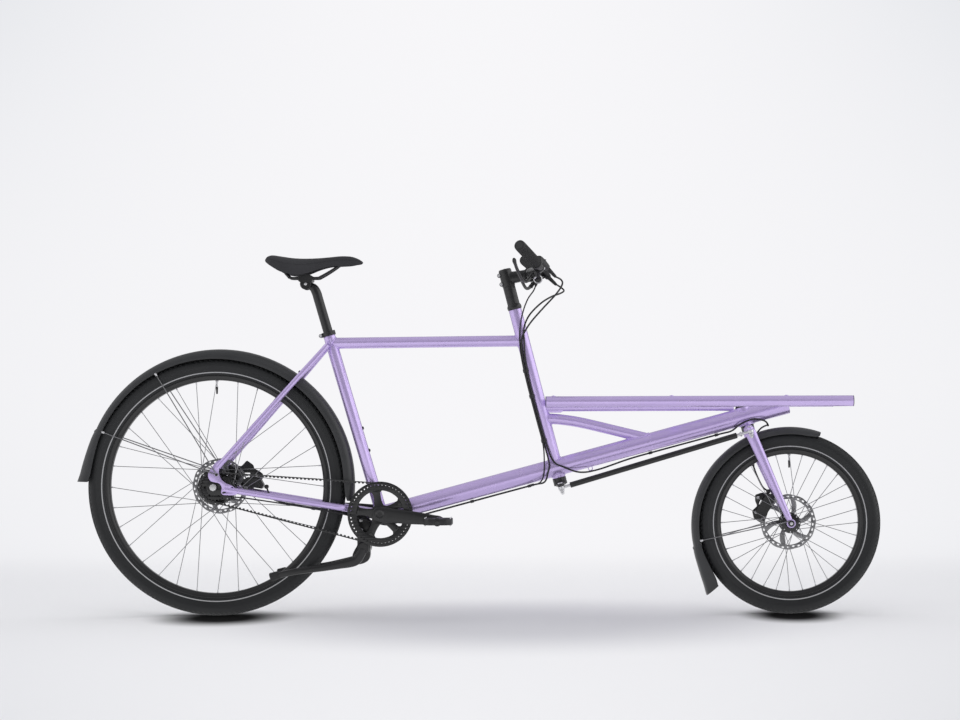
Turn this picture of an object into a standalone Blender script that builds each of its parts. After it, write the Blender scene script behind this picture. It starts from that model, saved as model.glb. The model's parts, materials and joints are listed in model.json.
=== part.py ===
"""Front loading cargo bicycle, modelled as an assembly of separate pieces.

Lengths are in metres, +X points forward, +Z up and -Y to the rider's right, where the drive is.
The model is drawn from the point on the ground under the rear axle, and one empty moves it so that the
origin lies on the ground under the middle of the bicycle.
"""

import math

import bmesh
import bpy
from mathutils import Matrix, Vector

# Clearances
GAP = 0.0003
SEAT_GAP = 0.0007
RUN_GAP = 0.0004

# Main layout
WHEELBASE = 1.636
REAR_RADIUS = 0.368
FRONT_RADIUS = 0.260
SHELL_HEIGHT = 0.2898
STEER_ANGLE = math.radians(75.5)
SEAT_ANGLE = math.radians(73.75)
MAIN_ANGLE = math.radians(14.97)

# Belt drive: the belt's length sets the distance from the crank to the rear axle
BELT_PITCH = 0.011
BELT_TEETH = 124
RING_TEETH = 50
SPROCKET_TEETH = 24
BELT_WIDTH = 0.0105
BELT_LINE = 0.045
BELT_BACK = 0.0018
BELT_LAND = 0.0010
TOOTH_DEPTH = 0.0034
TOOTH_ROOT = 0.0066
TOOTH_TIP = 0.0044

# Frame tubes: outer radius and wall
SHELL_OUTER = 0.0205
SHELL_BORE = 0.0128
SHELL_HALF = 0.0345
MAIN_OUTER = 0.0255
MAIN_DROP = 0.0032
MAIN_LENGTH = 1.203
SEAT_OUTER = 0.017
SEAT_TUBE_LENGTH = 0.542
TOP_OUTER = 0.016
TOP_REAR_HEIGHT = 0.777
TOP_FRONT_HEIGHT = 0.782
STEER_OUTER = 0.0185
STEER_TUBE_BOTTOM = 0.013
STEER_TUBE_LENGTH = 0.496
HEAD_OUTER = 0.021
HEAD_LENGTH = 0.053
BRACE_OUTER = 0.015
BEAM_OUTER = 0.011
TUBE_WALL = 0.0018

# Stays and dropouts
CHAIN_STAY_FRONT = 0.0105
CHAIN_STAY_REAR = 0.0082
SEAT_STAY_OUTER = 0.008
STAY_TOP_HEIGHT = 0.772
REAR_HALF_WIDTH = 0.0675
DROPOUT_THICK = 0.006

# Rack
RACK_TOP = 0.6215
RAIL_OUTER = 0.015
RAIL_SPACING = 0.250
RAIL_START = 0.945
RAIL_LENGTH = 0.844
CROSS_OUTER = 0.0095
CROSS_PLACES = (0.965, 1.290, 1.606)
BEAM_DROP = 0.0305

# Steering column and linkage
COLUMN_FOOT_X = 0.9807
COLUMN_FOOT_Z = 0.3788
STEERER_OUTER = 0.0143
STEERER_BORE = 0.0152
SPACER_OUTER = 0.0175
SPACER_HEIGHT = 0.052
COLLAR_OUTER = 0.020
COLLAR_HEIGHT = 0.016
ARM_OFFSET = 0.068
ARM_THICK = 0.007
ARM_HALF_WIDTH = 0.0095
EYE_OUTER = 0.0092
EYE_HEIGHT = 0.009
STUD_RADIUS = 0.004
STUD_LENGTH = 0.030
ROD_OUTER = 0.0068

# Stem, bar and controls
STEM_CLAMP_HEIGHT = 0.048
STEM_CLAMP_OUTER = 0.0185
STEM_REACH = 0.071
STEM_OUTER = 0.0145
BAR_CLAMP_OUTER = 0.0215
BAR_CLAMP_HALF = 0.024
BAR_CENTRE_RADIUS = 0.0159
BAR_GRIP_RADIUS = 0.0111
GRIP_OUTER = 0.016
GRIP_LENGTH = 0.125

# Fork and front head
RAKE = 0.0464
CROWN_HEIGHT = 0.0145
BLADE_TOP_DEPTH = 0.0155
BLADE_TOP_WIDTH = 0.0100
BLADE_TIP = 0.0085
BLADE_TOP_SPREAD = 0.0450
BLADE_TIP_SPREAD = 0.0560
FRONT_HALF_WIDTH = 0.0505
FRONT_AXLE_RADIUS = 0.005

# Wheels
TYRE_HALF_WIDTH = 0.0285
TREAD_HALF_FLAT = 0.011
RIM_HALF_WIDTH = 0.0165
RIM_DEPTH = 0.014
REAR_RIM_OUTER = 0.318
FRONT_RIM_OUTER = 0.210
REAR_STEPS = 40
FRONT_STEPS = 34
SPOKES = 32
SPOKE_RADIUS = 0.0011
SPOKE_STAGGER = 0.0019
FLANGE_HALF = 0.0024
REAR_FLANGE = 0.0515
REAR_FLANGE_PLACE = 0.031
FRONT_FLANGE = 0.029
REAR_AXLE_RADIUS = 0.006
ROTOR_RADIUS = 0.080
ROTOR_THICK = 0.0020
ROTOR_BORE = 0.0183
REAR_ROTOR_PLACE = 0.0547
FRONT_ROTOR_PLACE = 0.0387

# Cranks and pedals
CRANK_LENGTH = 0.170
CRANK_ANGLE = math.radians(-6.0)
CRANK_THICK = 0.013
CRANK_INNER = 0.0535
CRANK_FLARE = 0.008
SPINDLE_RADIUS = 0.0120
SPIDER_RADIUS = 0.0680
SPIDER_THICK = 0.005
PEDAL_LENGTH = 0.080
PEDAL_WIDTH = 0.092
PEDAL_THICK = 0.020
PEDAL_PIN_RADIUS = 0.0066

# Seat
POST_RADIUS = 0.0136
POST_BORE = 0.0142
POST_RISE = 0.138
POST_INSERT = 0.205
POST_SETBACK = 0.023
CLAMP_BARREL = 0.0112
RAIL_WIRE = 0.0035
RAIL_HALF_GAUGE = 0.022
SADDLE_LENGTH = 0.274
SADDLE_HALF_WIDTH = 0.073

# Guards
GUARD_WALL = 0.0018
REAR_GUARD_RADIUS = 0.386
FRONT_GUARD_RADIUS = 0.274
GUARD_HALF_WIDTH = 0.032
GUARD_SKIRT = 0.020
STAY_WIRE = 0.0016

# Stand
STAND_PIVOT_X = 0.421
STAND_PIVOT_Z = 0.193
STAND_SPINDLE = 0.009
STAND_LEG = 0.261
STAND_DROOP = math.radians(17.0)
STAND_TRACK = 0.041
STAND_FOOT_TRACK = 0.085

# Hoses
HOSE_RADIUS = 0.0025
CABLE_RADIUS = 0.0020

# Finishes: colour, roughness, metallic
LILAC = ((0.52, 0.42, 0.66), 0.38, 0.35)
BLACK_METAL = ((0.025, 0.025, 0.028), 0.38, 0.55)
BLACK_PLASTIC = ((0.02, 0.02, 0.022), 0.5, 0.0)
RUBBER = ((0.03, 0.03, 0.032), 0.8, 0.0)
SILVER = ((0.72, 0.72, 0.74), 0.3, 1.0)
LEATHERETTE = ((0.022, 0.022, 0.024), 0.6, 0.0)

X_AXIS = Vector((1.0, 0.0, 0.0))
Y_AXIS = Vector((0.0, 1.0, 0.0))
Z_AXIS = Vector((0.0, 0.0, 1.0))


# Places worked out from the layout

def slanted(angle):
    """Unit direction in the bicycle's plane, tilted back from the ground by angle."""
    return Vector((-math.cos(angle), 0.0, math.sin(angle)))


def belt_run_length(distance, big, small):
    """Length of a belt over two wheels of pitch radius big and small."""
    lean = math.asin((big - small) / distance)
    straight = 2.0 * distance * math.cos(lean)
    return straight + big * (math.pi + 2.0 * lean) + small * (math.pi - 2.0 * lean)


def belt_distance():
    """Distance between crank and rear axle at which the belt is tight."""
    low = RING_PITCH_RADIUS + SPROCKET_PITCH_RADIUS
    high = BELT_PITCH * BELT_TEETH
    for _ in range(60):
        middle = 0.5 * (low + high)
        if belt_run_length(middle, RING_PITCH_RADIUS, SPROCKET_PITCH_RADIUS) < BELT_PITCH * BELT_TEETH:
            low = middle
        else:
            high = middle
    return low


RING_PITCH_RADIUS = RING_TEETH * BELT_PITCH / math.tau
SPROCKET_PITCH_RADIUS = SPROCKET_TEETH * BELT_PITCH / math.tau
REAR_AXLE = Vector((0.0, 0.0, REAR_RADIUS))
FRONT_AXLE = Vector((WHEELBASE, 0.0, FRONT_RADIUS))
SHELL = Vector((math.sqrt(belt_distance() ** 2 - (REAR_RADIUS - SHELL_HEIGHT) ** 2), 0.0, SHELL_HEIGHT))
STEER_DIR = slanted(STEER_ANGLE)
STEER_SIDE = Vector((math.sin(STEER_ANGLE), 0.0, math.cos(STEER_ANGLE)))
SEAT_DIR = slanted(SEAT_ANGLE)
MAIN_DIR = Vector((math.cos(MAIN_ANGLE), 0.0, math.sin(MAIN_ANGLE)))
MAIN_ORIGIN = SHELL - Z_AXIS * MAIN_DROP
COLUMN_FOOT = Vector((COLUMN_FOOT_X, 0.0, COLUMN_FOOT_Z))
FORK_FOOT = FRONT_AXLE - STEER_SIDE * RAKE
SEAT_TOP = SHELL + SEAT_DIR * SEAT_TUBE_LENGTH
BEAM_HEIGHT = RACK_TOP - BEAM_DROP


def on_line(origin, direction, height):
    """Point of a slanted line at the given height."""
    return origin + direction * ((height - origin.z) / direction.z)


def main_height(x):
    """Height of the main tube's centre line at x."""
    return MAIN_ORIGIN.z + (x - MAIN_ORIGIN.x) * math.tan(MAIN_ANGLE)


def crossing(origin, direction):
    """Point where a slanted line meets the main tube's centre line."""
    side = Vector((-MAIN_DIR.z, 0.0, MAIN_DIR.x))
    return origin + direction * ((MAIN_ORIGIN - origin).dot(side) / direction.dot(side))


STEER_CROSS = crossing(COLUMN_FOOT, STEER_DIR)
HEAD_CROSS = crossing(FORK_FOOT, STEER_DIR)
HEAD_BOTTOM = HEAD_CROSS - STEER_DIR * (MAIN_OUTER + 0.0005)
STEER_TUBE_FOOT = COLUMN_FOOT + STEER_DIR * STEER_TUBE_BOTTOM
STEER_TUBE_TOP = STEER_TUBE_FOOT + STEER_DIR * STEER_TUBE_LENGTH
SHAFT_TOP = STEER_TUBE_TOP + STEER_DIR * (COLLAR_HEIGHT + SPACER_HEIGHT + STEM_CLAMP_HEIGHT)
CROWN = HEAD_BOTTOM - STEER_DIR * CROWN_HEIGHT
COLUMN_EYE = COLUMN_FOOT - STEER_DIR * 0.0155 - Y_AXIS * ARM_OFFSET
FORK_EYE = CROWN - STEER_DIR * 0.0035 - Y_AXIS * ARM_OFFSET
STAND_PIVOT = Vector((STAND_PIVOT_X, 0.0, STAND_PIVOT_Z))


# Modelling helpers

def frame_of(direction, hint):
    """Two unit vectors square to direction, the first one close to hint."""
    first = (hint - direction * hint.dot(direction)).normalized()
    return first, direction.cross(first)


def circle(centre, first, second, radius, sides, phase=0.0):
    """Points of a circle or, with a pair of radii, of an ellipse."""
    wide, deep = radius if isinstance(radius, tuple) else (radius, radius)
    points = []
    for i in range(sides):
        angle = phase + math.tau * i / sides
        points.append(centre + first * (wide * math.cos(angle)) + second * (deep * math.sin(angle)))
    return points


def around(radius, sides):
    """Corner radius of a many sided hole whose flats keep clear of a round bar of the given radius."""
    return radius / math.cos(math.pi / sides)


def skin(rings, closed=False):
    """A closed solid through rings of points; its ends are capped unless the rings close on themselves."""
    bm = bmesh.new()
    rows = [[bm.verts.new(point) for point in ring] for ring in rings]
    pairs = list(zip(rows, rows[1:]))
    if closed:
        pairs.append((rows[-1], rows[0]))
    for low, high in pairs:
        count = len(low)
        for i in range(count):
            j = (i + 1) % count
            bm.faces.new((low[i], low[j], high[j], high[i]))
    if not closed:
        bm.faces.new(rows[0])
        bm.faces.new(rows[-1])
    bmesh.ops.recalc_face_normals(bm, faces=bm.faces)
    return bm


def turned(profile, steps, phase=0.0):
    """A solid turned about the Y axis from a profile of (radius, y); points of radius 0 become poles."""
    bm = bmesh.new()
    verts = [bm.verts.new((radius, y, 0.0)) for radius, y in profile]
    for i in range(len(verts)):
        j = (i + 1) % len(verts)
        if profile[i][0] > 0.0 or profile[j][0] > 0.0:
            bm.edges.new((verts[i], verts[j]))
    bmesh.ops.rotate(bm, verts=bm.verts, cent=(0.0, 0.0, 0.0), matrix=Matrix.Rotation(phase, 3, "Y"))
    bmesh.ops.spin(bm, geom=bm.verts[:] + bm.edges[:], cent=(0.0, 0.0, 0.0), axis=Y_AXIS,
                   dvec=(0.0, 0.0, 0.0), angle=math.tau, steps=steps, use_merge=True)
    bmesh.ops.remove_doubles(bm, verts=bm.verts, dist=1e-6)
    bmesh.ops.recalc_face_normals(bm, faces=bm.faces)
    return bm


def rod(start, end, radius, sides, end_radius=None):
    """A solid round bar, tapered when end_radius is given."""
    direction = (end - start).normalized()
    hint = Z_AXIS if abs(direction.z) < 0.9 else X_AXIS
    first, second = frame_of(direction, hint)
    last = radius if end_radius is None else end_radius
    return skin([circle(start, first, second, radius, sides), circle(end, first, second, last, sides)])


def moved(bm, place, direction=None):
    """Shift a solid drawn about the Y axis to a place, with its axis turned to a direction."""
    matrix = Matrix.Translation(place)
    if direction is not None:
        matrix = matrix @ Y_AXIS.rotation_difference(direction).to_matrix().to_4x4()
    bmesh.ops.transform(bm, matrix=matrix, verts=bm.verts)
    return bm


def plate(outlines, low, high):
    """Flat plate between y = low and high; outlines are loops of (x, z), the first one outermost."""
    bm = bmesh.new()
    edges = []
    for outline in outlines:
        verts = [bm.verts.new((x, low, z)) for x, z in outline]
        edges += [bm.edges.new((verts[i - 1], verts[i])) for i in range(len(verts))]
    filled = bmesh.ops.triangle_fill(bm, use_beauty=True, use_dissolve=False, edges=edges)
    faces = [item for item in filled["geom"] if isinstance(item, bmesh.types.BMFace)]
    raised = bmesh.ops.extrude_face_region(bm, geom=faces, use_keep_orig=True)
    verts = [item for item in raised["geom"] if isinstance(item, bmesh.types.BMVert)]
    bmesh.ops.translate(bm, vec=(0.0, high - low, 0.0), verts=verts)
    bmesh.ops.recalc_face_normals(bm, faces=bm.faces)
    return bm


def round_outline(centre, radius, sides, phase=0.0):
    """Loop of (x, z) points round a centre given as (x, z)."""
    return [(centre[0] + radius * math.cos(phase + math.tau * i / sides),
             centre[1] + radius * math.sin(phase + math.tau * i / sides)) for i in range(sides)]


def capsule_outline(start, end, start_radius, end_radius, sides):
    """Loop round two circles and the straight flanks between them, as (x, z) points."""
    heading = math.atan2(end[1] - start[1], end[0] - start[0])
    distance = math.hypot(end[0] - start[0], end[1] - start[1])
    lean = math.asin((start_radius - end_radius) / distance)
    points = []
    for i in range(sides + 1):
        angle = heading - math.pi / 2 + lean + (math.pi - 2 * lean) * i / sides
        points.append((end[0] + end_radius * math.cos(angle), end[1] + end_radius * math.sin(angle)))
    for i in range(sides + 1):
        angle = heading + math.pi / 2 - lean + (math.pi + 2 * lean) * i / sides
        points.append((start[0] + start_radius * math.cos(angle), start[1] + start_radius * math.sin(angle)))
    return points


def box(centre, size):
    """An upright block."""
    bm = bmesh.new()
    bmesh.ops.create_cube(bm, size=1.0)
    bmesh.ops.scale(bm, vec=size, verts=bm.verts)
    bmesh.ops.translate(bm, vec=centre, verts=bm.verts)
    return bm


def curve_points(points, steps):
    """Points along a smooth curve through the given points, with steps to each span."""
    result = []
    for i in range(len(points) - 1):
        before = points[max(i - 1, 0)]
        start = points[i]
        end = points[i + 1]
        after = points[min(i + 2, len(points) - 1)]
        for k in range(steps):
            t = k / steps
            result.append(0.5 * ((2.0 * start) + (end - before) * t
                                 + (2.0 * before - 5.0 * start + 4.0 * end - after) * t ** 2
                                 + (3.0 * start - before - 3.0 * end + after) * t ** 3))
    result.append(points[-1])
    return result


def thinned(path, slack=0.0005):
    """The same path without the points that lie within slack of a straight line."""
    if len(path) < 3:
        return path
    span = path[-1] - path[0]
    offsets = [(point - path[0]) - span * ((point - path[0]).dot(span) / span.length_squared) for point in path]
    far = max(range(1, len(path) - 1), key=lambda i: offsets[i].length)
    if offsets[far].length < slack:
        return [path[0], path[-1]]
    return thinned(path[:far + 1], slack)[:-1] + thinned(path[far:], slack)


def swept(path, radii, sides, hint=Y_AXIS):
    """Solid bar along a path; radii is one value, one for each point, or (wide, deep) pairs."""
    rings = []
    first = hint
    for i, point in enumerate(path):
        ahead = path[min(i + 1, len(path) - 1)] - point
        behind = point - path[max(i - 1, 0)]
        direction = (ahead.normalized() + behind.normalized()).normalized()
        first, second = frame_of(direction, first)
        radius = radii[i] if isinstance(radii, list) else radii
        rings.append(circle(point, first, second, radius, sides))
    return skin(rings)


def first_hit(point, direction, seat):
    """Distance from point along direction to a seat, a cylinder given as (place, direction, radius)."""
    place, axis, radius = seat
    offset = point - place
    across = direction - axis * direction.dot(axis)
    away = offset - axis * offset.dot(axis)
    a = across.dot(across)
    b = 2.0 * across.dot(away)
    c = away.dot(away) - (radius + SEAT_GAP) ** 2
    inside = b * b - 4.0 * a * c
    if inside < 0.0 or a < 1e-12:
        return None
    reach = (-b - math.sqrt(inside)) / (2.0 * a)
    return reach if reach > 0.0 else None


def tube(start, end, radius, sides, wall=TUBE_WALL, start_seats=(), end_seats=()):
    """Hollow straight tube, each end cut to the round seats that it is welded to."""
    direction = (end - start).normalized()
    half = (end - start).length / 2.0
    middle = (start + end) / 2.0
    first, second = frame_of(direction, Y_AXIS if abs(direction.y) < 0.9 else Z_AXIS)
    rings = []
    for size, outward in ((radius, -1), (radius, 1), (radius - wall, 1), (radius - wall, -1)):
        seats = end_seats if outward > 0 else start_seats
        ring = []
        for point in circle(middle, first, second, size, sides):
            hits = [first_hit(point, direction * outward, seat) for seat in seats]
            reach = min([half] + [hit for hit in hits if hit is not None])
            ring.append(point + direction * (outward * reach))
        rings.append(ring)
    return skin(rings, closed=True)


def scratch(bm):
    """A passing object for a Boolean, hidden as a guide."""
    mesh = bpy.data.meshes.new("scratch")
    bm.to_mesh(mesh)
    bm.free()
    item = bpy.data.objects.new("scratch", mesh)
    item.hide_render = True
    item.display_type = "WIRE"
    bpy.context.scene.collection.objects.link(item)
    return item


def combined(base, tools, operation):
    """The base solid after a Boolean with each tool in turn."""
    for tool in tools:
        target = scratch(base)
        other = scratch(tool)
        modifier = target.modifiers.new("boolean", "BOOLEAN")
        modifier.operation = operation
        modifier.solver = "EXACT"
        modifier.object = other
        depsgraph = bpy.context.evaluated_depsgraph_get()
        mesh = bpy.data.meshes.new_from_object(target.evaluated_get(depsgraph))
        base = bmesh.new()
        base.from_mesh(mesh)
        bmesh.ops.remove_doubles(base, verts=base.verts, dist=2e-6)
        bpy.data.meshes.remove(mesh)
        for item in (target, other):
            used_mesh = item.data
            bpy.data.objects.remove(item)
            bpy.data.meshes.remove(used_mesh)
    return base


def joined(base, *others):
    """Union of solids."""
    return combined(base, others, "UNION")


def cut(base, *cutters):
    """A solid less its cutters."""
    return combined(base, cutters, "DIFFERENCE")


def finish(name, look):
    """The piece's own material."""
    colour, roughness, metallic = look
    material = bpy.data.materials.new(name + "_finish")
    material.use_nodes = True
    shader = material.node_tree.nodes["Principled BSDF"]
    shader.inputs["Base Color"].default_value = (*colour, 1.0)
    shader.inputs["Roughness"].default_value = roughness
    shader.inputs["Metallic"].default_value = metallic
    return material


def piece(name, bm, look, pivot=None, smooth=35.0):
    """Store a solid as a named object whose origin is its pivot."""
    place = Vector((0.0, 0.0, 0.0)) if pivot is None else pivot
    bmesh.ops.translate(bm, vec=-place, verts=bm.verts)
    mesh = bpy.data.meshes.new(name)
    bm.to_mesh(mesh)
    bm.free()
    mesh.shade_smooth()
    mesh.set_sharp_from_angle(angle=math.radians(smooth))
    mesh.materials.append(finish(name, look))
    item = bpy.data.objects.new(name, mesh)
    item.location = place
    item.parent = bpy.data.objects["bicycle"]
    bpy.context.scene.collection.objects.link(item)
    return item


def mirrored(points):
    """The same points on the bicycle's other side."""
    return [Vector((point.x, -point.y, point.z)) for point in points]


SIDES = (("right", -1.0), ("left", 1.0))


# Frame

def seat_of(place, direction, radius):
    """A round seat that other tubes are cut to."""
    return (place, direction, radius)


SHELL_SEAT = seat_of(SHELL, Y_AXIS, SHELL_OUTER)
SEAT_TUBE_SEAT = seat_of(SHELL, SEAT_DIR, SEAT_OUTER)
STEER_SEAT = seat_of(COLUMN_FOOT, STEER_DIR, STEER_OUTER)
MAIN_SEAT = seat_of(MAIN_ORIGIN, MAIN_DIR, MAIN_OUTER)


def clear_rod(seat, low, high):
    """Cutter for a seat: its cylinder and the gap, between two distances along its axis."""
    place, direction, radius = seat
    return rod(place + direction * low, place + direction * high, around(radius + GAP, 20), 20)


def build_bottom_bracket():
    """Shell with the bore that the crank spindle runs in."""
    profile = [(SHELL_BORE, -SHELL_HALF), (SHELL_OUTER, -SHELL_HALF),
               (SHELL_OUTER, SHELL_HALF), (SHELL_BORE, SHELL_HALF)]
    piece("bottom_bracket_shell", moved(turned(profile, 20), SHELL), LILAC)


def build_straight_tubes():
    """Seat tube, top tube and steering tube."""
    seat = tube(SHELL, SEAT_TOP, SEAT_OUTER, 18, SEAT_OUTER - POST_BORE, start_seats=[SHELL_SEAT])
    piece("seat_tube", seat, LILAC)
    top = tube(on_line(SHELL, SEAT_DIR, TOP_REAR_HEIGHT), on_line(COLUMN_FOOT, STEER_DIR, TOP_FRONT_HEIGHT),
               TOP_OUTER, 16, start_seats=[SEAT_TUBE_SEAT], end_seats=[STEER_SEAT])
    piece("top_tube", top, LILAC)
    steering = tube(STEER_TUBE_FOOT, STEER_TUBE_TOP, STEER_OUTER, 18, STEER_OUTER - STEERER_BORE)
    piece("steering_tube", steering, LILAC)


def build_main_tube():
    """Main tube, which the steering tube, the head tube and the front cross tube pass through."""
    start = MAIN_ORIGIN + MAIN_DIR * 0.006
    main = tube(start, MAIN_ORIGIN + MAIN_DIR * MAIN_LENGTH, MAIN_OUTER, 20)
    front = CROSS_PLACES[-1]
    cross = (Vector((front, 0.0, RACK_TOP - CROSS_OUTER)), Y_AXIS, CROSS_OUTER)
    head = (HEAD_CROSS, STEER_DIR, HEAD_OUTER)
    steer = (STEER_CROSS, STEER_DIR, STEER_OUTER)
    main = cut(main, clear_rod(SHELL_SEAT, -0.06, 0.06), clear_rod(SEAT_TUBE_SEAT, 0.0, 0.09),
               clear_rod(steer, -0.06, 0.06), clear_rod(head, -0.06, 0.06),
               clear_rod(cross, -0.06, 0.06))
    piece("main_tube", main, LILAC)


def build_head_tube():
    """Short head tube of the fork, through the main tube's front part."""
    top = HEAD_BOTTOM + STEER_DIR * HEAD_LENGTH
    piece("front_head_tube", tube(HEAD_BOTTOM, top, HEAD_OUTER, 18, HEAD_OUTER - STEERER_BORE), LILAC)


def build_brace():
    """Bent brace from the steering tube down to the main tube."""
    start = on_line(COLUMN_FOOT, STEER_DIR, 0.560)
    points = [start, start + Vector((0.050, 0.0, -0.0035)), start + Vector((0.110, 0.0, -0.013)),
              start + Vector((0.215, 0.0, -0.038)), start + Vector((0.300, 0.0, -0.0585))]
    brace = swept(thinned(curve_points(points, 3)), BRACE_OUTER, 14)
    brace = cut(brace, clear_rod(STEER_SEAT, 0.1, 0.3), clear_rod(MAIN_SEAT, 0.4, 1.1))
    piece("brace_tube", brace, LILAC)


def chain_stay_path(side):
    """Centre line of a chain stay, from the shell back to the dropout."""
    heading = (REAR_AXLE - SHELL).normalized()
    length = (REAR_AXLE - SHELL).length
    places = ((0.012, 0.0240), (0.060, 0.0250), (0.092, 0.0268), (0.130, 0.0415),
              (0.220, 0.0500), (0.340, 0.0600), (length - 0.030, 0.0705))
    return [SHELL + heading * along + Y_AXIS * (side * out) for along, out in places]


def seat_stay_path(side):
    """Centre line of a seat stay, from its cluster on the seat tube down to the dropout."""
    top = on_line(SHELL, SEAT_DIR, STAY_TOP_HEIGHT) - X_AXIS * 0.010
    foot = REAR_AXLE + Vector((0.020, 0.0, 0.066))
    places = ((0.0, 0.0215), (0.06, 0.0235), (0.16, 0.0330), (0.27, 0.0425), (0.45, 0.0510), (1.0, 0.0705))
    return [top.lerp(foot, along) + Y_AXIS * (side * out) for along, out in places]


def dropout(side):
    """Dropout plate with its axle slot and the two slots of its sliding bolts."""
    inner = side * REAR_HALF_WIDTH
    outer = side * (REAR_HALF_WIDTH + DROPOUT_THICK)
    x, z = REAR_AXLE.x, REAR_AXLE.z
    outline = [(x - 0.024, z - 0.008), (x - 0.010, z - 0.018), (x + 0.016, z - 0.016), (x + 0.046, z - 0.018),
               (x + 0.056, z - 0.006), (x + 0.050, z + 0.012), (x + 0.026, z + 0.020), (x + 0.026, z + 0.072),
               (x + 0.012, z + 0.076), (x + 0.002, z + 0.050), (x - 0.020, z + 0.020)]
    axle_hole = round_outline((x, z), around(REAR_AXLE_RADIUS + GAP, 10), 10)
    slots = [capsule_outline((x + 0.024, z + dz), (x + 0.036, z + dz - 0.002), 0.0032, 0.0031, 3)
             for dz in (-0.008, 0.006)]
    return plate([outline, axle_hole] + slots, min(inner, outer), max(inner, outer))


def build_stays():
    """Chain stays with their dropouts, and seat stays."""
    for label, side in SIDES:
        path = thinned(curve_points(chain_stay_path(side), 3))
        length = (path[-1] - path[0]).length
        radii = [CHAIN_STAY_FRONT + (CHAIN_STAY_REAR - CHAIN_STAY_FRONT) * (point - path[0]).length / length
                 for point in path]
        stay = joined(swept(path, radii, 10), dropout(side))
        stay = cut(stay, clear_rod(SHELL_SEAT, -0.06, 0.06))
        piece("chain_stay_" + label, stay, LILAC)
        path = thinned(curve_points(seat_stay_path(side), 3))
        stay = swept(path, SEAT_STAY_OUTER, 10)
        x, z = REAR_AXLE.x, REAR_AXLE.z
        slot = box(Vector((x + 0.015, side * (REAR_HALF_WIDTH + DROPOUT_THICK / 2), z + 0.045)),
                   Vector((0.070, DROPOUT_THICK + 2 * SEAT_GAP, 0.0625)))
        stay = cut(stay, clear_rod(SEAT_TUBE_SEAT, 0.3, 0.7), slot)
        piece("seat_stay_" + label, stay, LILAC)


def build_rack():
    """Side rails, cross tubes, and the beam with its gusset at the steering tube."""
    rail_height = RACK_TOP - RAIL_OUTER
    for label, side in SIDES:
        start = Vector((RAIL_START, side * RAIL_SPACING, rail_height))
        piece("rack_rail_" + label, tube(start, start + X_AXIS * RAIL_LENGTH, RAIL_OUTER, 16), LILAC)
    seats = [seat_of(Vector((0.0, side * RAIL_SPACING, rail_height)), X_AXIS, RAIL_OUTER) for _, side in SIDES]
    for number, x in enumerate(CROSS_PLACES, 1):
        ends = [Vector((x, side * RAIL_SPACING, RACK_TOP - CROSS_OUTER)) for _, side in SIDES]
        cross = tube(ends[0], ends[1], CROSS_OUTER, 12, start_seats=seats[:1], end_seats=seats[1:])
        piece("rack_cross_%d" % number, cross, LILAC)
    start = on_line(COLUMN_FOOT, STEER_DIR, BEAM_HEIGHT)
    nose = on_line(HEAD_CROSS, STEER_DIR, BEAM_HEIGHT).x - HEAD_OUTER - 0.004
    beam = rod(start, Vector((nose, 0.0, BEAM_HEIGHT)), BEAM_OUTER, 12)
    gusset = plate([[(start.x, BEAM_HEIGHT), (start.x + 0.066, BEAM_HEIGHT), (start.x + 0.058, BEAM_HEIGHT - 0.0145),
                     (start.x, BEAM_HEIGHT - 0.0145)]], -0.008, 0.008)
    beam = cut(joined(beam, gusset), clear_rod(STEER_SEAT, 0.1, 0.3), clear_rod(MAIN_SEAT, 0.8, 1.2))
    piece("rack_beam", beam, LILAC)


def build_seat_collar():
    """Clamp collar at the seat tube's top, slit at the back between two bolt ears."""
    height = 0.0125
    low = SEAT_TOP - SEAT_DIR * height
    inner = SEAT_OUTER + GAP
    outer = SEAT_OUTER + 0.0033
    ring = [(inner, 0.0), (outer, 0.0), (outer, height), (inner, height)]
    collar = moved(turned(ring, 16), low, SEAT_DIR)
    back = -Vector((math.sin(SEAT_ANGLE), 0.0, math.cos(SEAT_ANGLE)))
    middle = low + SEAT_DIR * (height / 2) + back * (outer + 0.0025)
    ears = rod(middle - Y_AXIS * 0.011, middle + Y_AXIS * 0.011, 0.0055, 10)
    slit = box(Vector((-SEAT_OUTER - 0.003, 0.0, 0.0)), Vector((0.018, 0.0022, 0.03)))
    turn = Matrix.Rotation(SEAT_ANGLE - math.pi / 2, 4, "Y")
    bmesh.ops.transform(slit, matrix=Matrix.Translation(low + SEAT_DIR * (height / 2)) @ turn, verts=slit.verts)
    core = rod(low - SEAT_DIR * 0.01, low + SEAT_DIR * 0.03, around(inner, 16), 16)
    piece("seat_collar", cut(joined(collar, ears), core, slit), BLACK_METAL)


# Wheels

def build_tyre(name, axle, radius, rim_outer, steps):
    """Open bellied tyre with a flat tread, whose beads sit inside the rim's walls."""
    flat = math.cos(math.pi / steps)
    depth = radius - rim_outer
    half = TYRE_HALF_WIDTH
    bead = rim_outer - 0.0053
    outer = [(bead, 0.0116), (rim_outer + 0.0010, RIM_HALF_WIDTH - 0.0007), (rim_outer + 0.34 * depth, 0.97 * half),
             (rim_outer + 0.66 * depth, 0.93 * half), (rim_outer + 0.90 * depth, 0.64 * half),
             (radius, TREAD_HALF_FLAT)]
    inner = [(bead, 0.0084), (rim_outer + 0.62 * depth, 0.66 * half)]
    profile = outer + [(r, -y) for r, y in reversed(outer)]
    profile += [(r, -y) for r, y in inner] + [(r, y) for r, y in reversed(inner)]
    profile = [(r / flat, y) for r, y in profile]
    tyre = turned(profile, steps, math.pi / 2 + math.pi / steps)
    piece(name, moved(tyre, axle), RUBBER, axle)


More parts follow.
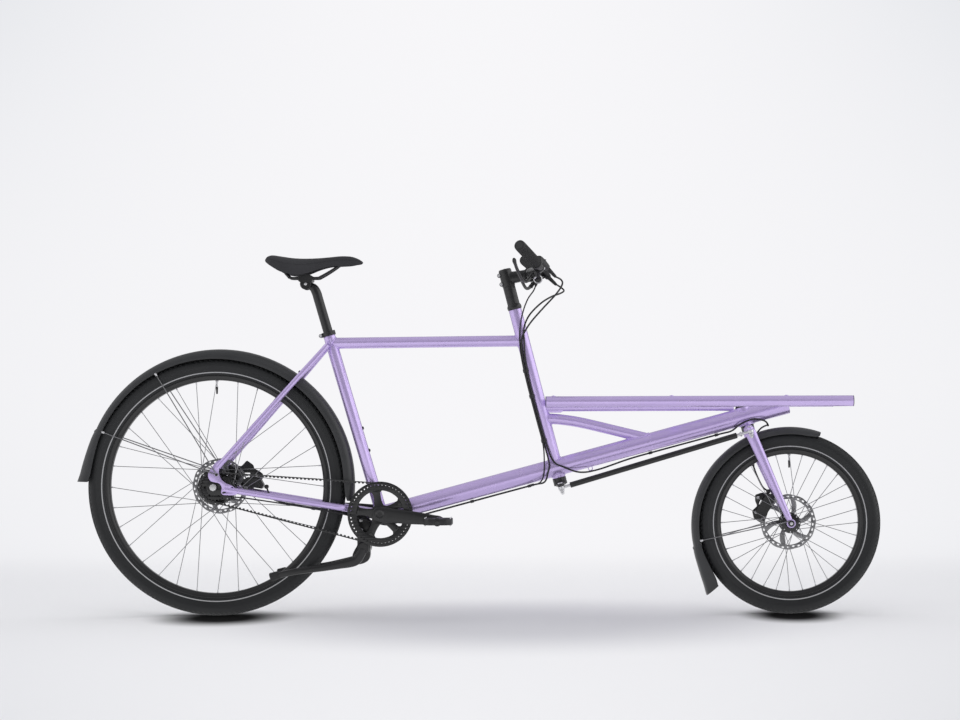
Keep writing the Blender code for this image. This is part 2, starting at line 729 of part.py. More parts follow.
def build_rim(name, axle, rim_outer, steps):
    """Rim with a channel for the tyre's beads."""
    inner = rim_outer - RIM_DEPTH
    half = RIM_HALF_WIDTH
    profile = [(inner, 0.0115), (rim_outer, half), (rim_outer - 0.0062, half - 0.0038)]
    profile += [(r, -y) for r, y in reversed(profile)]
    flat = math.cos(math.pi / steps)
    profile = [(r / flat, y) for r, y in profile]
    rim = turned(profile, steps, math.pi / 2 + math.pi / steps)
    piece(name, moved(rim, axle), BLACK_METAL, axle)


def spoke_set(hub_radius, rim_radius, flanges, crosses):
    """All spokes of a wheel as thin three sided bars about the origin, laced over both flanges."""
    bm = bmesh.new()
    per_flange = SPOKES // 2
    step = math.tau / per_flange
    swing = crosses * math.tau * 2.0 / SPOKES
    for flange_number, place in enumerate(flanges):
        for i in range(per_flange):
            way = 1.0 if i % 2 == 0 else -1.0
            start_angle = step * i + step * 0.5 * flange_number
            end_angle = start_angle + way * swing
            start = Vector((hub_radius * math.cos(start_angle), place + way * SPOKE_STAGGER,
                            hub_radius * math.sin(start_angle)))
            end = Vector((rim_radius * math.cos(end_angle), 0.0, rim_radius * math.sin(end_angle)))
            direction = (end - start).normalized()
            first, second = frame_of(direction, Y_AXIS)
            rings = [circle(start, first, second, SPOKE_RADIUS, 3), circle(end, first, second, SPOKE_RADIUS, 3)]
            rows = [[bm.verts.new(point) for point in ring] for ring in rings]
            for k in range(3):
                n = (k + 1) % 3
                bm.faces.new((rows[0][k], rows[0][n], rows[1][n], rows[1][k]))
            bm.faces.new(rows[0])
            bm.faces.new(rows[1])
    bmesh.ops.recalc_face_normals(bm, faces=bm.faces)
    return bm


def flange_profile(place, root, top):
    """Two rising and two falling points of a hub flange."""
    return [(root, place - 0.0040), (top, place - FLANGE_HALF), (top, place + FLANGE_HALF), (root, place + 0.0040)]


def build_rear_hub():
    """Geared rear hub, laced with its spokes, with a seat for the rotor on the left."""
    bore = REAR_AXLE_RADIUS + 0.0006
    seat = REAR_ROTOR_PLACE - ROTOR_THICK / 2 - GAP
    nose = ROTOR_BORE - GAP
    right = -(BELT_LINE - BELT_WIDTH / 2 - 0.0012)
    profile = [(bore, -0.0505), (0.0167, -0.0505), (0.0167, right), (0.031, right)]
    profile += flange_profile(-REAR_FLANGE_PLACE, 0.0445, REAR_FLANGE)
    profile += flange_profile(REAR_FLANGE_PLACE, 0.0445, REAR_FLANGE)
    profile += [(0.026, seat), (nose, seat), (nose, 0.0575), (bore, 0.0575)]
    hub = turned(profile, 16)
    end = (REAR_RIM_OUTER - RIM_DEPTH) - 0.0006
    spokes = spoke_set(REAR_FLANGE - 0.0045, end, (-REAR_FLANGE_PLACE, REAR_FLANGE_PLACE), 3)
    piece("rear_hub", moved(joined(hub, spokes), REAR_AXLE), BLACK_METAL, REAR_AXLE)


def build_front_hub():
    """Disc brake front hub, laced with its spokes."""
    bore = FRONT_AXLE_RADIUS + 0.0006
    seat = FRONT_ROTOR_PLACE - ROTOR_THICK / 2 - GAP
    nose = ROTOR_BORE - GAP
    end_face = FRONT_HALF_WIDTH - SEAT_GAP
    places = (-0.033, 0.022)
    profile = [(bore, -end_face), (0.010, -end_face)]
    profile += flange_profile(places[0], 0.0155, FRONT_FLANGE)
    profile += flange_profile(places[1], 0.0155, FRONT_FLANGE)
    profile += [(0.023, seat), (nose, seat), (nose, 0.0425), (0.010, 0.0435), (0.010, end_face), (bore, end_face)]
    hub = turned(profile, 14)
    end = (FRONT_RIM_OUTER - RIM_DEPTH) - 0.0006
    spokes = spoke_set(FRONT_FLANGE - 0.004, end, places, 2)
    piece("front_hub", moved(joined(hub, spokes), FRONT_AXLE), BLACK_METAL, FRONT_AXLE)


def build_rotor(name, axle, place):
    """Brake disc: a rubbing ring on six slanted arms."""
    arms = 6
    outlines = [round_outline((0.0, 0.0), ROTOR_RADIUS, 30), round_outline((0.0, 0.0), around(ROTOR_BORE, 12), 12)]
    for i in range(arms):
        start = math.tau * i / arms
        inner = [(0.029, start + 0.18 + 0.66 * k) for k in range(2)]
        outer = [(0.0635, start + 0.42 + 0.80 * (1 - k / 2)) for k in range(3)]
        outlines.append([(r * math.cos(a), r * math.sin(a)) for r, a in inner + outer])
    disc = plate(outlines, place - ROTOR_THICK / 2, place + ROTOR_THICK / 2)
    piece(name, moved(disc, axle), SILVER, axle)


def build_rear_axle():
    """Fixed rear axle with its inner lock nuts, the shift cable's joint on the right, and outer nuts."""
    face = REAR_HALF_WIDTH - GAP
    outside = REAR_HALF_WIDTH + DROPOUT_THICK + GAP
    r = REAR_AXLE_RADIUS
    right = [(r, -0.0515), (0.011, -0.0515), (0.011, -0.0535), (0.0175, -0.0545), (0.0175, -0.0645),
             (0.011, -0.0655), (0.011, -face), (r, -face), (r, -outside), (0.010, -outside),
             (0.010, -outside - 0.009), (0.0, -outside - 0.0105)]
    left = [(r, 0.0585), (0.011, 0.0585), (0.011, face), (r, face), (r, outside), (0.010, outside),
            (0.010, outside + 0.009), (0.0, outside + 0.0105)]
    profile = list(reversed(right)) + left
    piece("rear_axle", moved(turned(profile, 8), REAR_AXLE), SILVER)


# Drive

def belt_sections():
    """Belt centre line as (point, outward normal) for each half pitch, starting where it leaves the ring."""
    distance = (SHELL - REAR_AXLE).length
    heading = math.atan2(SHELL.z - REAR_AXLE.z, SHELL.x - REAR_AXLE.x)
    lean = math.asin((RING_PITCH_RADIUS - SPROCKET_PITCH_RADIUS) / distance)
    straight = distance * math.cos(lean)
    ring_wrap = RING_PITCH_RADIUS * (math.pi + 2.0 * lean)
    sprocket_wrap = SPROCKET_PITCH_RADIUS * (math.pi - 2.0 * lean)
    top_angle = heading + math.pi / 2 + lean
    low_angle = heading - math.pi / 2 - lean

    def at(along):
        """Point and outward normal at a length along the belt, from the ring's top going back."""
        along %= BELT_PITCH * BELT_TEETH
        if along < straight:
            normal = Vector((math.cos(top_angle), 0.0, math.sin(top_angle)))
            back = Vector((-normal.z, 0.0, normal.x))
            return SHELL + normal * RING_PITCH_RADIUS + back * along, normal
        along -= straight
        if along < sprocket_wrap:
            angle = top_angle + along / SPROCKET_PITCH_RADIUS
            normal = Vector((math.cos(angle), 0.0, math.sin(angle)))
            return REAR_AXLE + normal * SPROCKET_PITCH_RADIUS, normal
        along -= sprocket_wrap
        if along < straight:
            normal = Vector((math.cos(low_angle), 0.0, math.sin(low_angle)))
            ahead = Vector((-normal.z, 0.0, normal.x))
            return REAR_AXLE + normal * SPROCKET_PITCH_RADIUS + ahead * along, normal
        along -= straight
        angle = low_angle + along / RING_PITCH_RADIUS
        normal = Vector((math.cos(angle), 0.0, math.sin(angle)))
        return SHELL + normal * RING_PITCH_RADIUS, normal

    return at, straight, sprocket_wrap, top_angle, low_angle


def build_belt():
    """Toothed belt in mesh with the chainring and the rear sprocket."""
    at = belt_sections()[0]
    outer = []
    inner = []
    for tooth in range(BELT_TEETH):
        centre = tooth * BELT_PITCH
        point, normal = at(centre - BELT_PITCH / 2)
        if tooth % 2 == 0:
            outer.append(point + normal * BELT_BACK)
        for shift, depth in ((-TOOTH_ROOT / 2, BELT_LAND), (-TOOTH_TIP / 2, BELT_LAND + TOOTH_DEPTH),
                             (TOOTH_TIP / 2, BELT_LAND + TOOTH_DEPTH), (TOOTH_ROOT / 2, BELT_LAND)):
            point, normal = at(centre + shift)
            inner.append(point - normal * depth)
    low = -BELT_LINE - BELT_WIDTH / 2
    outlines = [[(p.x, p.z) for p in outer], [(p.x, p.z) for p in inner]]
    piece("belt", plate(outlines, low, low + BELT_WIDTH), RUBBER)


def toothed_outline(pitch_radius, teeth, first_angle):
    """Outline of a belt wheel whose grooves take the belt's teeth; a groove is centred on first_angle."""
    land = pitch_radius - BELT_LAND - SEAT_GAP
    floor = land - TOOTH_DEPTH - SEAT_GAP
    mouth = (TOOTH_ROOT / 2 + SEAT_GAP) / land
    base = (TOOTH_TIP / 2 + SEAT_GAP) / floor
    points = []
    for i in range(teeth):
        angle = first_angle + math.tau * i / teeth
        for radius, shift in ((land, -mouth), (floor, -base), (floor, base), (land, mouth)):
            points.append((radius * math.cos(angle + shift), radius * math.sin(angle + shift)))
    return points


def build_belt_wheels():
    """Chainring and rear sprocket, with their grooves at the belt's teeth."""
    _, straight, sprocket_wrap, top_angle, low_angle = belt_sections()
    low = -BELT_LINE - BELT_WIDTH / 2
    ring = [toothed_outline(RING_PITCH_RADIUS, RING_TEETH, top_angle),
            round_outline((0.0, 0.0), around(SPIDER_RADIUS + SEAT_GAP, 30), 30)]
    piece("chainring", moved(plate(ring, low, low + BELT_WIDTH), SHELL), BLACK_METAL, SHELL)
    past = math.ceil(straight / BELT_PITCH) * BELT_PITCH - straight
    sprocket = [toothed_outline(SPROCKET_PITCH_RADIUS, SPROCKET_TEETH, top_angle + past / SPROCKET_PITCH_RADIUS),
                round_outline((0.0, 0.0), 0.0175, 16)]
    piece("rear_sprocket", moved(plate(sprocket, low, low + BELT_WIDTH), REAR_AXLE), BLACK_METAL, REAR_AXLE)


def crank_arm(side, angle):
    """Crank arm from the spindle to the pedal, flared outwards, with the pedal's bore."""
    heading = Vector((math.cos(angle), 0.0, math.sin(angle)))
    across = Vector((-heading.z, 0.0, heading.x))
    rings = []
    for along, half, thick in ((-0.016, 0.010, 0.8), (-0.008, 0.0165, 1.0), (0.030, 0.0165, 1.0), (0.090, 0.0130, 0.95),
                               (0.150, 0.0122, 0.9), (CRANK_LENGTH, 0.0130, 0.9), (CRANK_LENGTH + 0.011, 0.0085, 0.8)):
        flare = CRANK_FLARE * max(0.0, min(1.0, along / CRANK_LENGTH))
        centre = SHELL + heading * along + Y_AXIS * (side * (CRANK_INNER + CRANK_THICK / 2 + flare))
        depth = CRANK_THICK / 2 * thick
        rings.append([centre + across * (half * a) + Y_AXIS * (depth * b)
                      for a, b in ((-1.0, -0.6), (-0.7, -1.0), (0.7, -1.0), (1.0, -0.6),
                                   (1.0, 0.6), (0.7, 1.0), (-0.7, 1.0), (-1.0, 0.6))])
    return skin(rings)


def pedal_axis(side, angle):
    """Point on the pedal's axis in the plane of the bicycle."""
    return SHELL + Vector((math.cos(angle), 0.0, math.sin(angle))) * CRANK_LENGTH


def build_crankset():
    """Both crank arms, the spindle and the five armed spider as one rigid piece."""
    reach = CRANK_INNER + CRANK_THICK * 0.5
    spindle = rod(SHELL - Y_AXIS * reach, SHELL + Y_AXIS * reach, SPINDLE_RADIUS, 16)
    face = BELT_LINE - SPIDER_THICK / 2
    boss = rod(SHELL - Y_AXIS * (SHELL_HALF + 0.001), SHELL - Y_AXIS * (CRANK_INNER + 0.002), 0.0205, 16)
    left_boss = rod(SHELL + Y_AXIS * (SHELL_HALF + 0.001), SHELL + Y_AXIS * (CRANK_INNER + 0.002), 0.0165, 12)
    outline = []
    for i in range(5):
        middle = math.radians(28.0) + math.tau * i / 5
        for radius, shift in ((0.024, -0.62), (0.040, -0.24), (SPIDER_RADIUS, -0.15), (SPIDER_RADIUS, 0.15),
                              (0.040, 0.24)):
            outline.append((SHELL.x + radius * math.cos(middle + shift), SHELL.z + radius * math.sin(middle + shift)))
    spider = plate([outline], -face - SPIDER_THICK, -face)
    cranks = joined(spindle, boss, left_boss, spider, crank_arm(-1.0, CRANK_ANGLE),
                    crank_arm(1.0, CRANK_ANGLE + math.pi))
    bores = []
    for side, angle in ((-1.0, CRANK_ANGLE), (1.0, CRANK_ANGLE + math.pi)):
        end = pedal_axis(side, angle)
        bores.append(rod(end + Y_AXIS * (side * 0.05), end + Y_AXIS * (side * 0.09), PEDAL_PIN_RADIUS + 0.0006, 12))
    piece("crankset", cut(cranks, *bores), BLACK_METAL, SHELL)


def build_pedals():
    """Platform pedals: a caged body round a barrel, on a pin screwed into the crank."""
    for label, side in SIDES:
        angle = CRANK_ANGLE if side < 0.0 else CRANK_ANGLE + math.pi
        centre = pedal_axis(side, angle)
        root = CRANK_INNER + CRANK_FLARE
        face = root + CRANK_THICK + 0.004
        half = PEDAL_LENGTH / 2
        rim = 0.008
        outline = [(-half + 0.010, 0.0), (half - 0.010, 0.0), (half, 0.012), (half, PEDAL_WIDTH - 0.012),
                   (half - 0.012, PEDAL_WIDTH), (-half + 0.012, PEDAL_WIDTH), (-half, PEDAL_WIDTH - 0.012),
                   (-half, 0.012)]
        windows = [[(way * 0.012, 0.012), (way * (half - rim), 0.016), (way * (half - rim), PEDAL_WIDTH - 0.016),
                    (way * 0.012, PEDAL_WIDTH - 0.012)] for way in (-1.0, 1.0)]
        cage = plate([outline] + windows, -PEDAL_THICK / 2, PEDAL_THICK / 2)
        turn = Matrix.Rotation(math.pi / 2, 4, "X") if side < 0.0 else Matrix.Rotation(-math.pi / 2, 4, "X")
        mirror = Matrix.Scale(-1.0, 4, X_AXIS) if side > 0.0 else Matrix.Identity(4)
        place = Matrix.Translation(centre + Y_AXIS * (side * face))
        bmesh.ops.transform(cage, matrix=place @ turn @ mirror, verts=cage.verts)
        bmesh.ops.recalc_face_normals(cage, faces=cage.faces)
        barrel = rod(centre + Y_AXIS * (side * (face - 0.003)), centre + Y_AXIS * (side * (face + PEDAL_WIDTH - 0.004)),
                     0.0125, 10)
        pin = rod(centre + Y_AXIS * (side * (root + 0.002)), centre + Y_AXIS * (side * (face + 0.010)),
                  PEDAL_PIN_RADIUS, 10)
        piece("pedal_" + label, joined(cage, barrel, pin), BLACK_PLASTIC, centre)


# Steering

def linkage_arm(axis_point, eye):
    """Arm from a steering axis out to an eye, with the stud that the rod's eye turns on."""
    low = EYE_HEIGHT / 2 + GAP
    outline = capsule_outline((0.0, 0.0), (0.0, ARM_OFFSET), 0.015, ARM_HALF_WIDTH, 5)
    arm = plate([outline], low, low + ARM_THICK)
    stud = rod(Vector((0.0, low + 0.001, ARM_OFFSET)), Vector((0.0, low - STUD_LENGTH, ARM_OFFSET)), STUD_RADIUS, 8)
    nut_top = -EYE_HEIGHT / 2 - GAP
    nut = rod(Vector((0.0, nut_top, ARM_OFFSET)), Vector((0.0, nut_top - 0.007, ARM_OFFSET)), 0.0068, 6)
    solid = joined(arm, stud, nut)
    side = -Y_AXIS
    matrix = Matrix((STEER_DIR.cross(side), STEER_DIR, side)).transposed().to_4x4()
    bmesh.ops.transform(solid, matrix=Matrix.Translation(axis_point) @ matrix, verts=solid.verts)
    bmesh.ops.recalc_face_normals(solid, faces=solid.faces)
    return solid


def build_steering_shaft():
    """Steerer with its spacers and collar above the tube, and the ring and arm below it."""
    foot = COLUMN_EYE + Y_AXIS * ARM_OFFSET
    above = (STEER_TUBE_TOP - foot).length
    below = (STEER_TUBE_FOOT - foot).length
    top = (SHAFT_TOP - foot).length
    collar = above + COLLAR_HEIGHT
    spacers = collar + SPACER_HEIGHT
    ring_low = EYE_HEIGHT / 2 + 0.002
    profile = [(0.0, ring_low), (0.0195, ring_low), (0.0195, below - GAP), (STEERER_OUTER, below - GAP),
               (STEERER_OUTER, above + GAP), (COLLAR_OUTER, above + GAP), (COLLAR_OUTER, collar - 0.004),
               (SPACER_OUTER, collar), (SPACER_OUTER, spacers), (STEERER_OUTER, spacers),
               (STEERER_OUTER, top), (0.0, top)]
    shaft = moved(turned(profile, 16), foot, STEER_DIR)
    piece("steering_shaft", joined(shaft, linkage_arm(foot, COLUMN_EYE)), BLACK_METAL, COLUMN_FOOT)


def build_tie_rod():
    """Tie rod with an eye at each end."""
    heading = (FORK_EYE - COLUMN_EYE).normalized()
    bar = rod(COLUMN_EYE + heading * 0.032, FORK_EYE - heading * 0.040, ROD_OUTER, 10)
    parts = []
    bores = []
    for eye, way in ((COLUMN_EYE, 1.0), (FORK_EYE, -1.0)):
        parts.append(rod(eye - STEER_DIR * (EYE_HEIGHT / 2), eye + STEER_DIR * (EYE_HEIGHT / 2), EYE_OUTER, 12))
        parts.append(rod(eye + heading * (way * 0.003), eye + heading * (way * 0.044), 0.004, 8))
        bores.append(rod(eye - STEER_DIR * 0.02, eye + STEER_DIR * 0.02, STUD_RADIUS + 0.0006, 10))
    piece("tie_rod", cut(joined(bar, *parts), *bores), BLACK_METAL, COLUMN_EYE)


def stem_places():
    """Middle of the steerer clamp and middle of the bar clamp."""
    clamp = SHAFT_TOP - STEER_DIR * (STEM_CLAMP_HEIGHT / 2)
    return clamp, BAR_CENTRE


BAR_CENTRE = (SHAFT_TOP - STEER_DIR * (STEM_CLAMP_HEIGHT / 2)
              + Vector((math.cos(math.radians(9.5)), 0.0, math.sin(math.radians(9.5)))) * STEM_REACH)


def build_stem():
    """Stem: steerer clamp, extension and bar clamp, bored for the steerer and the bar."""
    clamp, bar = stem_places()
    half = STEM_CLAMP_HEIGHT / 2 - GAP
    body = rod(clamp - STEER_DIR * half, clamp + STEER_DIR * half, STEM_CLAMP_OUTER, 16)
    arm = rod(clamp, bar, 0.0165, 12, STEM_OUTER)
    holder = rod(bar - Y_AXIS * BAR_CLAMP_HALF, bar + Y_AXIS * BAR_CLAMP_HALF, BAR_CLAMP_OUTER, 16)
    steerer = rod(clamp - STEER_DIR * 0.04, clamp + STEER_DIR * 0.04, around(STEERER_OUTER + GAP, 16), 16)
    bore = rod(bar - Y_AXIS * 0.04, bar + Y_AXIS * 0.04, around(BAR_CENTRE_RADIUS + GAP, 16), 16)
    back = STEER_SIDE * -(STEM_CLAMP_OUTER + 0.001)
    ears = [rod(clamp + back + STEER_DIR * way - Y_AXIS * 0.010, clamp + back + STEER_DIR * way + Y_AXIS * 0.010,
                0.0055, 8) for way in (-0.013, 0.013)]
    piece("stem", cut(joined(body, arm, holder, *ears), steerer, bore), BLACK_METAL, COLUMN_FOOT)


LEVER_BOSS_HALF = 0.0034

BAR_SHAPE = ((0.000, 0.000, 0.000), (0.000, 0.045, 0.000), (0.006, 0.078, 0.0015), (0.018, 0.112, 0.004),
             (0.025, 0.150, 0.008), (0.022, 0.185, 0.015), (-0.026, 0.300, 0.061))


def bar_half(side):
    """Centre line of one half of the bar, from the stem outwards."""
    return [BAR_CENTRE + Vector((x, side * y, z)) for x, y, z in BAR_SHAPE]


def bar_end(side):
    """End of the bar and the direction that it points in."""
    points = bar_half(side)
    return points[-1], (points[-1] - points[-2]).normalized()


def build_bar():
    """Swept and raised handlebar, thicker where the stem holds it."""
    right = bar_half(-1.0)
    left = bar_half(1.0)
    bends = [BAR_GRIP_RADIUS] + [BAR_GRIP_RADIUS] * 4 + [BAR_CENTRE_RADIUS]
    shape = list(reversed(right[1:])) + left[1:]
    radii = bends + list(reversed(bends))
    piece("handlebar", swept(shape, radii, 12, Z_AXIS), BLACK_METAL, COLUMN_FOOT)


def build_grips():
    """Grips with closed outer ends, over the bar's straight ends."""
    for label, side in SIDES:
        end, direction = bar_end(side)
        inner = around(BAR_GRIP_RADIUS + GAP, 14)
        profile = [(0.0, 0.0012), (inner, 0.0012), (inner, -GRIP_LENGTH), (GRIP_OUTER + 0.0012, -GRIP_LENGTH),
                   (GRIP_OUTER + 0.0012, -GRIP_LENGTH + 0.006), (GRIP_OUTER - 0.0008, -GRIP_LENGTH + 0.010),
                   (GRIP_OUTER, 0.0), (GRIP_OUTER - 0.003, 0.0042), (0.0, 0.0042)]
        piece("grip_" + label, moved(turned(profile, 14), end, direction), RUBBER, COLUMN_FOOT)


def control_places(side):
    """Places of the brake controls on one side: bar clamp, reservoir, boot tip, lever pivot, its hinge and blade."""
    def at(x, y, z):
        """Point measured from the bar's middle."""
        return BAR_CENTRE + Vector((x, side * y, z))

    drop = 0.006 * (1.0 + side)
    return {"clamp": at(0.0241, 0.160, 0.0100), "body": at(0.026, 0.150, 0.031), "mid": at(0.046, 0.118, 0.012 - drop),
            "tip": at(0.0725, 0.090, -0.018 - drop), "pivot": at(0.006, 0.146, -0.010),
            "hinge": Vector((0.582, side * 0.424, -0.693)),
            "blade": [at(0.006, 0.146, -0.010), at(-0.008, 0.165, -0.028), at(-0.020, 0.195, -0.028),
                      at(-0.034, 0.236, -0.002), at(-0.043, 0.272, 0.026)]}


def brake_clamp(side):
    """Master cylinder with its bar clamp, pivot lug and hose boot."""
    spots = control_places(side)
    along = Vector((-0.10, side, 0.10)).normalized()
    ring = rod(spots["clamp"] - along * 0.009, spots["clamp"] + along * 0.009, 0.0155, 14)
    neck = rod(spots["clamp"], spots["body"], 0.008, 8)
    cylinder = rod(spots["body"], spots["mid"], 0.0105, 10, 0.0085)
    boot = rod(spots["mid"], spots["tip"], 0.0060, 8, 0.0040)
    hinge = spots["hinge"]
    near = spots["pivot"] + hinge * (LEVER_BOSS_HALF + GAP)
    lug = rod(spots["clamp"], spots["pivot"] + hinge * 0.0094, 0.0038, 8)
    return joined(ring, neck, cylinder, boot, lug, rod(near, near + hinge * 0.0085, 0.0068, 10))


def build_controls():
    """Brake clamps and levers on both sides; the right clamp carries the shifter."""
    for label, side in SIDES:
        spots = control_places(side)
        body = brake_clamp(side)
        if side < 0.0:
            pod = shift_pivot()
            body = joined(body, rod(pod - Y_AXIS * 0.008, pod + Y_AXIS * 0.008, 0.0125, 12),
                          rod(pod, spots["clamp"] + Vector((0.0, 0.004, -0.0132)), 0.0045, 8))
        path = curve_points(bar_half(side), 1)
        small = around(BAR_GRIP_RADIUS + GAP, 14)
        radii = [BAR_CENTRE_RADIUS * 1.05] * 2 + [small] * (len(path) - 2)
        bore = swept(path, radii, 14, Z_AXIS)
        piece("brake_clamp_" + label, cut(body, bore), BLACK_PLASTIC, COLUMN_FOOT)
        blade = curve_points(spots["blade"], 2)
        count = len(blade) - 1
        sizes = [(0.0062 - 0.0015 * math.sin(math.pi * i / count), 0.0045) for i in range(count + 1)]
        sizes[-1] = (0.0075, 0.0065)
        hinge = spots["hinge"] * LEVER_BOSS_HALF
        lever = joined(swept(blade, sizes, 8, Z_AXIS), rod(spots["pivot"] - hinge, spots["pivot"] + hinge, 0.0068, 12))
        lever = cut(lever, rod(spots["pivot"] + hinge, spots["pivot"] + hinge * 5.0, 0.0084, 12))
        piece("brake_lever_" + label, lever, BLACK_METAL, spots["pivot"])


def shift_pivot():
    """Middle of the shifter's pod, which the shift lever turns about."""
    return BAR_CENTRE + Vector((0.021, -0.128, -0.0215))


def build_shift_lever():
    """Thumb lever under the shifter's pod."""
    pivot = shift_pivot()
    hub = rod(pivot + Y_AXIS * 0.0115, pivot + Y_AXIS * 0.0084, 0.0085, 12)
    paddle = swept([pivot + Vector((0.0, 0.010, 0.0)), pivot + Vector((-0.012, 0.011, -0.010)),
                    pivot + Vector((-0.022, 0.008, -0.022))], [(0.0016, 0.0045), (0.0016, 0.0050), (0.0018, 0.0065)],
                   8, Y_AXIS)
    piece("shift_lever", joined(hub, paddle), BLACK_PLASTIC, pivot)


# Fork

def blade_rings(side):
    """Oval sections of a fork blade from crown to tip."""
    top = CROWN
    rings = []
    for t, wide, deep in ((0.0, 0.85, 0.95), (0.10, 1.0, 1.0), (0.55, 0.90, 0.78), (0.92, 0.70, 0.56),
                          (0.972, 0.50, 0.50)):
        point = top.lerp(FRONT_AXLE, t)
        spread = BLADE_TOP_SPREAD + (BLADE_TIP_SPREAD - BLADE_TOP_SPREAD) * max(0.0, (t - 0.1) / 0.9)
        direction = (FRONT_AXLE - top).normalized()
        first, second = frame_of(direction, Y_AXIS)
        radius = (BLADE_TOP_WIDTH * wide, BLADE_TOP_DEPTH * deep)
        rings.append(circle(point + Y_AXIS * (side * spread), first, second, radius, 10))
    return rings


def build_fork():
    """Steerer, crown, two tapered blades, dropout discs, axle and steering arm as one welded piece."""
    eye_centre = FORK_EYE + Y_AXIS * ARM_OFFSET
    head_top = HEAD_BOTTOM + STEER_DIR * HEAD_LENGTH
    steerer = rod(CROWN, head_top - STEER_DIR * 0.001, STEERER_OUTER, 16)
    race = rod(CROWN - STEER_DIR * 0.006, HEAD_BOTTOM - STEER_DIR * GAP, 0.0185, 16)
    crown = rod(CROWN - Y_AXIS * 0.048, CROWN + Y_AXIS * 0.048, 0.0132, 12)
    blades = [skin(blade_rings(side)) for _, side in SIDES]
    axle = rod(FRONT_AXLE - Y_AXIS * 0.066, FRONT_AXLE + Y_AXIS * 0.066, FRONT_AXLE_RADIUS, 8)
    tips = []
    for _, side in SIDES:
        tips.append(rod(FRONT_AXLE + Y_AXIS * (side * FRONT_HALF_WIDTH),
                        FRONT_AXLE + Y_AXIS * (side * (FRONT_HALF_WIDTH + 0.0095)), 0.0115, 12))
    fork = joined(steerer, race, crown, *blades, axle, *tips, linkage_arm(eye_centre, FORK_EYE))
    piece("fork", fork, LILAC, FORK_FOOT)


# Guards

def guard_rings(centre, stations, thick=GUARD_WALL):
    """Sections of a mudguard round a centre; a station is (angle, radius, half width, skirt)."""
    rings = []
    for angle, radius, half, skirt in stations:
        out = Vector((math.cos(angle), 0.0, math.sin(angle)))
        outer = [(-half, skirt), (-0.92 * half, 0.38 * skirt), (-0.50 * half, 0.04 * skirt),
                 (0.50 * half, 0.04 * skirt), (0.92 * half, 0.38 * skirt), (half, skirt)]
        inner = [(y * (1.0 - thick / half), depth + thick * (0.0 if abs(y) > 0.99 * half else 1.0))
                 for y, depth in reversed(outer)]
        rings.append([centre + out * (radius - depth) + Y_AXIS * y for y, depth in outer + inner])
    return rings


def build_rear_guard():
    """Rear mudguard from above the chain stays over the wheel, ending in a flared flap."""
    centre = REAR_AXLE + Vector((0.008, 0.0, 0.007))
    first = math.radians(-7.4)
    last = math.radians(157.7)
    stations = [(first + (last - first) * i / 18, REAR_GUARD_RADIUS, GUARD_HALF_WIDTH, GUARD_SKIRT)
                for i in range(19)]
    for turn, grow, wide, deep in ((1.0, 0.003, 1.08, 1.20), (9.0, 0.006, 1.12, 1.35), (17.0, 0.014, 1.18, 1.45),
                                   (21.2, 0.022, 1.20, 1.30)):
        stations.append((last + math.radians(turn), REAR_GUARD_RADIUS + grow, GUARD_HALF_WIDTH * wide,
                         GUARD_SKIRT * deep))
    piece("rear_mudguard", skin(guard_rings(centre, stations)), BLACK_PLASTIC)


def build_front_guard():
    """Front mudguard, which turns with the fork, ending in a longer flap behind the wheel."""
    first = math.radians(71.0)
    last = math.radians(196.0)
    stations = []
    for i in range(13):
        grow = 0.009 * max(0.0, (i - 6) / 6)
        stations.append((first + (last - first) * i / 12, FRONT_GUARD_RADIUS + grow, GUARD_HALF_WIDTH, GUARD_SKIRT))
    for turn, grow, wide, deep in ((1.0, 0.012, 1.08, 1.2), (10.0, 0.017, 1.12, 1.3), (19.0, 0.028, 1.16, 1.4),
                                   (25.6, 0.042, 1.18, 1.3)):
        stations.append((last + math.radians(turn), FRONT_GUARD_RADIUS + grow, GUARD_HALF_WIDTH * wide,
                         GUARD_SKIRT * deep))
    piece("front_mudguard", skin(guard_rings(FRONT_AXLE, stations)), BLACK_PLASTIC, FORK_FOOT)


def stay_wire(axle, centre, angle, radius, eyelet, eyelet_out):
    """Wire from one eyelet up inside the guard, across under its crown and down to the other eyelet."""
    out = Vector((math.cos(angle), 0.0, math.sin(angle)))
    inside = GUARD_HALF_WIDTH - GUARD_WALL - STAY_WIRE - 0.0018
    radius -= 0.0011
    start = axle + eyelet + Y_AXIS * -eyelet_out
    edge = centre + out * (radius - GUARD_SKIRT - 0.004) - Y_AXIS * (inside + 0.0012)
    shoulder = centre + out * (radius - GUARD_SKIRT * 0.55) - Y_AXIS * (inside - 0.001)
    corner = centre + out * (radius - 0.0068) - Y_AXIS * (inside * 0.62)
    straight = start + (edge - start).normalized() * 0.030
    straight.y = start.y
    half = [start, straight, start.lerp(edge, 0.5), edge, shoulder, corner, centre + out * (radius - 0.0050) - Y_AXIS * 0.006]
    path = half + mirrored(reversed(half))
    return swept(path, STAY_WIRE, 5, out)


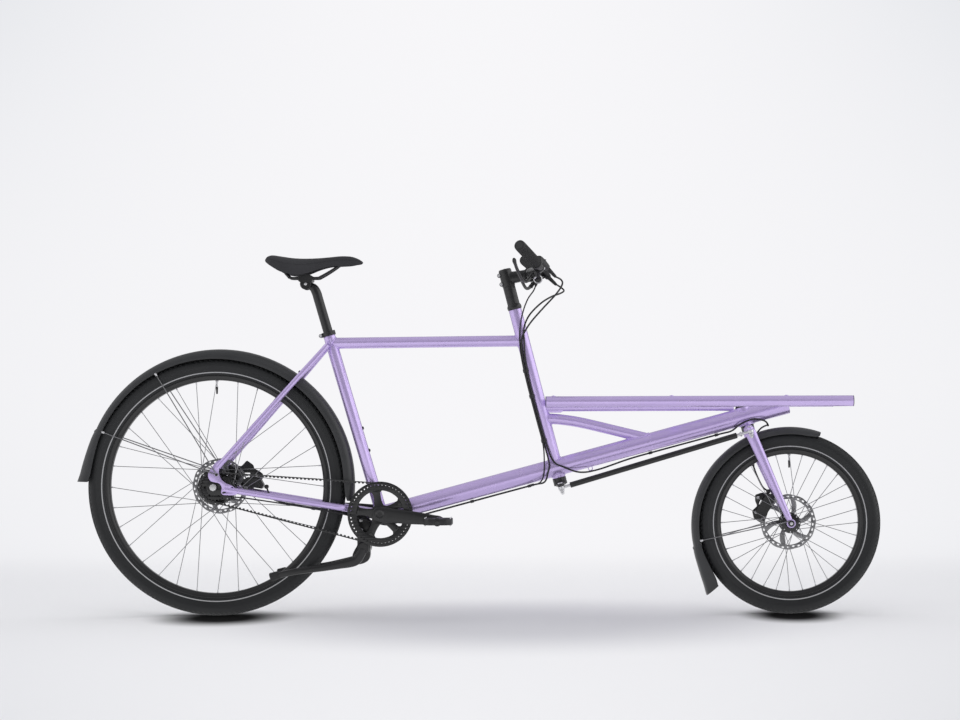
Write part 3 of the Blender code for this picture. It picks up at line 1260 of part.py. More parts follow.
def build_guard_stays():
    """Wire stays of both guards, each with eyelets at the dropouts."""
    centre = REAR_AXLE + Vector((0.008, 0.0, 0.007))
    eyelet = Vector((0.010, 0.0, 0.036))
    reach = REAR_HALF_WIDTH + DROPOUT_THICK + STAY_WIRE + 0.0008
    wires = [stay_wire(REAR_AXLE, centre, math.radians(angle), REAR_GUARD_RADIUS, eyelet, reach)
             for angle in (119.5, 155.5)]
    eyes = [rod(REAR_AXLE + eyelet + Y_AXIS * (side * (reach - STAY_WIRE - 0.0004)),
                REAR_AXLE + eyelet + Y_AXIS * (side * (reach + 0.0030)), 0.0050, 8) for _, side in SIDES]
    piece("rear_guard_stays", joined(wires[0], wires[1], *eyes), SILVER)
    reach = FRONT_HALF_WIDTH + 0.0095 + STAY_WIRE + 0.0008
    eyelet = Vector((-0.002, 0.0, 0.0075))
    wire = stay_wire(FRONT_AXLE, FRONT_AXLE, math.radians(191.0), FRONT_GUARD_RADIUS + 0.0085, eyelet, reach)
    piece("front_guard_stay", wire, SILVER, FORK_FOOT)


# Brakes, stand and seat

def build_calipers():
    """Calipers astride their rotors, the rear one between the left stays, the front one behind the blade."""
    place = REAR_ROTOR_PLACE
    x, z = REAR_AXLE.x, REAR_AXLE.z
    body = plate([[(x + 0.066, z + 0.001), (x + 0.122, z - 0.008), (x + 0.127, z + 0.004), (x + 0.118, z + 0.020),
                   (x + 0.080, z + 0.026), (x + 0.066, z + 0.016)]], place - 0.015, place + 0.014)
    slot = rod(REAR_AXLE + Y_AXIS * (place - 0.0018), REAR_AXLE + Y_AXIS * (place + 0.0018), 0.083, 36)
    piece("rear_caliper", cut(body, slot), BLACK_METAL)
    place = FRONT_ROTOR_PLACE
    x, z = FRONT_AXLE.x, FRONT_AXLE.z
    body = plate([[(x - 0.094, z + 0.030), (x - 0.080, z + 0.012), (x - 0.066, z + 0.016), (x - 0.040, z + 0.062),
                   (x - 0.044, z + 0.080), (x - 0.062, z + 0.082)]], place - 0.013, place + 0.015)
    wider = []
    for ring in blade_rings(1.0):
        middle = sum(ring, Vector()) / len(ring)
        wider.append([middle + (point - middle) * 1.12 for point in ring])
    blade = skin(wider)
    slot = rod(FRONT_AXLE + Y_AXIS * (place - 0.0018), FRONT_AXLE + Y_AXIS * (place + 0.0018), 0.083, 36)
    piece("front_caliper", cut(body, slot, blade), BLACK_METAL, FORK_FOOT)


def build_stand():
    """Double leg centre stand, folded back under the rear wheel's front, on a bracket behind the shell."""
    x, z = STAND_PIVOT.x, STAND_PIVOT.z
    web = plate([[(SHELL.x - 0.012, SHELL.z - 0.012), (SHELL.x - 0.074, SHELL.z + 0.006), (x - 0.024, z + 0.040),
                  (x - 0.018, z), (x + 0.018, z), (x + 0.020, z + 0.035), (SHELL.x - 0.022, SHELL.z - 0.030)]],
                -0.0115, 0.0115)
    lug = rod(STAND_PIVOT - Y_AXIS * 0.029, STAND_PIVOT + Y_AXIS * 0.029, 0.019, 14)
    bore = rod(STAND_PIVOT - Y_AXIS * 0.05, STAND_PIVOT + Y_AXIS * 0.05, STAND_SPINDLE + 0.0007, 14)
    piece("stand_bracket", cut(joined(web, lug), bore, clear_rod(SHELL_SEAT, -0.06, 0.06)), BLACK_METAL)
    back = Vector((-math.cos(STAND_DROOP), 0.0, -math.sin(STAND_DROOP)))
    parts = []
    for _, side in SIDES:
        places = ((0.0, 0.0, STAND_TRACK), (0.014, 0.016, STAND_TRACK), (0.036, 0.028, STAND_TRACK),
                  (0.085, 0.024, STAND_TRACK), (0.132, 0.018, STAND_TRACK + 0.003),
                  (0.200, 0.006, STAND_TRACK + 0.020), (STAND_LEG, 0.0, STAND_FOOT_TRACK))
        down = Vector((back.z, 0.0, -back.x))
        path = [STAND_PIVOT + back * along - down * sag + Y_AXIS * (side * out) for along, sag, out in places]
        sizes = [(0.0100, 0.0120), (0.0100, 0.0130), (0.0095, 0.0140), (0.0085, 0.0110), (0.0080, 0.0095),
                 (0.0080, 0.0090), (0.0085, 0.0090)]
        parts.append(swept(path, sizes, 8))
        foot = path[-1]
        parts.append(rod(foot - back * 0.016, foot + back * 0.010, 0.0115, 8, 0.0125))
        parts.append(rod(STAND_PIVOT + Y_AXIS * (side * 0.0305), STAND_PIVOT + Y_AXIS * (side * 0.0500), 0.0165, 12))
    spindle = rod(STAND_PIVOT - Y_AXIS * 0.048, STAND_PIVOT + Y_AXIS * 0.048, STAND_SPINDLE, 12)
    piece("kickstand", joined(spindle, *parts), BLACK_METAL, STAND_PIVOT)


POST_TOP = SEAT_TOP + SEAT_DIR * POST_RISE
TILT_AXIS = POST_TOP + Vector((-POST_SETBACK, 0.0, 0.0035))
RAIL_HEIGHT = TILT_AXIS.z + 0.0165


def build_post():
    """Seatpost with the cradle barrel at its head."""
    low = SEAT_TOP - SEAT_DIR * POST_INSERT
    post = rod(low, POST_TOP - SEAT_DIR * 0.008, POST_RADIUS, 16)
    neck = rod(POST_TOP - SEAT_DIR * 0.020, TILT_AXIS + Vector((0.005, 0.0, -0.003)), POST_RADIUS - 0.0004, 14, 0.0075)
    barrel = rod(TILT_AXIS - Y_AXIS * 0.017, TILT_AXIS + Y_AXIS * 0.017, CLAMP_BARREL, 16)
    piece("seatpost", joined(post, neck, barrel), BLACK_METAL, SEAT_TOP)


def rail_path():
    """One bent wire: from the rear socket down, along, round the nose and back to the other rear socket."""
    x, z = TILT_AXIS.x, RAIL_HEIGHT
    half = [Vector((x - 0.074, -0.033, z + 0.039)), Vector((x - 0.061, -0.030, z + 0.020)),
            Vector((x - 0.050, -0.025, z + 0.006)), Vector((x - 0.038, -RAIL_HALF_GAUGE, z)),
            Vector((x + 0.028, -RAIL_HALF_GAUGE, z)), Vector((x + 0.044, -0.0205, z + 0.004)),
            Vector((x + 0.078, -0.0150, z + 0.024)), Vector((x + 0.102, -0.0090, z + 0.041)),
            Vector((x + 0.110, -0.0030, z + 0.047))]
    return half + mirrored(reversed(half))


def build_saddle_parts():
    """Clamp on the post's head, saddle rails, and the saddle that sits on their ends."""
    centre = Vector((TILT_AXIS.x, 0.0, RAIL_HEIGHT - 0.0010))
    block = plate([[(-0.020, -0.0075), (-0.014, -0.0115), (0.014, -0.0115), (0.020, -0.0075), (0.020, 0.0060),
                    (0.014, 0.0100), (-0.014, 0.0100), (-0.020, 0.0060)]], -0.028, 0.028)
    bmesh.ops.translate(block, vec=centre, verts=block.verts)
    barrel = rod(TILT_AXIS - Y_AXIS * 0.0175, TILT_AXIS + Y_AXIS * 0.0175, around(CLAMP_BARREL + GAP, 20), 20)
    grooves = [rod(Vector((centre.x - 0.04, side * RAIL_HALF_GAUGE, RAIL_HEIGHT)),
                   Vector((centre.x + 0.04, side * RAIL_HALF_GAUGE, RAIL_HEIGHT)), around(RAIL_WIRE + GAP, 10), 10)
               for _, side in SIDES]
    piece("saddle_clamp", cut(block, barrel, *grooves), BLACK_METAL, TILT_AXIS)
    piece("saddle_rails", swept(rail_path(), RAIL_WIRE, 8, Z_AXIS), SILVER, TILT_AXIS)
    sockets = rail_path()
    sockets[0] += (sockets[0] - sockets[1]).normalized() * 0.001
    sockets[-1] += (sockets[-1] - sockets[-2]).normalized() * 0.001
    wide_rail = swept(sockets, around(RAIL_WIRE + GAP, 8), 8, Z_AXIS)
    piece("saddle", cut(saddle_form(), wide_rail), LEATHERETTE, TILT_AXIS)


SADDLE_SECTIONS = ((0.000, 0.053, 0.047, 0.62), (0.006, 0.0615, 0.041, 0.80), (0.020, 0.0650, 0.031, 0.95),
                   (0.046, 0.0615, 0.016, 1.00), (0.074, 0.0575, 0.0095, 0.92), (0.099, 0.0560, 0.0085, 0.72),
                   (0.124, 0.0562, 0.0150, 0.53), (0.150, 0.0574, 0.0245, 0.40), (0.180, 0.0600, 0.0320, 0.32),
                   (0.212, 0.0630, 0.0340, 0.275), (0.240, 0.0620, 0.0355, 0.245), (0.258, 0.0565, 0.0385, 0.20),
                   (0.269, 0.0505, 0.0400, 0.135), (0.274, 0.0465, 0.0430, 0.06))


def saddle_form():
    """Padded saddle through sections of (place from the tail, crest, lower edge, share of the half width)."""
    rear = TILT_AXIS.x - 0.112
    rings = []
    for along, crest, edge, share in SADDLE_SECTIONS:
        x = rear + along * SADDLE_LENGTH / SADDLE_SECTIONS[-1][0]
        half = SADDLE_HALF_WIDTH * share
        top = RAIL_HEIGHT + crest
        low = RAIL_HEIGHT + edge
        rise = top - low
        groove = 0.0026 * math.sin(math.pi * along / SADDLE_LENGTH) ** 2
        outer = [(-0.97, 0.0), (-1.0, 0.40), (-0.88, 0.78), (-0.58, 0.955), (-0.24, 1.0), (0.0, None),
                 (0.24, 1.0), (0.58, 0.955), (0.88, 0.78), (1.0, 0.40), (0.97, 0.0)]
        ring = [Vector((x, half * y, top - groove if up is None else low + rise * up)) for y, up in outer]
        arch = top - min(0.62 * rise, 0.022)
        if rise < 0.012:
            arch = low + 0.25 * rise
        ring += [Vector((x, half * 0.86, low + 0.08 * rise)), Vector((x, half * 0.52, arch)),
                 Vector((x, -half * 0.52, arch)), Vector((x, -half * 0.86, low + 0.08 * rise))]
        rings.append(ring)
    return skin(rings)


# Hoses and cable

def beside_column(height, turn, away):
    """Point beside the steering tube at a height; turn is counted in degrees from the front to the right."""
    angle = math.radians(turn)
    axis = on_line(COLUMN_FOOT, STEER_DIR, height)
    return axis + STEER_SIDE * (away * math.cos(angle)) - Y_AXIS * (away * math.sin(angle))


def under_main(x, out, below):
    """Point under the main tube at x, out to the right, and below the tube's lowest line."""
    along = MAIN_ORIGIN + MAIN_DIR * ((x - MAIN_ORIGIN.x) / MAIN_DIR.x)
    return along + Vector((MAIN_DIR.z, 0.0, -MAIN_DIR.x)) * (MAIN_OUTER + below) - Y_AXIS * out


def under_stay(side, along, below):
    """Point under a chain stay at a share of its length."""
    path = chain_stay_path(side)
    length = (REAR_AXLE - SHELL).length * along
    total = 0.0
    for start, end in zip(path, path[1:]):
        step = (end - start).length
        if total + step >= length:
            return start.lerp(end, (length - total) / step) - Z_AXIS * below
        total += step
    return path[-1] - Z_AXIS * below


def build_hoses():
    """Brake hoses and shift cable, whole, from the controls to the calipers and the rear hub."""
    away = STEER_OUTER + HOSE_RADIUS + 0.0008
    side_out = MAIN_OUTER + HOSE_RADIUS + 0.0012
    right = control_places(-1.0)["tip"]
    left = control_places(1.0)["tip"]
    foot = STEER_CROSS
    run = [right + Vector((0.0024, 0.0016, -0.0022)), right + Vector((0.018, 0.014, -0.013)),
           right + Vector((0.012, 0.024, -0.042)), Vector((COLUMN_FOOT.x - 0.043, -0.050, 0.878)),
           beside_column(0.825, 58.0, 0.034), beside_column(0.785, 98.0, away + 0.0010),
           beside_column(0.735, 126.0, away), beside_column(0.660, 142.0, away), beside_column(0.560, 142.0, away),
           beside_column(0.490, 136.0, away + 0.001), foot + Vector((-0.020, -side_out, 0.012)),
           foot + Vector((-0.024, -side_out, -0.016)), under_main(0.928, 0.022, 0.006),
           under_main(0.897, 0.008, 0.006), under_main(0.800, 0.000, 0.006), under_main(0.680, 0.000, 0.006),
           under_main(0.560, 0.000, 0.006), SHELL + Vector((0.030, 0.018, -0.030)),
           SHELL + Vector((-0.006, 0.026, -0.029))]
    run += [under_stay(1.0, along, below) for along, below in ((0.22, 0.019), (0.32, 0.018), (0.46, 0.018), (0.60, 0.018))]
    run += [REAR_AXLE + Vector((0.150, 0.0500, -0.036)), REAR_AXLE + Vector((0.140, 0.0460, -0.018)),
            REAR_AXLE + Vector((0.1345, 0.0465, -0.002))]
    piece("rear_brake_hose", swept(thinned(curve_points(run, 4), 0.0014), HOSE_RADIUS, 5), RUBBER)
    run = [left + Vector((0.0024, -0.0016, -0.0022)), left + Vector((0.017, -0.014, -0.012)),
           left + Vector((0.019, -0.040, -0.030)), left + Vector((-0.010, -0.078, -0.058)),
           Vector((COLUMN_FOOT.x - 0.062, -0.022, 0.868)), beside_column(0.830, 42.0, 0.026),
           beside_column(0.785, 80.0, away + 0.0010), beside_column(0.735, 108.0, away),
           beside_column(0.660, 124.0, away), beside_column(0.560, 124.0, away),
           beside_column(0.490, 118.0, away + 0.001), foot + Vector((-0.008, -side_out, 0.018)),
           foot + Vector((0.020, -side_out, 0.002)), under_main(1.029, 0.022, 0.005),
           under_main(1.080, 0.002, 0.012), under_main(1.170, 0.0, 0.006), under_main(1.250, 0.0, 0.005),
           under_main(1.420, 0.002, 0.005), under_main(1.462, 0.012, 0.005),
           HEAD_CROSS + Vector((-0.014, -side_out, -0.022)), HEAD_CROSS + Vector((0.022, -side_out, -0.008)),
           HEAD_CROSS + Vector((0.054, -side_out, -0.013)), HEAD_CROSS + Vector((0.066, -0.012, -0.026)),
           HEAD_CROSS + Vector((0.062, 0.020, -0.027)), HEAD_CROSS + Vector((0.046, 0.054, -0.040)),
           CROWN + Vector((0.014, 0.0625, -0.040)), CROWN + Vector((0.018, 0.0600, -0.100)),
           CROWN + Vector((0.042, 0.0560, -0.160)), FRONT_AXLE + Vector((-0.056, 0.0480, 0.0875))]
    piece("front_brake_hose", swept(thinned(curve_points(run, 4), 0.0014), HOSE_RADIUS, 5), RUBBER)
    pod = shift_pivot()
    away -= HOSE_RADIUS - CABLE_RADIUS
    run = [pod + Vector((-0.003, -0.004, -0.0137)), pod + Vector((-0.004, -0.004, -0.030)),
           Vector((BAR_CENTRE.x - 0.004, -0.092, 0.905)), Vector((BAR_CENTRE.x - 0.016, -0.060, 0.877)), beside_column(0.835, 74.0, 0.030),
           beside_column(0.785, 114.5, away + 0.0010), beside_column(0.735, 143.0, away),
           beside_column(0.660, 159.0, away), beside_column(0.560, 159.0, away), beside_column(0.490, 154.0, away + 0.001),
           foot + Vector((-0.034, -side_out, 0.010)), foot + Vector((-0.036, -side_out + 0.001, -0.022)),
           under_main(0.915, 0.026, 0.004), under_main(0.885, 0.015, 0.005), under_main(0.800, 0.008, 0.005),
           under_main(0.680, 0.008, 0.005), under_main(0.560, 0.008, 0.005), SHELL + Vector((0.030, -0.018, -0.029)),
           SHELL + Vector((-0.006, -0.026, -0.028))]
    run += [under_stay(-1.0, along, below) for along, below in ((0.22, 0.017), (0.32, 0.016), (0.46, 0.015),
                                                              (0.62, 0.015), (0.80, 0.016))]
    run += [REAR_AXLE + Vector((0.048, -0.0595, -0.027)), REAR_AXLE + Vector((0.020, -0.0595, -0.0215))]
    piece("shift_cable", swept(thinned(curve_points(run, 4), 0.0014), CABLE_RADIUS, 5), RUBBER)


def main():
    """Clear the scene and model every piece."""
    for item in list(bpy.data.objects):
        bpy.data.objects.remove(item, do_unlink=True)
    root = bpy.data.objects.new("bicycle", None)
    bpy.context.scene.collection.objects.link(root)
    build_bottom_bracket()
    build_straight_tubes()
    build_main_tube()
    build_head_tube()
    build_brace()
    build_stays()
    build_rack()
    build_seat_collar()
    build_tyre("rear_tyre", REAR_AXLE, REAR_RADIUS, REAR_RIM_OUTER, REAR_STEPS)
    build_tyre("front_tyre", FRONT_AXLE, FRONT_RADIUS, FRONT_RIM_OUTER, FRONT_STEPS)
    build_rim("rear_rim", REAR_AXLE, REAR_RIM_OUTER, REAR_STEPS)
    build_rim("front_rim", FRONT_AXLE, FRONT_RIM_OUTER, FRONT_STEPS)
    build_rear_hub()
    build_front_hub()
    build_rotor("rear_rotor", REAR_AXLE, REAR_ROTOR_PLACE)
    build_rotor("front_rotor", FRONT_AXLE, FRONT_ROTOR_PLACE)
    build_rear_axle()
    build_belt()
    build_belt_wheels()
    build_crankset()
    build_pedals()
    build_steering_shaft()
    build_tie_rod()
    build_stem()
    build_bar()
    build_grips()
    build_controls()
    build_shift_lever()
    build_fork()
    build_rear_guard()
    build_front_guard()
    build_guard_stays()
    build_calipers()
    build_stand()
    build_post()
    build_saddle_parts()
    build_hoses()
    reaches = [item.location.x + vert.co.x for item in root.children for vert in item.data.vertices]
    root.location.x = -(min(reaches) + max(reaches)) / 2.0


main()
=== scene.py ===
"""Looks of a front loading cargo bicycle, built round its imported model.

Lengths are in metres, and those in a call of mm are in millimetres. +X points forward, +Z up, and -Y to the
rider's right, where the belt drive is. The origin lies on the ground under the middle of the bicycle.
"""

import functools
import json
import logging
import math
from dataclasses import dataclass, field
from enum import Enum
from typing import Any, Callable, ClassVar, Iterable, Optional, Sequence

import bmesh
import bpy
from mathutils import Matrix, Vector

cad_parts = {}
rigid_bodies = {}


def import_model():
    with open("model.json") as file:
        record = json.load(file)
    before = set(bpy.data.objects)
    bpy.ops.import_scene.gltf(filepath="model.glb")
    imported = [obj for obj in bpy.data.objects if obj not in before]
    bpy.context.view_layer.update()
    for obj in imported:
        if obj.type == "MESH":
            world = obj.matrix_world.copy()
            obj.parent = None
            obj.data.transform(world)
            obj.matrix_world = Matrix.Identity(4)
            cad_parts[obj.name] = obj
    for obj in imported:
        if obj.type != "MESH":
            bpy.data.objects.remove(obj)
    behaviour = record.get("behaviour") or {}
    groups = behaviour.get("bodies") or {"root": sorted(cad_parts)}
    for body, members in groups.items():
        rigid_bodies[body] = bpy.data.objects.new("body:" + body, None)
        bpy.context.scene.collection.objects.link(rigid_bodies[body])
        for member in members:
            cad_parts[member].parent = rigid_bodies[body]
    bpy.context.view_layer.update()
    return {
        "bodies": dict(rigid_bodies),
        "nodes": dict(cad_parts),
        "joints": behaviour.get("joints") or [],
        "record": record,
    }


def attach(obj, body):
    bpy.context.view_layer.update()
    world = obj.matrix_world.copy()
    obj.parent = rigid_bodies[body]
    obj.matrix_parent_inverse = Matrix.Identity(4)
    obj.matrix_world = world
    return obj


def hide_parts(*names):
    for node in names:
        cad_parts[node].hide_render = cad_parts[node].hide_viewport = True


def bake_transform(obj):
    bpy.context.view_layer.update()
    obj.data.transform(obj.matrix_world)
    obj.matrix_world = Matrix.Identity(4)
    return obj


LOG = logging.getLogger("cargo_bike")
X_AXIS = Vector((1.0, 0.0, 0.0))
Y_AXIS = Vector((0.0, 1.0, 0.0))
Z_AXIS = Vector((0.0, 0.0, 1.0))
MERGE = 1e-7
SPECK = 1e-13
Colour = tuple[float, float, float]
Outline = Sequence[tuple[float, float]]
Mesh = bmesh.types.BMesh
Item = bpy.types.Object
Tree = bpy.types.NodeTree
Socket = bpy.types.NodeSocket


def mm(*points: tuple[float, ...]) -> list[tuple[float, ...]]:
    """Give points that are written in millimetres, in metres."""
    return [tuple(value / 1000.0 for value in point) for point in points]


def fixed(x: float, y: float, z: float) -> Any:
    """Dataclass field that holds a point or a direction."""
    return field(default_factory=lambda: Vector((x, y, z)))


# Places of the bicycle

@dataclass(frozen=True)
class Layout:
    """Main points and directions of the bicycle, from its driving sizes."""

    shift: float = -0.7491
    wheelbase: float = 1.636
    rear_radius: float = 0.368
    front_radius: float = 0.26
    steer_angle: float = math.radians(75.5)
    head_length: float = 0.053
    eye_offset: float = 0.068
    shell: Vector = fixed(-0.27924, 0.0, 0.2898)
    seat_dir: Vector = fixed(-0.279829, 0.0, 0.96005)
    seat_top: Vector = fixed(-0.43091, 0.0, 0.81015)
    column_foot: Vector = fixed(0.2316, 0.0, 0.3788)
    crown: Vector = fixed(0.77036, 0.0, 0.52533)
    head_bottom: Vector = fixed(0.76672, 0.0, 0.53937)
    fork_eye: Vector = fixed(0.77123, -0.068, 0.52194)
    shaft_top: Vector = fixed(0.07511, 0.0, 0.98389)
    bar_centre: Vector = fixed(0.15115, 0.0, 0.97238)
    tilt_axis: Vector = fixed(-0.49252, 0.0, 0.94613)
    stand_pivot: Vector = fixed(-0.3281, 0.0, 0.193)

    @property
    def rear_axle(self) -> Vector:
        """Centre of the rear wheel."""
        return Vector((self.shift, 0.0, self.rear_radius))

    @property
    def front_axle(self) -> Vector:
        """Centre of the front wheel."""
        return Vector((self.shift + self.wheelbase, 0.0, self.front_radius))

    @property
    def steer_dir(self) -> Vector:
        """Direction of both steering axes, pointing up."""
        return Vector((-math.cos(self.steer_angle), 0.0, math.sin(self.steer_angle)))


PLACES = Layout()


class Side(Enum):
    """Side of the bicycle, as the sign of Y."""

    RIGHT = -1.0
    LEFT = 1.0

    @property
    def label(self) -> str:
        """The side's name in lower case."""
        return self.name.lower()

    @property
    def out(self) -> Vector:
        """Unit direction from the middle to this side."""
        return Y_AXIS * self.value


class Grain(Enum):
    """Fine surface that a finish has."""

    FLAKE = "flake"
    BRUSHED = "brushed"
    MOULDED = "moulded"
    LEATHER = "leather"
    RUBBER = "rubber"


# Nodes

def add_node(tree: Tree, kind: str, settings: Optional[dict] = None, **inputs: object) -> bpy.types.Node:
    """Add a node to a tree and fill its inputs.

    Args:
        tree: Shader or geometry tree.
        kind: Blender's name of the node type.
        settings: Properties to set on the node.
        inputs: Values, sockets or nodes, which stand for their first output, by input name with underscores
            for spaces; i0, i1 and so on count inputs.

    Returns:
        The new node.
    """
    node = tree.nodes.new(kind)
    for key, value in (settings or {}).items():
        setattr(node, key, value)
    for key, value in inputs.items():
        counted = key[0] == "i" and key[1:].isdigit()
        socket = node.inputs[int(key[1:]) if counted else key.replace("_", " ")]
        if isinstance(value, bpy.types.Node):
            value = value.outputs[0]
        if isinstance(value, Socket):
            tree.links.new(value, socket)
        else:
            socket.default_value = value
    return node


def maths(tree: Tree, operation: str, *values: object, kind: str = "Math",
          clamp: bool = False) -> bpy.types.Node:
    """Add a calculation to a tree.

    Args:
        tree: Shader or geometry tree.
        operation: Blender's name of the operation.
        values: Values, sockets or nodes that it works on.
        kind: Math or VectorMath.
        clamp: Whether the result is kept between zero and one.

    Returns:
        The new node.
    """
    settings = {"operation": operation, **({"use_clamp": True} if clamp else {})}
    return add_node(tree, "ShaderNode" + kind, settings,
                    **{"i%d" % i: value for i, value in enumerate(values)})


def blended(tree: Tree, share: object, first: object, second: object) -> Socket:
    """Mix two colours, or sockets of them, by a share."""
    first, second = [(*colour, 1.0) if isinstance(colour, tuple) else colour for colour in (first, second)]
    return add_node(tree, "ShaderNodeMix", {"data_type": "RGBA"}, i0=share, i6=first, i7=second).outputs[2]


def ranged(tree: Tree, value: object, low: float, high: float, soft: bool = True) -> Socket:
    """Bring a value from a range to zero to one, softly or straight."""
    settings = {"interpolation_type": "SMOOTHSTEP" if soft else "LINEAR"}
    return add_node(tree, "ShaderNodeMapRange", settings, Value=value, From_Min=low,
                    From_Max=high).outputs[0]


class NodeGroup:
    """A shader group or geometry tree under construction, with named inputs and outputs."""

    def __init__(self, name: str, kind: str, inputs: dict[str, object], *outputs: str) -> None:
        """Start an empty group.

        Args:
            name: Name of the group.
            kind: Shader or Geometry.
            inputs: A number at first, or else a socket type, by name.
            outputs: Names of the outputs.
        """
        self.tree = bpy.data.node_groups.new(name, kind + "NodeTree")
        for label, value in inputs.items():
            text = isinstance(value, str)
            sort = value if text else "Int" if isinstance(value, int) else "Float"
            socket = self.tree.interface.new_socket(name=label, in_out="INPUT",
                                                    socket_type="NodeSocket" + sort)
            if not text:
                socket.default_value = value
        for label in outputs:
            sort = "Geometry" if kind == "Geometry" else "Float"
            self.tree.interface.new_socket(name=label, in_out="OUTPUT", socket_type="NodeSocket" + sort)
        self.given = self.tree.nodes.new("NodeGroupInput").outputs
        self.end = self.tree.nodes.new("NodeGroupOutput")

    def add(self, kind: str, settings: Optional[dict] = None, **inputs: object) -> bpy.types.Node:
        """Add a node to the group, as add_node does."""
        return add_node(self.tree, kind, settings, **inputs)

    def maths(self, operation: str, *values: object) -> bpy.types.Node:
        """Add a calculation to the group, as maths does."""
        return maths(self.tree, operation, *values)

    def close(self, **results: object) -> Tree:
        """Link results, by output name, to the group's outputs and give the group."""
        for name, value in results.items():
            self.tree.links.new(value.outputs[0] if isinstance(value, bpy.types.Node) else value,
                                self.end.inputs[name])
        return self.tree


# Shader groups and finishes

@functools.cache
def marks_group() -> Tree:
    """Build the group of soft handling marks: a slow mask and a roughness that follows it.

    Returns:
        The node group, with outputs Mask and Roughness.
    """
    group = NodeGroup("handling_marks", "Shader", {"Vector": "Vector", "Scale": 6.0, "Low": 0.3,
                                                   "High": 0.45}, "Mask", "Roughness")
    slow = group.add("ShaderNodeTexNoise", Vector=group.given["Vector"], Scale=group.given["Scale"],
                     Detail=4.0, Roughness=0.6)
    mask = ranged(group.tree, slow, 0.32, 0.68, soft=False)
    rough = group.add("ShaderNodeMapRange", Value=mask, To_Min=group.given["Low"],
                      To_Max=group.given["High"])
    return group.close(Mask=mask, Roughness=rough)


@functools.cache
def grain_group(grain: Grain) -> Tree:
    """Build the group of one fine surface, as a height and a fine mask.

    Args:
        grain: Kind of surface.

    Returns:
        The node group, with outputs Height and Mask.
    """
    group = NodeGroup("grain_" + grain.value, "Shader", {"Vector": "Vector", "Scale": 800.0}, "Height",
                      "Mask")
    where = {"Vector": group.given["Vector"], "Scale": group.given["Scale"]}
    if grain is Grain.FLAKE:
        cells = group.add("ShaderNodeTexVoronoi", {"feature": "F1"}, **where)
        return group.close(Height=cells, Mask=cells.outputs["Color"])
    if grain is Grain.BRUSHED:
        where["Vector"] = group.add("ShaderNodeMapping", Vector=where["Vector"], Scale=(1.0, 0.04, 1.0))
        noise = group.add("ShaderNodeTexNoise", Detail=3.0, **where)
        return group.close(Height=noise, Mask=noise)
    if grain is Grain.LEATHER:
        cells = group.add("ShaderNodeTexVoronoi", {"feature": "DISTANCE_TO_EDGE"}, **where)
        noise = group.add("ShaderNodeTexNoise", Detail=2.0, **where)
        fold = ranged(group.tree, cells, 0.0, 0.12, soft=False)
        return group.close(Height=group.maths("MULTIPLY_ADD", noise, 0.35, fold), Mask=noise)
    noise = group.add("ShaderNodeTexNoise", Detail=3.0, Roughness=0.7, **where)
    cells = group.add("ShaderNodeTexVoronoi", **where)
    return group.close(Height=group.maths("ADD", noise, cells), Mask=noise)


@dataclass(frozen=True)
class Finish:
    """A finish: its two close colours, its roughness range and its fine surface."""

    name: str
    slot: str
    colour: Colour
    shade: Colour
    roughness: tuple[float, float]
    grain: Grain
    metallic: float = 0.0
    coat: float = 0.0
    grain_scale: float = 900.0
    grain_depth: float = 0.00004
    grain_share: float = 0.25
    marks_scale: ClassVar[float] = 7.0
    coat_roughness: ClassVar[float] = 0.12

    def material(self) -> bpy.types.Material:
        """Make the material, or give the one already made.

        Returns:
            The finish's material.
        """
        known = bpy.data.materials.get(self.name)
        if known is not None:
            return known
        material = bpy.data.materials.new(self.name)
        material.use_nodes = True
        tree = material.node_tree
        shader = tree.nodes["Principled BSDF"]
        place = add_node(tree, "ShaderNodeTexCoord").outputs["Object"]
        marks = add_node(tree, "ShaderNodeGroup", {"node_tree": marks_group()}, Vector=place,
                         Scale=self.marks_scale, Low=self.roughness[0], High=self.roughness[1])
        fine = add_node(tree, "ShaderNodeGroup", {"node_tree": grain_group(self.grain)}, Vector=place,
                        Scale=self.grain_scale)
        slow = maths(tree, "MULTIPLY", marks, 1.0 - self.grain_share)
        share = maths(tree, "MULTIPLY_ADD", fine.outputs["Mask"], self.grain_share, slow, clamp=True)
        bump = add_node(tree, "ShaderNodeBump", Height=fine, Distance=self.grain_depth, Strength=0.6)
        colour = self.tinted(tree, place, blended(tree, share, self.colour, self.shade))
        tree.links.new(colour, shader.inputs["Base Color"])
        tree.links.new(marks.outputs["Roughness"], shader.inputs["Roughness"])
        tree.links.new(bump.outputs[0], shader.inputs["Normal"])
        for name, value in (("Metallic", self.metallic), ("Coat Weight", self.coat),
                            ("Coat Roughness", self.coat_roughness)):
            shader.inputs[name].default_value = value
        material.diffuse_color = (*self.colour, 1.0)
        return material

    def tinted(self, tree: Tree, place: Socket, colour: Socket) -> Socket:
        """Give the colour that reaches the shader; finishes with a band change it here."""
        return colour


@dataclass(frozen=True)
class TyreFinish(Finish):
    """Tyre rubber with a thin pale reflecting band on the walls."""

    centre: Colour = (0.0, 0.0, 0.0)
    band: float = 0.327
    band_colour: ClassVar[Colour] = (0.42, 0.42, 0.43)

    def tinted(self, tree: Tree, place: Socket, colour: Socket) -> Socket:
        """Mix in the pale band at one distance from the axle.

        Args:
            tree: The material's tree.
            place: Object coordinates.
            colour: The rubber's colour.

        Returns:
            The socket for the base colour.
        """
        flat = maths(tree, "MULTIPLY_ADD", place, (1.0, 0.0, 1.0), (-self.centre[0], 0.0, -self.centre[2]),
                     kind="VectorMath")
        reach = maths(tree, "LENGTH", flat, kind="VectorMath").outputs["Value"]
        off = maths(tree, "ABSOLUTE", maths(tree, "SUBTRACT", reach, self.band))
        return blended(tree, ranged(tree, off, 0.0016, 0.0011, soft=False), colour, self.band_colour)


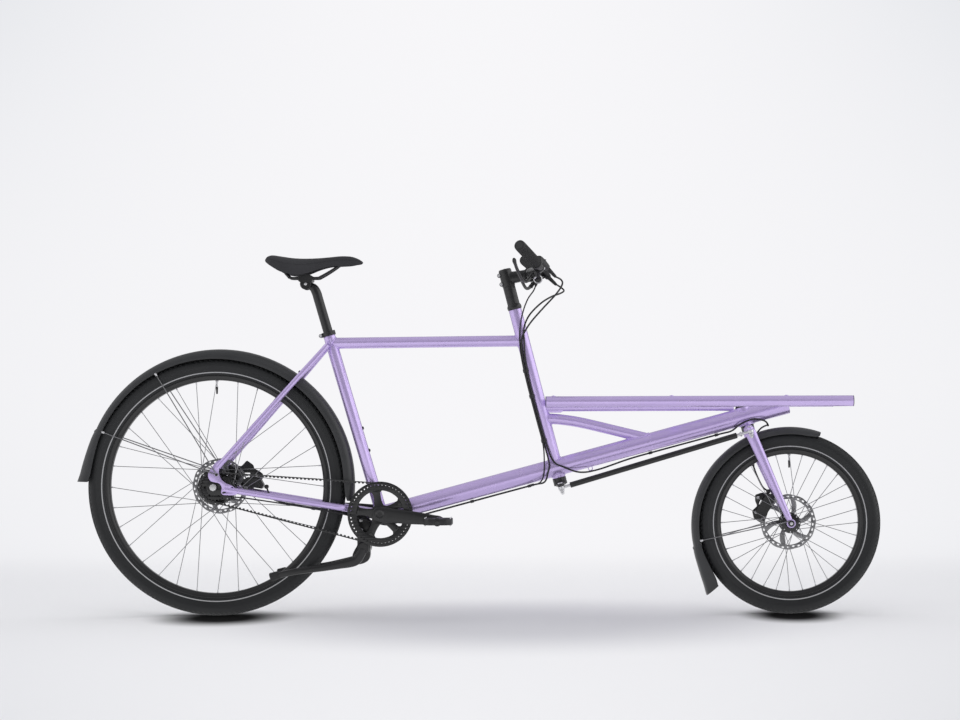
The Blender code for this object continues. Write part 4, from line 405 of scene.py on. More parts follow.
LILAC = Finish("lilac_satin_paint", "frame_paint", (0.65, 0.52, 0.88), (0.6, 0.475, 0.84), (0.24, 0.3),
               Grain.FLAKE, metallic=0.6, coat=0.45, grain_scale=2600.0, grain_depth=0.000002,
               grain_share=0.15)
BLACK_ALLOY = Finish("black_anodised_alloy", "black_alloy", (0.008, 0.008, 0.009), (0.014, 0.014, 0.015),
                     (0.27, 0.37), Grain.MOULDED, coat=0.18, grain_scale=2200.0, grain_depth=0.000008)
BLACK_GLOSS = Finish("black_gloss_coat", "black_alloy", (0.007, 0.007, 0.008), (0.012, 0.012, 0.013),
                     (0.2, 0.3), Grain.MOULDED, coat=0.4, grain_scale=1500.0, grain_depth=0.000008)
BLACK_PLASTIC = Finish("black_moulded_plastic", "black_plastic", (0.011, 0.011, 0.012), (0.018, 0.018, 0.02),
                       (0.38, 0.5), Grain.MOULDED, grain_scale=1400.0)
GUARD_PLASTIC = Finish("mudguard_satin_plastic", "black_plastic", (0.027, 0.028, 0.03), (0.036, 0.037, 0.04),
                       (0.33, 0.43), Grain.MOULDED, grain_scale=1100.0, grain_depth=0.00003)
GRIP_RUBBER = Finish("grip_rubber", "black_rubber", (0.011, 0.011, 0.012), (0.019, 0.019, 0.02), (0.6, 0.75),
                     Grain.RUBBER, grain_scale=1500.0, grain_depth=0.00008)
HOSE_RUBBER = Finish("hose_jacket", "black_rubber", (0.009, 0.009, 0.01), (0.015, 0.015, 0.016),
                     (0.35, 0.45), Grain.RUBBER, grain_depth=0.00002)
BELT_RUBBER = Finish("belt_rubber", "black_rubber", (0.022, 0.022, 0.023), (0.04, 0.04, 0.041), (0.5, 0.65),
                     Grain.RUBBER, grain_scale=1200.0, grain_depth=0.00005)
SADDLE_COVER = Finish("saddle_cover", "saddle_cover", (0.006, 0.006, 0.007), (0.012, 0.012, 0.014),
                      (0.46, 0.58), Grain.LEATHER, grain_scale=520.0, grain_depth=0.0001)
BARE_STEEL = Finish("bare_steel", "bare_steel", (0.6, 0.6, 0.61), (0.48, 0.48, 0.49), (0.22, 0.34),
                    Grain.BRUSHED, metallic=1.0, grain_depth=0.00001)
SPOKE_STEEL = Finish("spoke_steel", "bare_steel", (0.3, 0.3, 0.31), (0.24, 0.24, 0.25), (0.3, 0.42),
                     Grain.BRUSHED, metallic=1.0, grain_depth=0.000005)
ROTOR_STEEL = Finish("rotor_steel", "bare_steel", (0.34, 0.34, 0.35), (0.24, 0.24, 0.25), (0.3, 0.42),
                     Grain.BRUSHED, metallic=1.0, grain_scale=700.0, grain_depth=0.00001)
DARK_STEEL = Finish("blackened_steel", "bare_steel", (0.03, 0.03, 0.032), (0.045, 0.045, 0.047),
                    (0.26, 0.36), Grain.BRUSHED, metallic=0.7, grain_depth=0.000008)
REAR_TYRE_RUBBER, FRONT_TYRE_RUBBER = [
    TyreFinish(name, "tyre_rubber", (0.007, 0.008, 0.009), (0.012, 0.013, 0.015), (0.55, 0.7), Grain.RUBBER,
               grain_scale=700.0, grain_depth=0.00006, centre=tuple(axle), band=band)
    for name, axle, band in (("rear_tyre_rubber", PLACES.rear_axle, 0.3265),
                             ("front_tyre_rubber", PLACES.front_axle, 0.2185))]
SLOT_FINISHES = {finish.slot: finish for finish in (LILAC, BLACK_ALLOY, BLACK_PLASTIC, REAR_TYRE_RUBBER,
                                                    HOSE_RUBBER, BARE_STEEL, SADDLE_COVER)}


# Meshes

def linked(name: str, data: bpy.types.ID) -> Item:
    """Make an object of its data and link it to the scene."""
    item = bpy.data.objects.new(name, data)
    bpy.context.scene.collection.objects.link(item)
    return item


def directions(axis: Vector, hint: Vector = Y_AXIS) -> tuple[Vector, Vector]:
    """Give two unit directions square to an axis and to each other.

    Args:
        axis: Unit direction.
        hint: Direction that the first result lies nearest to.

    Returns:
        The two directions.
    """
    if abs(axis.dot(hint)) > 0.97:
        hint = X_AXIS if abs(axis.x) < 0.9 else Z_AXIS
    first = (hint - axis * hint.dot(axis)).normalized()
    return first, axis.cross(first)


def headings(path: Sequence[Vector]) -> list[Vector]:
    """Give a path's direction at each of its points."""
    return [(after - before).normalized() for before, after in
            zip([path[0], *path[:-1]], [*path[1:], path[-1]])]


def skinned(rings: Sequence[Sequence[Vector]]) -> Mesh:
    """Join rings of equally many points into one closed surface.

    Args:
        rings: Rings of points; the first and the last become end faces.

    Returns:
        The surface with its faces pointing out.
    """
    bm = bmesh.new()
    rows = [[bm.verts.new(point) for point in ring] for ring in rings]
    for low, high in zip(rows, rows[1:]):
        for i in range(len(low)):
            j = (i + 1) % len(low)
            bm.faces.new((low[i], low[j], high[j], high[i]))
    bm.faces.new(list(reversed(rows[0])))
    bm.faces.new(rows[-1])
    bmesh.ops.remove_doubles(bm, verts=bm.verts, dist=MERGE)
    bmesh.ops.recalc_face_normals(bm, faces=bm.faces)
    return bm


def ring_points(centre: Vector, first: Vector, second: Vector, radius: float, sides: int,
                flat: float = 1.0) -> list[Vector]:
    """Points of a circle or an oval, whose depth along the second direction is a share of its radius."""
    return [centre + first * (radius * math.cos(math.tau * i / sides))
            + second * (radius * flat * math.sin(math.tau * i / sides)) for i in range(sides)]


def lathe(profile: Outline, centre: Vector, axis: Vector = Y_AXIS, steps: int = 64) -> Mesh:
    """Turn a closed profile round an axis.

    Args:
        profile: Points as (radius, place along the axis).
        centre: Point that the places are counted from.
        axis: Unit direction of the axis.
        steps: Steps round the axis.

    Returns:
        The turned solid.
    """
    first, second = directions(axis, Z_AXIS)
    bm = bmesh.new()
    rows = []
    for i in range(steps):
        angle = math.tau * i / steps
        out = first * math.cos(angle) + second * math.sin(angle)
        rows.append([bm.verts.new(centre + axis * along + out * radius) for radius, along in profile])
    count = len(profile)
    for i in range(steps):
        low, high = rows[i], rows[(i + 1) % steps]
        for k in range(count):
            n = (k + 1) % count
            bm.faces.new((low[k], high[k], high[n], low[n]))
    bmesh.ops.remove_doubles(bm, verts=bm.verts, dist=MERGE)
    thin = [face for face in bm.faces if face.calc_area() < SPECK]
    bmesh.ops.delete(bm, geom=thin, context="FACES")
    bmesh.ops.recalc_face_normals(bm, faces=bm.faces)
    return bm


def rod(start: Vector, end: Vector, radius: float, end_radius: Optional[float] = None,
        round_off: float = 0.0008, steps: int = 32) -> Mesh:
    """Straight bar with slightly rounded ends.

    Args:
        start: Middle of the first end.
        end: Middle of the last end.
        radius: Radius at the start.
        end_radius: Radius at the end, if it differs.
        round_off: Size of the rounding at the ends.
        steps: Sides of the bar.

    Returns:
        The bar.
    """
    length = (end - start).length
    last = radius if end_radius is None else end_radius
    small = min(round_off, radius * 0.4, last * 0.4, length * 0.3)
    profile = [(0.0, 0.0), (radius - small, 0.0), (radius - 0.3 * small, 0.3 * small), (radius, small),
               (last, length - small), (last - 0.3 * small, length - 0.3 * small), (last - small, length),
               (0.0, length)]
    return lathe(profile, start, (end - start).normalized(), steps)


def smooth_path(points: Sequence[Vector], steps: int = 6) -> list[Vector]:
    """Curve through points, as close points.

    Args:
        points: Points that the curve goes through.
        steps: Steps between two of them.

    Returns:
        The points of the curve.
    """
    padded = [points[0] * 2.0 - points[1], *points, points[-1] * 2.0 - points[-2]]
    path = []
    for before, start, end, after in zip(padded, padded[1:], padded[2:], padded[3:]):
        for i in range(steps):
            t = i / steps
            path.append(0.5 * ((2.0 * start) + (end - before) * t
                               + (2.0 * before - 5.0 * start + 4.0 * end - after) * t * t
                               + (3.0 * start - before - 3.0 * end + after) * t ** 3))
    path.append(points[-1].copy())
    return path


def sweep(path: Sequence[Vector], sizes: Outline, sides: int = 24, hint: Vector = Y_AXIS) -> Mesh:
    """Sweep an oval along a path.

    Args:
        path: Centre line.
        sizes: Half width along the hint and half depth, for each point.
        sides: Sides of the section.
        hint: Direction of the width.

    Returns:
        The swept solid.
    """
    rings = []
    for point, ahead, (wide, deep) in zip(path, headings(path), sizes):
        rings.append(ring_points(point, *directions(ahead, hint), wide, sides, deep / wide))
    return skinned(rings)


def joined(*parts: Mesh) -> Mesh:
    """Put several meshes, which are freed, in one as separate shells.

    Args:
        parts: The meshes.

    Returns:
        One mesh.
    """
    result = bmesh.new()
    for part in parts:
        scratch = bpy.data.meshes.new("scratch")
        part.to_mesh(scratch)
        part.free()
        result.from_mesh(scratch)
        bpy.data.meshes.remove(scratch)
    return result


def mesh_object(name: str, bm: Mesh, angle: float = 38.0) -> Item:
    """Make an object of a mesh, which is freed, shaded smooth up to an angle.

    Args:
        name: Name of the object.
        bm: The mesh.
        angle: Edges sharper than this stay sharp, in degrees.

    Returns:
        The object, linked to the scene.
    """
    mesh = bpy.data.meshes.new(name)
    bm.to_mesh(mesh)
    bm.free()
    mesh.shade_smooth()
    mesh.set_sharp_from_angle(angle=math.radians(angle))
    return linked(name, mesh)


def evaluated(item: Item) -> bpy.types.Mesh:
    """Give the plain mesh that an object's modifiers make."""
    graph = bpy.context.evaluated_depsgraph_get()
    return bpy.data.meshes.new_from_object(item.evaluated_get(graph), depsgraph=graph)


def soften(item: Item, width: float, angle: float = 35.0) -> None:
    """Round an object's sharp edges a little.

    Args:
        item: The object.
        width: Width of the rounding.
        angle: Only edges sharper than this are rounded, in degrees.
    """
    bevel = item.modifiers.new("soft_edges", "BEVEL")
    bevel.width = width
    bevel.segments = 2
    bevel.limit_method = "ANGLE"
    bevel.angle_limit = math.radians(angle)
    bevel.harden_normals = True
    mesh = evaluated(item)
    item.modifiers.clear()
    item.data = mesh


def flat_part(outlines: Sequence[Outline], thickness: float, bevel: float, middle: Vector,
              lying: bool = False) -> Mesh:
    """Plate cut to outlines, with rounded edges; inner outlines are holes.

    Args:
        outlines: Closed outlines about the middle, as (x, z) points, or (x, y) where the plate lies flat.
        thickness: Thickness of the plate.
        bevel: Rounding of its edges.
        middle: Middle of the plate.
        lying: Whether it lies flat, and not in the bicycle's plane.

    Returns:
        The plate.
    """
    curve = bpy.data.curves.new("plate", "CURVE")
    curve.dimensions = "2D"
    curve.fill_mode = "BOTH"
    curve.extrude = thickness / 2.0 - bevel
    curve.bevel_depth = bevel
    curve.bevel_resolution = 1
    curve.offset = -bevel
    for outline in outlines:
        spline = curve.splines.new("POLY")
        spline.points.add(len(outline) - 1)
        for point, (x, z) in zip(spline.points, outline):
            point.co = (x, z, 0.0, 1.0)
        spline.use_cyclic_u = True
    item = linked("plate", curve)
    mesh = evaluated(item)
    bpy.data.objects.remove(item)
    bm = bmesh.new()
    bm.from_mesh(mesh)
    bpy.data.meshes.remove(mesh)
    bmesh.ops.remove_doubles(bm, verts=bm.verts, dist=1e-6)
    turn = Matrix() if lying else Matrix((X_AXIS, Z_AXIS, -Y_AXIS)).transposed().to_4x4()
    bmesh.ops.transform(bm, matrix=Matrix.Translation(middle) @ turn, verts=bm.verts)
    bmesh.ops.recalc_face_normals(bm, faces=bm.faces)
    return bm


def circle_outline(radius: float, steps: int = 48, centre: tuple[float, float] = (0.0, 0.0)) -> Outline:
    """Closed outline of a circle about a centre (x, z)."""
    return [(centre[0] + radius * math.cos(math.tau * i / steps),
             centre[1] + radius * math.sin(math.tau * i / steps)) for i in range(steps)]


def rounded_outline(points: Outline, radius: float, steps: int = 4) -> Outline:
    """Round the corners of an outline.

    Args:
        points: Corners.
        radius: Radius that each corner may have.
        steps: Steps on each corner.

    Returns:
        The rounded outline.
    """
    result = []
    count = len(points)
    for i in range(count):
        here = Vector(points[i])
        before = Vector(points[i - 1]) - here
        after = Vector(points[(i + 1) % count]) - here
        reach = min(radius, before.length * 0.45, after.length * 0.45)
        start = here + before.normalized() * reach
        end = here + after.normalized() * reach
        for k in range(steps + 1):
            t = k / steps
            result.append(tuple(start * (1 - t) ** 2 + here * (2 * t * (1 - t)) + end * t ** 2))
    return result


# Geometry trees

class GrowTree(NodeGroup):
    """A geometry tree under construction, with named inputs."""

    def __init__(self, name: str, **sizes: float) -> None:
        """Start a tree with a geometry, a material and its sizes as inputs.

        Args:
            name: Name of the tree.
            sizes: First value of each size, with underscores for spaces.
        """
        sizes = {label.replace("_", " "): value for label, value in sizes.items()}
        super().__init__(name, "Geometry", {"Geometry": "Geometry", "Material": "Material", **sizes},
                         "Geometry")

    def circle(self, sides: object) -> bpy.types.Node:
        """Add the round section of a tube."""
        return self.add("GeometryNodeCurvePrimitiveCircle", Resolution=sides, Radius=self.given["Radius"])

    def painted(self, geometry: bpy.types.Node) -> Tree:
        """End the tree: real geometry with its material."""
        real = self.add("GeometryNodeRealizeInstances", i0=geometry)
        painted = self.add("GeometryNodeSetMaterial", Geometry=real, Material=self.given["Material"])
        return self.close(Geometry=painted)


@functools.cache
def ring_tree() -> Tree:
    """Tree that repeats its geometry round the Y axis through the origin, with inputs Count and Phase."""
    grow = GrowTree("repeat_round", Count=8, Phase=0.0)
    points = grow.add("GeometryNodePoints", Count=grow.given["Count"])
    step = grow.maths("DIVIDE", math.tau, grow.given["Count"])
    angle = grow.maths("MULTIPLY_ADD", grow.add("GeometryNodeInputIndex"), step, grow.given["Phase"])
    turn = grow.add("FunctionNodeAxisAngleToRotation", Axis=(0.0, 1.0, 0.0), Angle=angle)
    return grow.painted(grow.add("GeometryNodeInstanceOnPoints", Points=points,
                                 Instance=grow.given["Geometry"], Rotation=turn))


@functools.cache
def row_tree() -> Tree:
    """Tree that repeats its geometry in a straight row, with inputs Count, Step X, Step Y and Step Z."""
    grow = GrowTree("repeat_in_row", Count=4, Step_X=0.0, Step_Y=0.0, Step_Z=0.0)
    step = grow.add("ShaderNodeCombineXYZ", **{axis: grow.given["Step " + axis] for axis in "XYZ"})
    line = grow.add("GeometryNodeMeshLine", Count=grow.given["Count"], Offset=step)
    return grow.painted(grow.add("GeometryNodeInstanceOnPoints", Points=line,
                                 Instance=grow.given["Geometry"]))


@functools.cache
def tube_tree() -> Tree:
    """Tree that makes a round tube along a line of edges, with inputs Radius and Sides."""
    grow = GrowTree("tube_along_line", Radius=0.0025, Sides=12)
    line = grow.add("GeometryNodeMeshToCurve", Mesh=grow.given["Geometry"])
    tube = grow.add("GeometryNodeCurveToMesh", Curve=line, Profile_Curve=grow.circle(grow.given["Sides"]),
                    Fill_Caps=True)
    return grow.painted(grow.add("GeometryNodeSetShadeSmooth", i0=tube))


@functools.cache
def weld_tree() -> Tree:
    """Tree that lays a rippled weld bead along closed lines, with inputs Radius, Ripple and Pitch."""
    grow = GrowTree("weld_bead", Radius=0.0022, Ripple=0.16, Pitch=0.0022)
    line = grow.add("GeometryNodeMeshToCurve", Mesh=grow.given["Geometry"])
    fine = grow.add("GeometryNodeResampleCurve", {"mode": "LENGTH"}, Curve=line,
                    Length=grow.maths("DIVIDE", grow.given["Pitch"], 4.0))
    wave = grow.maths("SINE", grow.maths("MULTIPLY", grow.add("GeometryNodeInputIndex"), math.tau / 4.0))
    size = grow.maths("MULTIPLY_ADD", wave, grow.given["Ripple"], 1.0)
    sized = grow.add("GeometryNodeSetCurveRadius", Curve=fine, Radius=size)
    bead = grow.add("GeometryNodeCurveToMesh", Curve=sized, Profile_Curve=grow.circle(8))
    if "Scale" in bead.inputs:
        grow.tree.links.new(size.outputs[0], bead.inputs["Scale"])
    return grow.painted(grow.add("GeometryNodeSetShadeSmooth", i0=bead))


def grown(name: str, base: Item, maker: Callable[[], Tree], finish: Finish, **values: float) -> Item:
    """Run a geometry tree on an object, which is removed, and keep the result as a plain mesh.

    Args:
        name: Name of the new object.
        base: Object that the tree works on.
        maker: Function that makes the tree.
        finish: Finish of the result.
        values: Values by input name, with underscores for spaces.

    Returns:
        The new object.
    """
    tree = maker()
    modifier = base.modifiers.new("grow", "NODES")
    modifier.node_group = tree
    sockets = {item.name: item.identifier for item in tree.interface.items_tree
               if item.item_type == "SOCKET" and item.in_out == "INPUT"}
    modifier[sockets["Material"]] = finish.material()
    for key, value in values.items():
        modifier[sockets[key.replace("_", " ")]] = value
    base.update_tag()
    bpy.context.view_layer.update()
    mesh = evaluated(base)
    base.modifiers.remove(modifier)
    bpy.data.objects.remove(base)
    mesh.name = name
    return linked(name, mesh)


def line_object(*loops: Sequence[Vector], closed: bool = False) -> Item:
    """Object of bare edges through points, for the trees that follow a line.

    Args:
        loops: Points of each line.
        closed: Whether each line's last point joins its first.

    Returns:
        The object.
    """
    points, edges = [], []
    for loop in loops:
        first, count = len(points), len(loop)
        points += [tuple(point) for point in loop]
        edges += [(first + i, first + (i + 1) % count) for i in range(count if closed else count - 1)]
    mesh = bpy.data.meshes.new("line")
    mesh.from_pydata(points, edges, [])
    return linked("line", mesh)


# Assemblies

@dataclass
class Assembly:
    """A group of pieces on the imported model, with the ways to put them in place."""

    model: dict
    made: list = field(default_factory=list)
    dressed: ClassVar[set[str]] = set()
    body: ClassVar[str] = "frame"
    finish: ClassVar[Finish] = BLACK_ALLOY

    def dress(self, item: Item, finish: Optional[Finish], *nodes: str) -> Item:
        """Give a piece its finish, or else the assembly's, and the nodes of the model that it stands for."""
        finish = finish or self.finish
        item.data.materials.clear()
        item.data.materials.append(finish.material())
        if nodes:
            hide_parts(*nodes)
            self.dressed.update(nodes)
        self.made.append(item.name)
        return item

    def put(self, item: Item, *nodes: str, body: Optional[str] = None,
            finish: Optional[Finish] = None) -> Item:
        """Let a piece ride on a body, by default the assembly's, in its finish.

        Args:
            item: The piece.
            nodes: Nodes of the model that it stands for.
            body: Body that it moves with.
            finish: Its finish.

        Returns:
            The piece.
        """
        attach(item, body or self.body)
        return self.dress(item, finish, *nodes)

    def add(self, name: str, bm: Mesh, *nodes: str, body: Optional[str] = None,
            finish: Optional[Finish] = None, bevel: float = 0.0, angle: float = 38.0) -> Item:
        """Make a piece of a mesh and put it in place.

        Args:
            name: Name of the piece.
            bm: Its mesh.
            nodes: Nodes that it stands for.
            body: Body that it moves with.
            finish: Its finish.
            bevel: Rounding of its sharp edges, if any.
            angle: Edges sharper than this stay sharp, in degrees.

        Returns:
            The piece.
        """
        item = mesh_object(name, bm, angle)
        if bevel > 0.0:
            soften(item, bevel)
        return self.put(item, *nodes, body=body, finish=finish)

    def repeat(self, name: str, bm: Mesh, centre: Vector, count: int, phase: float = 0.0,
               finish: Optional[Finish] = None) -> Item:
        """Repeat a small mesh round an axle.

        Args:
            name: Name of the piece.
            bm: One copy, made about the origin.
            centre: Middle of the axle.
            count: Number of copies.
            phase: Angle of the first copy.
            finish: The piece's finish.

        Returns:
            The piece.
        """
        one = mesh_object(name + "_one", bm)
        item = grown(name, one, ring_tree, finish or self.finish, Count=count, Phase=phase)
        item.data.transform(Matrix.Translation(centre))
        return self.put(item, finish=finish)

    def tube(self, name: str, path: Sequence[Vector], radius: float, *nodes: str, body: Optional[str] = None,
             finish: Optional[Finish] = None, sides: int = 12) -> Item:
        """Round tube along a path, made by its geometry tree and put in place."""
        item = grown(name, line_object(path), tube_tree, finish or self.finish, Radius=radius, Sides=sides)
        return self.put(item, *nodes, body=body, finish=finish)

    def keep(self, node: str, bevel: float = 0.0004, body: Optional[str] = None,
             finish: Optional[Finish] = None) -> Item:
        """Dress a node whose shape is right: a copy with clean, slightly rounded edges stands for it.

        Args:
            node: The node.
            bevel: Rounding of its sharp edges.
            body: Body that it moves with.
            finish: Its finish.

        Returns:
            The dressed copy.
        """
        bm = bmesh.new()
        bm.from_mesh(self.model["nodes"][node].data)
        bmesh.ops.remove_doubles(bm, verts=bm.verts, dist=1e-5)
        bmesh.ops.dissolve_limit(bm, angle_limit=math.radians(1.0), verts=bm.verts, edges=bm.edges)
        item = mesh_object(node + "_dressed", bm, 32.0)
        soften(item, bevel, 32.0)
        return self.put(item, node, body=body, finish=finish)


def at_angle(angle: float, radius: float, y: float = 0.0) -> Vector:
    """Point at an angle about the Y axis, counted from forwards to up."""
    return Vector((radius * math.cos(angle), y, radius * math.sin(angle)))


def mirrored_profile(half: Outline) -> Outline:
    """Close a profile of (radius, y) points by its mirror image."""
    return list(half) + [(radius, -y) for radius, y in reversed(half)]


def mirrored_path(half: Sequence[Vector]) -> list[Vector]:
    """Close a path that ends near the middle by its mirror image on the other side."""
    return list(half) + [Vector((point.x, -point.y, point.z)) for point in reversed(half)]


def hex_head(place: Vector, out: Vector, radius: float, height: float) -> Mesh:
    """Round screw head with a six sided socket.

    Args:
        place: Middle of the seat.
        out: Unit direction that the head points in.
        radius: Radius of the head.
        height: Height of the head.

    Returns:
        The head.
    """
    first, second = directions(out, Z_AXIS)
    floor = height - height * 0.55
    rings = [ring_points(place + out * along, first, second, wide, 24)
             for along, wide in ((0.0, radius), (height * 0.75, radius), (height, radius * 0.82))]
    for reach, along in ((0.5, height), (0.5, floor), (0.02, floor)):
        ring = []
        for i in range(24):
            angle = math.tau * i / 24
            flats = along != height and reach > 0.1
            share = 1.0 / math.cos((angle % (math.tau / 6)) - math.tau / 12) if flats else 1.0
            ring.append(place + out * along + (first * math.cos(angle) + second * math.sin(angle))
                        * (radius * reach * share * 0.92))
        rings.append(ring)
    return skinned(rings)


# Wheels

@dataclass
class Wheel(Assembly):
    """One laced wheel with its tyre, rim, hub and brake rotor."""

    label: str = "rear"
    axle: Vector = field(default_factory=lambda: PLACES.rear_axle)
    radius: float = 0.368
    rim_outer: float = 0.318
    flange: float = 0.0515
    spoke_inset: float = 0.0045
    flange_places: tuple[float, float] = (-0.031, 0.031)
    crosses: int = 3
    rotor_place: float = 0.0547
    rubber: Finish = REAR_TYRE_RUBBER
    hub_profile: tuple[tuple[float, float], ...] = ()
    half_width: float = 0.0285
    tread_depth: float = 0.0016
    tread_pitch: float = 0.015
    rim_depth: float = 0.014
    rim_half: float = 0.0165
    spokes: int = 32
    rotor_radius: float = 0.08

    @property
    def body(self) -> str:
        """Body that the wheel's pieces move with."""
        return self.label + "_wheel"

    def build(self) -> None:
        """Make every piece of the wheel."""
        self.tyre()
        self.rim()
        self.lacing()
        self.hub()
        self.rotor()
        self.valve()

    def crown(self, y: float, depth: float = 0.0) -> float:
        """Radius of the tyre's surface at y, less a depth."""
        middle = 0.5 * (self.rim_outer + self.radius)
        share = (1.0 - min(1.0, abs(y) / self.half_width) ** 2.4) ** (1.0 / 2.4)
        return middle + (self.radius - middle) * share - depth

    def tyre(self) -> None:
        """Tyre casing and its tread blocks."""
        middle = 0.5 * (self.rim_outer + self.radius)
        lower = self.rim_half - 0.0006
        half = [(self.rim_outer - 0.004, 0.012), (self.rim_outer, lower - 0.0006)]
        for i in range(1, 8):
            reach = math.radians(90.0 * i / 8)
            half.append((self.rim_outer + (middle - self.rim_outer) * math.sin(reach) ** 1.15,
                         lower + (self.half_width - lower) * math.sin(reach)))
        for y in (1.0, 0.993, 0.97, 0.93, 0.87, 0.79, 0.69, 0.58, 0.45, 0.3, 0.15):
            half.append((self.crown(y * self.half_width, self.tread_depth * min(1.0, (1.0 - y) * 3.0)),
                         y * self.half_width))
        inner = [(self.rim_outer + 0.01, 0.02), (self.rim_outer - 0.004, 0.01)]
        profile = mirrored_profile(half)[:-1] + [(self.rim_outer - 0.004, -0.012)]
        profile += [(radius, -y) for radius, y in reversed(inner)]
        profile += [(middle + 0.018, -0.008), (middle + 0.018, 0.008)] + inner
        bm = lathe(profile, self.axle, Y_AXIS, 180)
        self.add(self.label + "_tyre_casing", bm, self.label + "_tyre", finish=self.rubber, angle=60.0)
        count = round(math.tau * self.radius / self.tread_pitch)
        self.repeat(self.label + "_tyre_tread", self.tread_unit(math.tau / count), self.axle, count,
                    finish=self.rubber)

    def tread_unit(self, step: float) -> Mesh:
        """One repeat of the tread: slanted middle blocks, shoulder blocks and edge lugs.

        Args:
            step: Angle of one repeat.

        Returns:
            The blocks about the origin.
        """
        rows = ((0.0006, 0.0072, 0.0, 0.86, 0.3), (0.0086, 0.015, 0.42, 0.8, 0.24),
                (0.0164, 0.0212, 0.1, 0.52, 0.1), (0.0222, 0.025, 0.12, 0.34, 0.0))
        bm = bmesh.new()
        for side in (-1.0, 1.0):
            for near, far, start, length, skew in rows:
                turn = start + (0.5 if side > 0.0 else 0.0)
                low, high = [], []
                for y, along in ((near, turn), (near, turn + length), (far, turn + length + skew),
                                 (far, turn + skew)):
                    base = self.crown(y, self.tread_depth + 0.0009)
                    top = self.crown(y, 0.00005)
                    low.append(bm.verts.new(at_angle(along * step, base, side * y)))
                    high.append(bm.verts.new(at_angle(along * step, top, side * y)))
                faces = [high] + [[low[i], low[(i + 1) % 4], high[(i + 1) % 4], high[i]] for i in range(4)]
                for face in faces:
                    bm.faces.new(face if side > 0.0 else list(reversed(face)))
        return bm

    def rim(self) -> None:
        """Rim with its tyre channel."""
        outer, depth, half = self.rim_outer, self.rim_depth, self.rim_half
        inner = outer - depth
        side = [(inner, 0.0), (inner, 0.007), (inner + 0.0008, 0.0098), (inner + 0.0026, 0.0122),
                (outer - 0.0052, half - 0.0012), (outer - 0.0012, half), (outer - 0.0002, half - 0.0004),
                (outer, half - 0.0012), (outer - 0.0012, half - 0.0022), (outer - 0.005, half - 0.003),
                (outer - 0.0062, half - 0.004), (outer - 0.0074, 0.006), (outer - 0.0098, 0.0)]
        bm = lathe(mirrored_profile(side[1:-1])[::-1], self.axle, Y_AXIS, 180)
        self.add(self.label + "_rim_hoop", bm, self.label + "_rim", angle=50.0)

    def lacing(self) -> None:
        """Spokes with elbows, their heads on the flanges, and the nipples at the rim."""
        step = math.tau / (self.spokes / 2)
        swing = self.crosses * step
        hub_radius = self.flange - self.spoke_inset
        rim_radius = self.rim_outer - self.rim_depth + 0.002
        spokes, heads, nipples = [], [], []
        for number, place in enumerate(self.flange_places):
            for i in range(2):
                way = 1.0 if i == 0 else -1.0
                angle = step * i + step * 0.5 * number
                end_angle = angle + way * swing
                bias = 0.0022 * (1.0 if place > 0.0 else -1.0)
                start = at_angle(angle, hub_radius, place + way * 0.003)
                end = at_angle(end_angle, rim_radius, bias)
                heading = (end - start).normalized()
                elbow = start + Y_AXIS * (-way * 0.0054)
                bend = [elbow, start + Y_AXIS * (-way * 0.001), start + heading * 0.0014,
                        end - heading * 0.01]
                spokes.append(sweep(bend, [(0.00105, 0.00105)] * 4, 6, Y_AXIS))
                heads.append(lathe(mm((0, -1), (1.9, -0.4), (1.9, 0.4), (0, 0.8)), elbow, Y_AXIS, 10))
                nipples.append(rod(end - heading * 0.0125, end - heading * 0.0005, 0.0017, 0.0021, 0.0004,
                                   8))
        for name, parts, finish in (("spokes", spokes, SPOKE_STEEL), ("spoke_heads", heads, BARE_STEEL),
                                    ("nipples", nipples, BARE_STEEL)):
            self.repeat("%s_%s" % (self.label, name), joined(*parts), self.axle, self.spokes // 4,
                        finish=finish)

    def hub(self) -> None:
        """Hub shell, turned from its profile."""
        bm = lathe(self.hub_profile, self.axle, Y_AXIS, 96)
        self.add(self.label + "_hub_shell", bm, self.label + "_hub", finish=BLACK_GLOSS, angle=30.0)

    def rotor(self) -> None:
        """Brake rotor: a drilled rubbing ring on slim curved arms, its carrier and bolts."""
        edge = self.rotor_radius
        waves = [at_angle(math.tau * i / 180, edge - 0.0006 + 0.0006 * math.cos(math.tau * i / 15.0))
                 for i in range(180)]
        outlines = [[(point.x, point.z) for point in waves], circle_outline(0.019, 36)]
        for i in range(6):
            start = math.tau * i / 6
            window = []
            for k in range(5):
                turn = start + 0.2 + 0.66 * k / 4
                window.append((0.027, turn))
            for k in range(5):
                radius = 0.027 + 0.039 * (k + 1) / 6
                window.append((radius, start + 0.86 + 0.36 * ((k + 1) / 6) ** 1.3 + 0.02))
            for k in range(9):
                window.append((0.066, start + 1.25 - 0.82 * k / 8))
            for k in range(5):
                radius = 0.066 - 0.039 * (k + 1) / 6
                window.append((radius, start + 0.2 + 0.23 * ((5 - k) / 6) ** 1.3))
            outlines.append([(radius * math.cos(turn), radius * math.sin(turn)) for radius, turn in window])
        for i in range(30):
            turn = math.tau * (i + 0.5) / 30
            shift = 0.0016 * (1.0 if i % 3 == 0 else -1.0 if i % 3 == 2 else 0.0)
            middle = at_angle(turn, 0.073 + shift)
            hole = []
            for k in range(10):
                swing = math.tau * k / 10
                along, out = 0.004 * math.cos(swing), 0.0024 * math.sin(swing)
                hole.append((middle.x - along * math.sin(turn) + out * math.cos(turn),
                             middle.z + along * math.cos(turn) + out * math.sin(turn)))
            outlines.append(hole)
        place = self.axle + Y_AXIS * self.rotor_place
        disc = flat_part(outlines, 0.002, 0.0002, place)
        self.add(self.label + "_rotor_disc", disc, self.label + "_rotor", finish=ROTOR_STEEL)
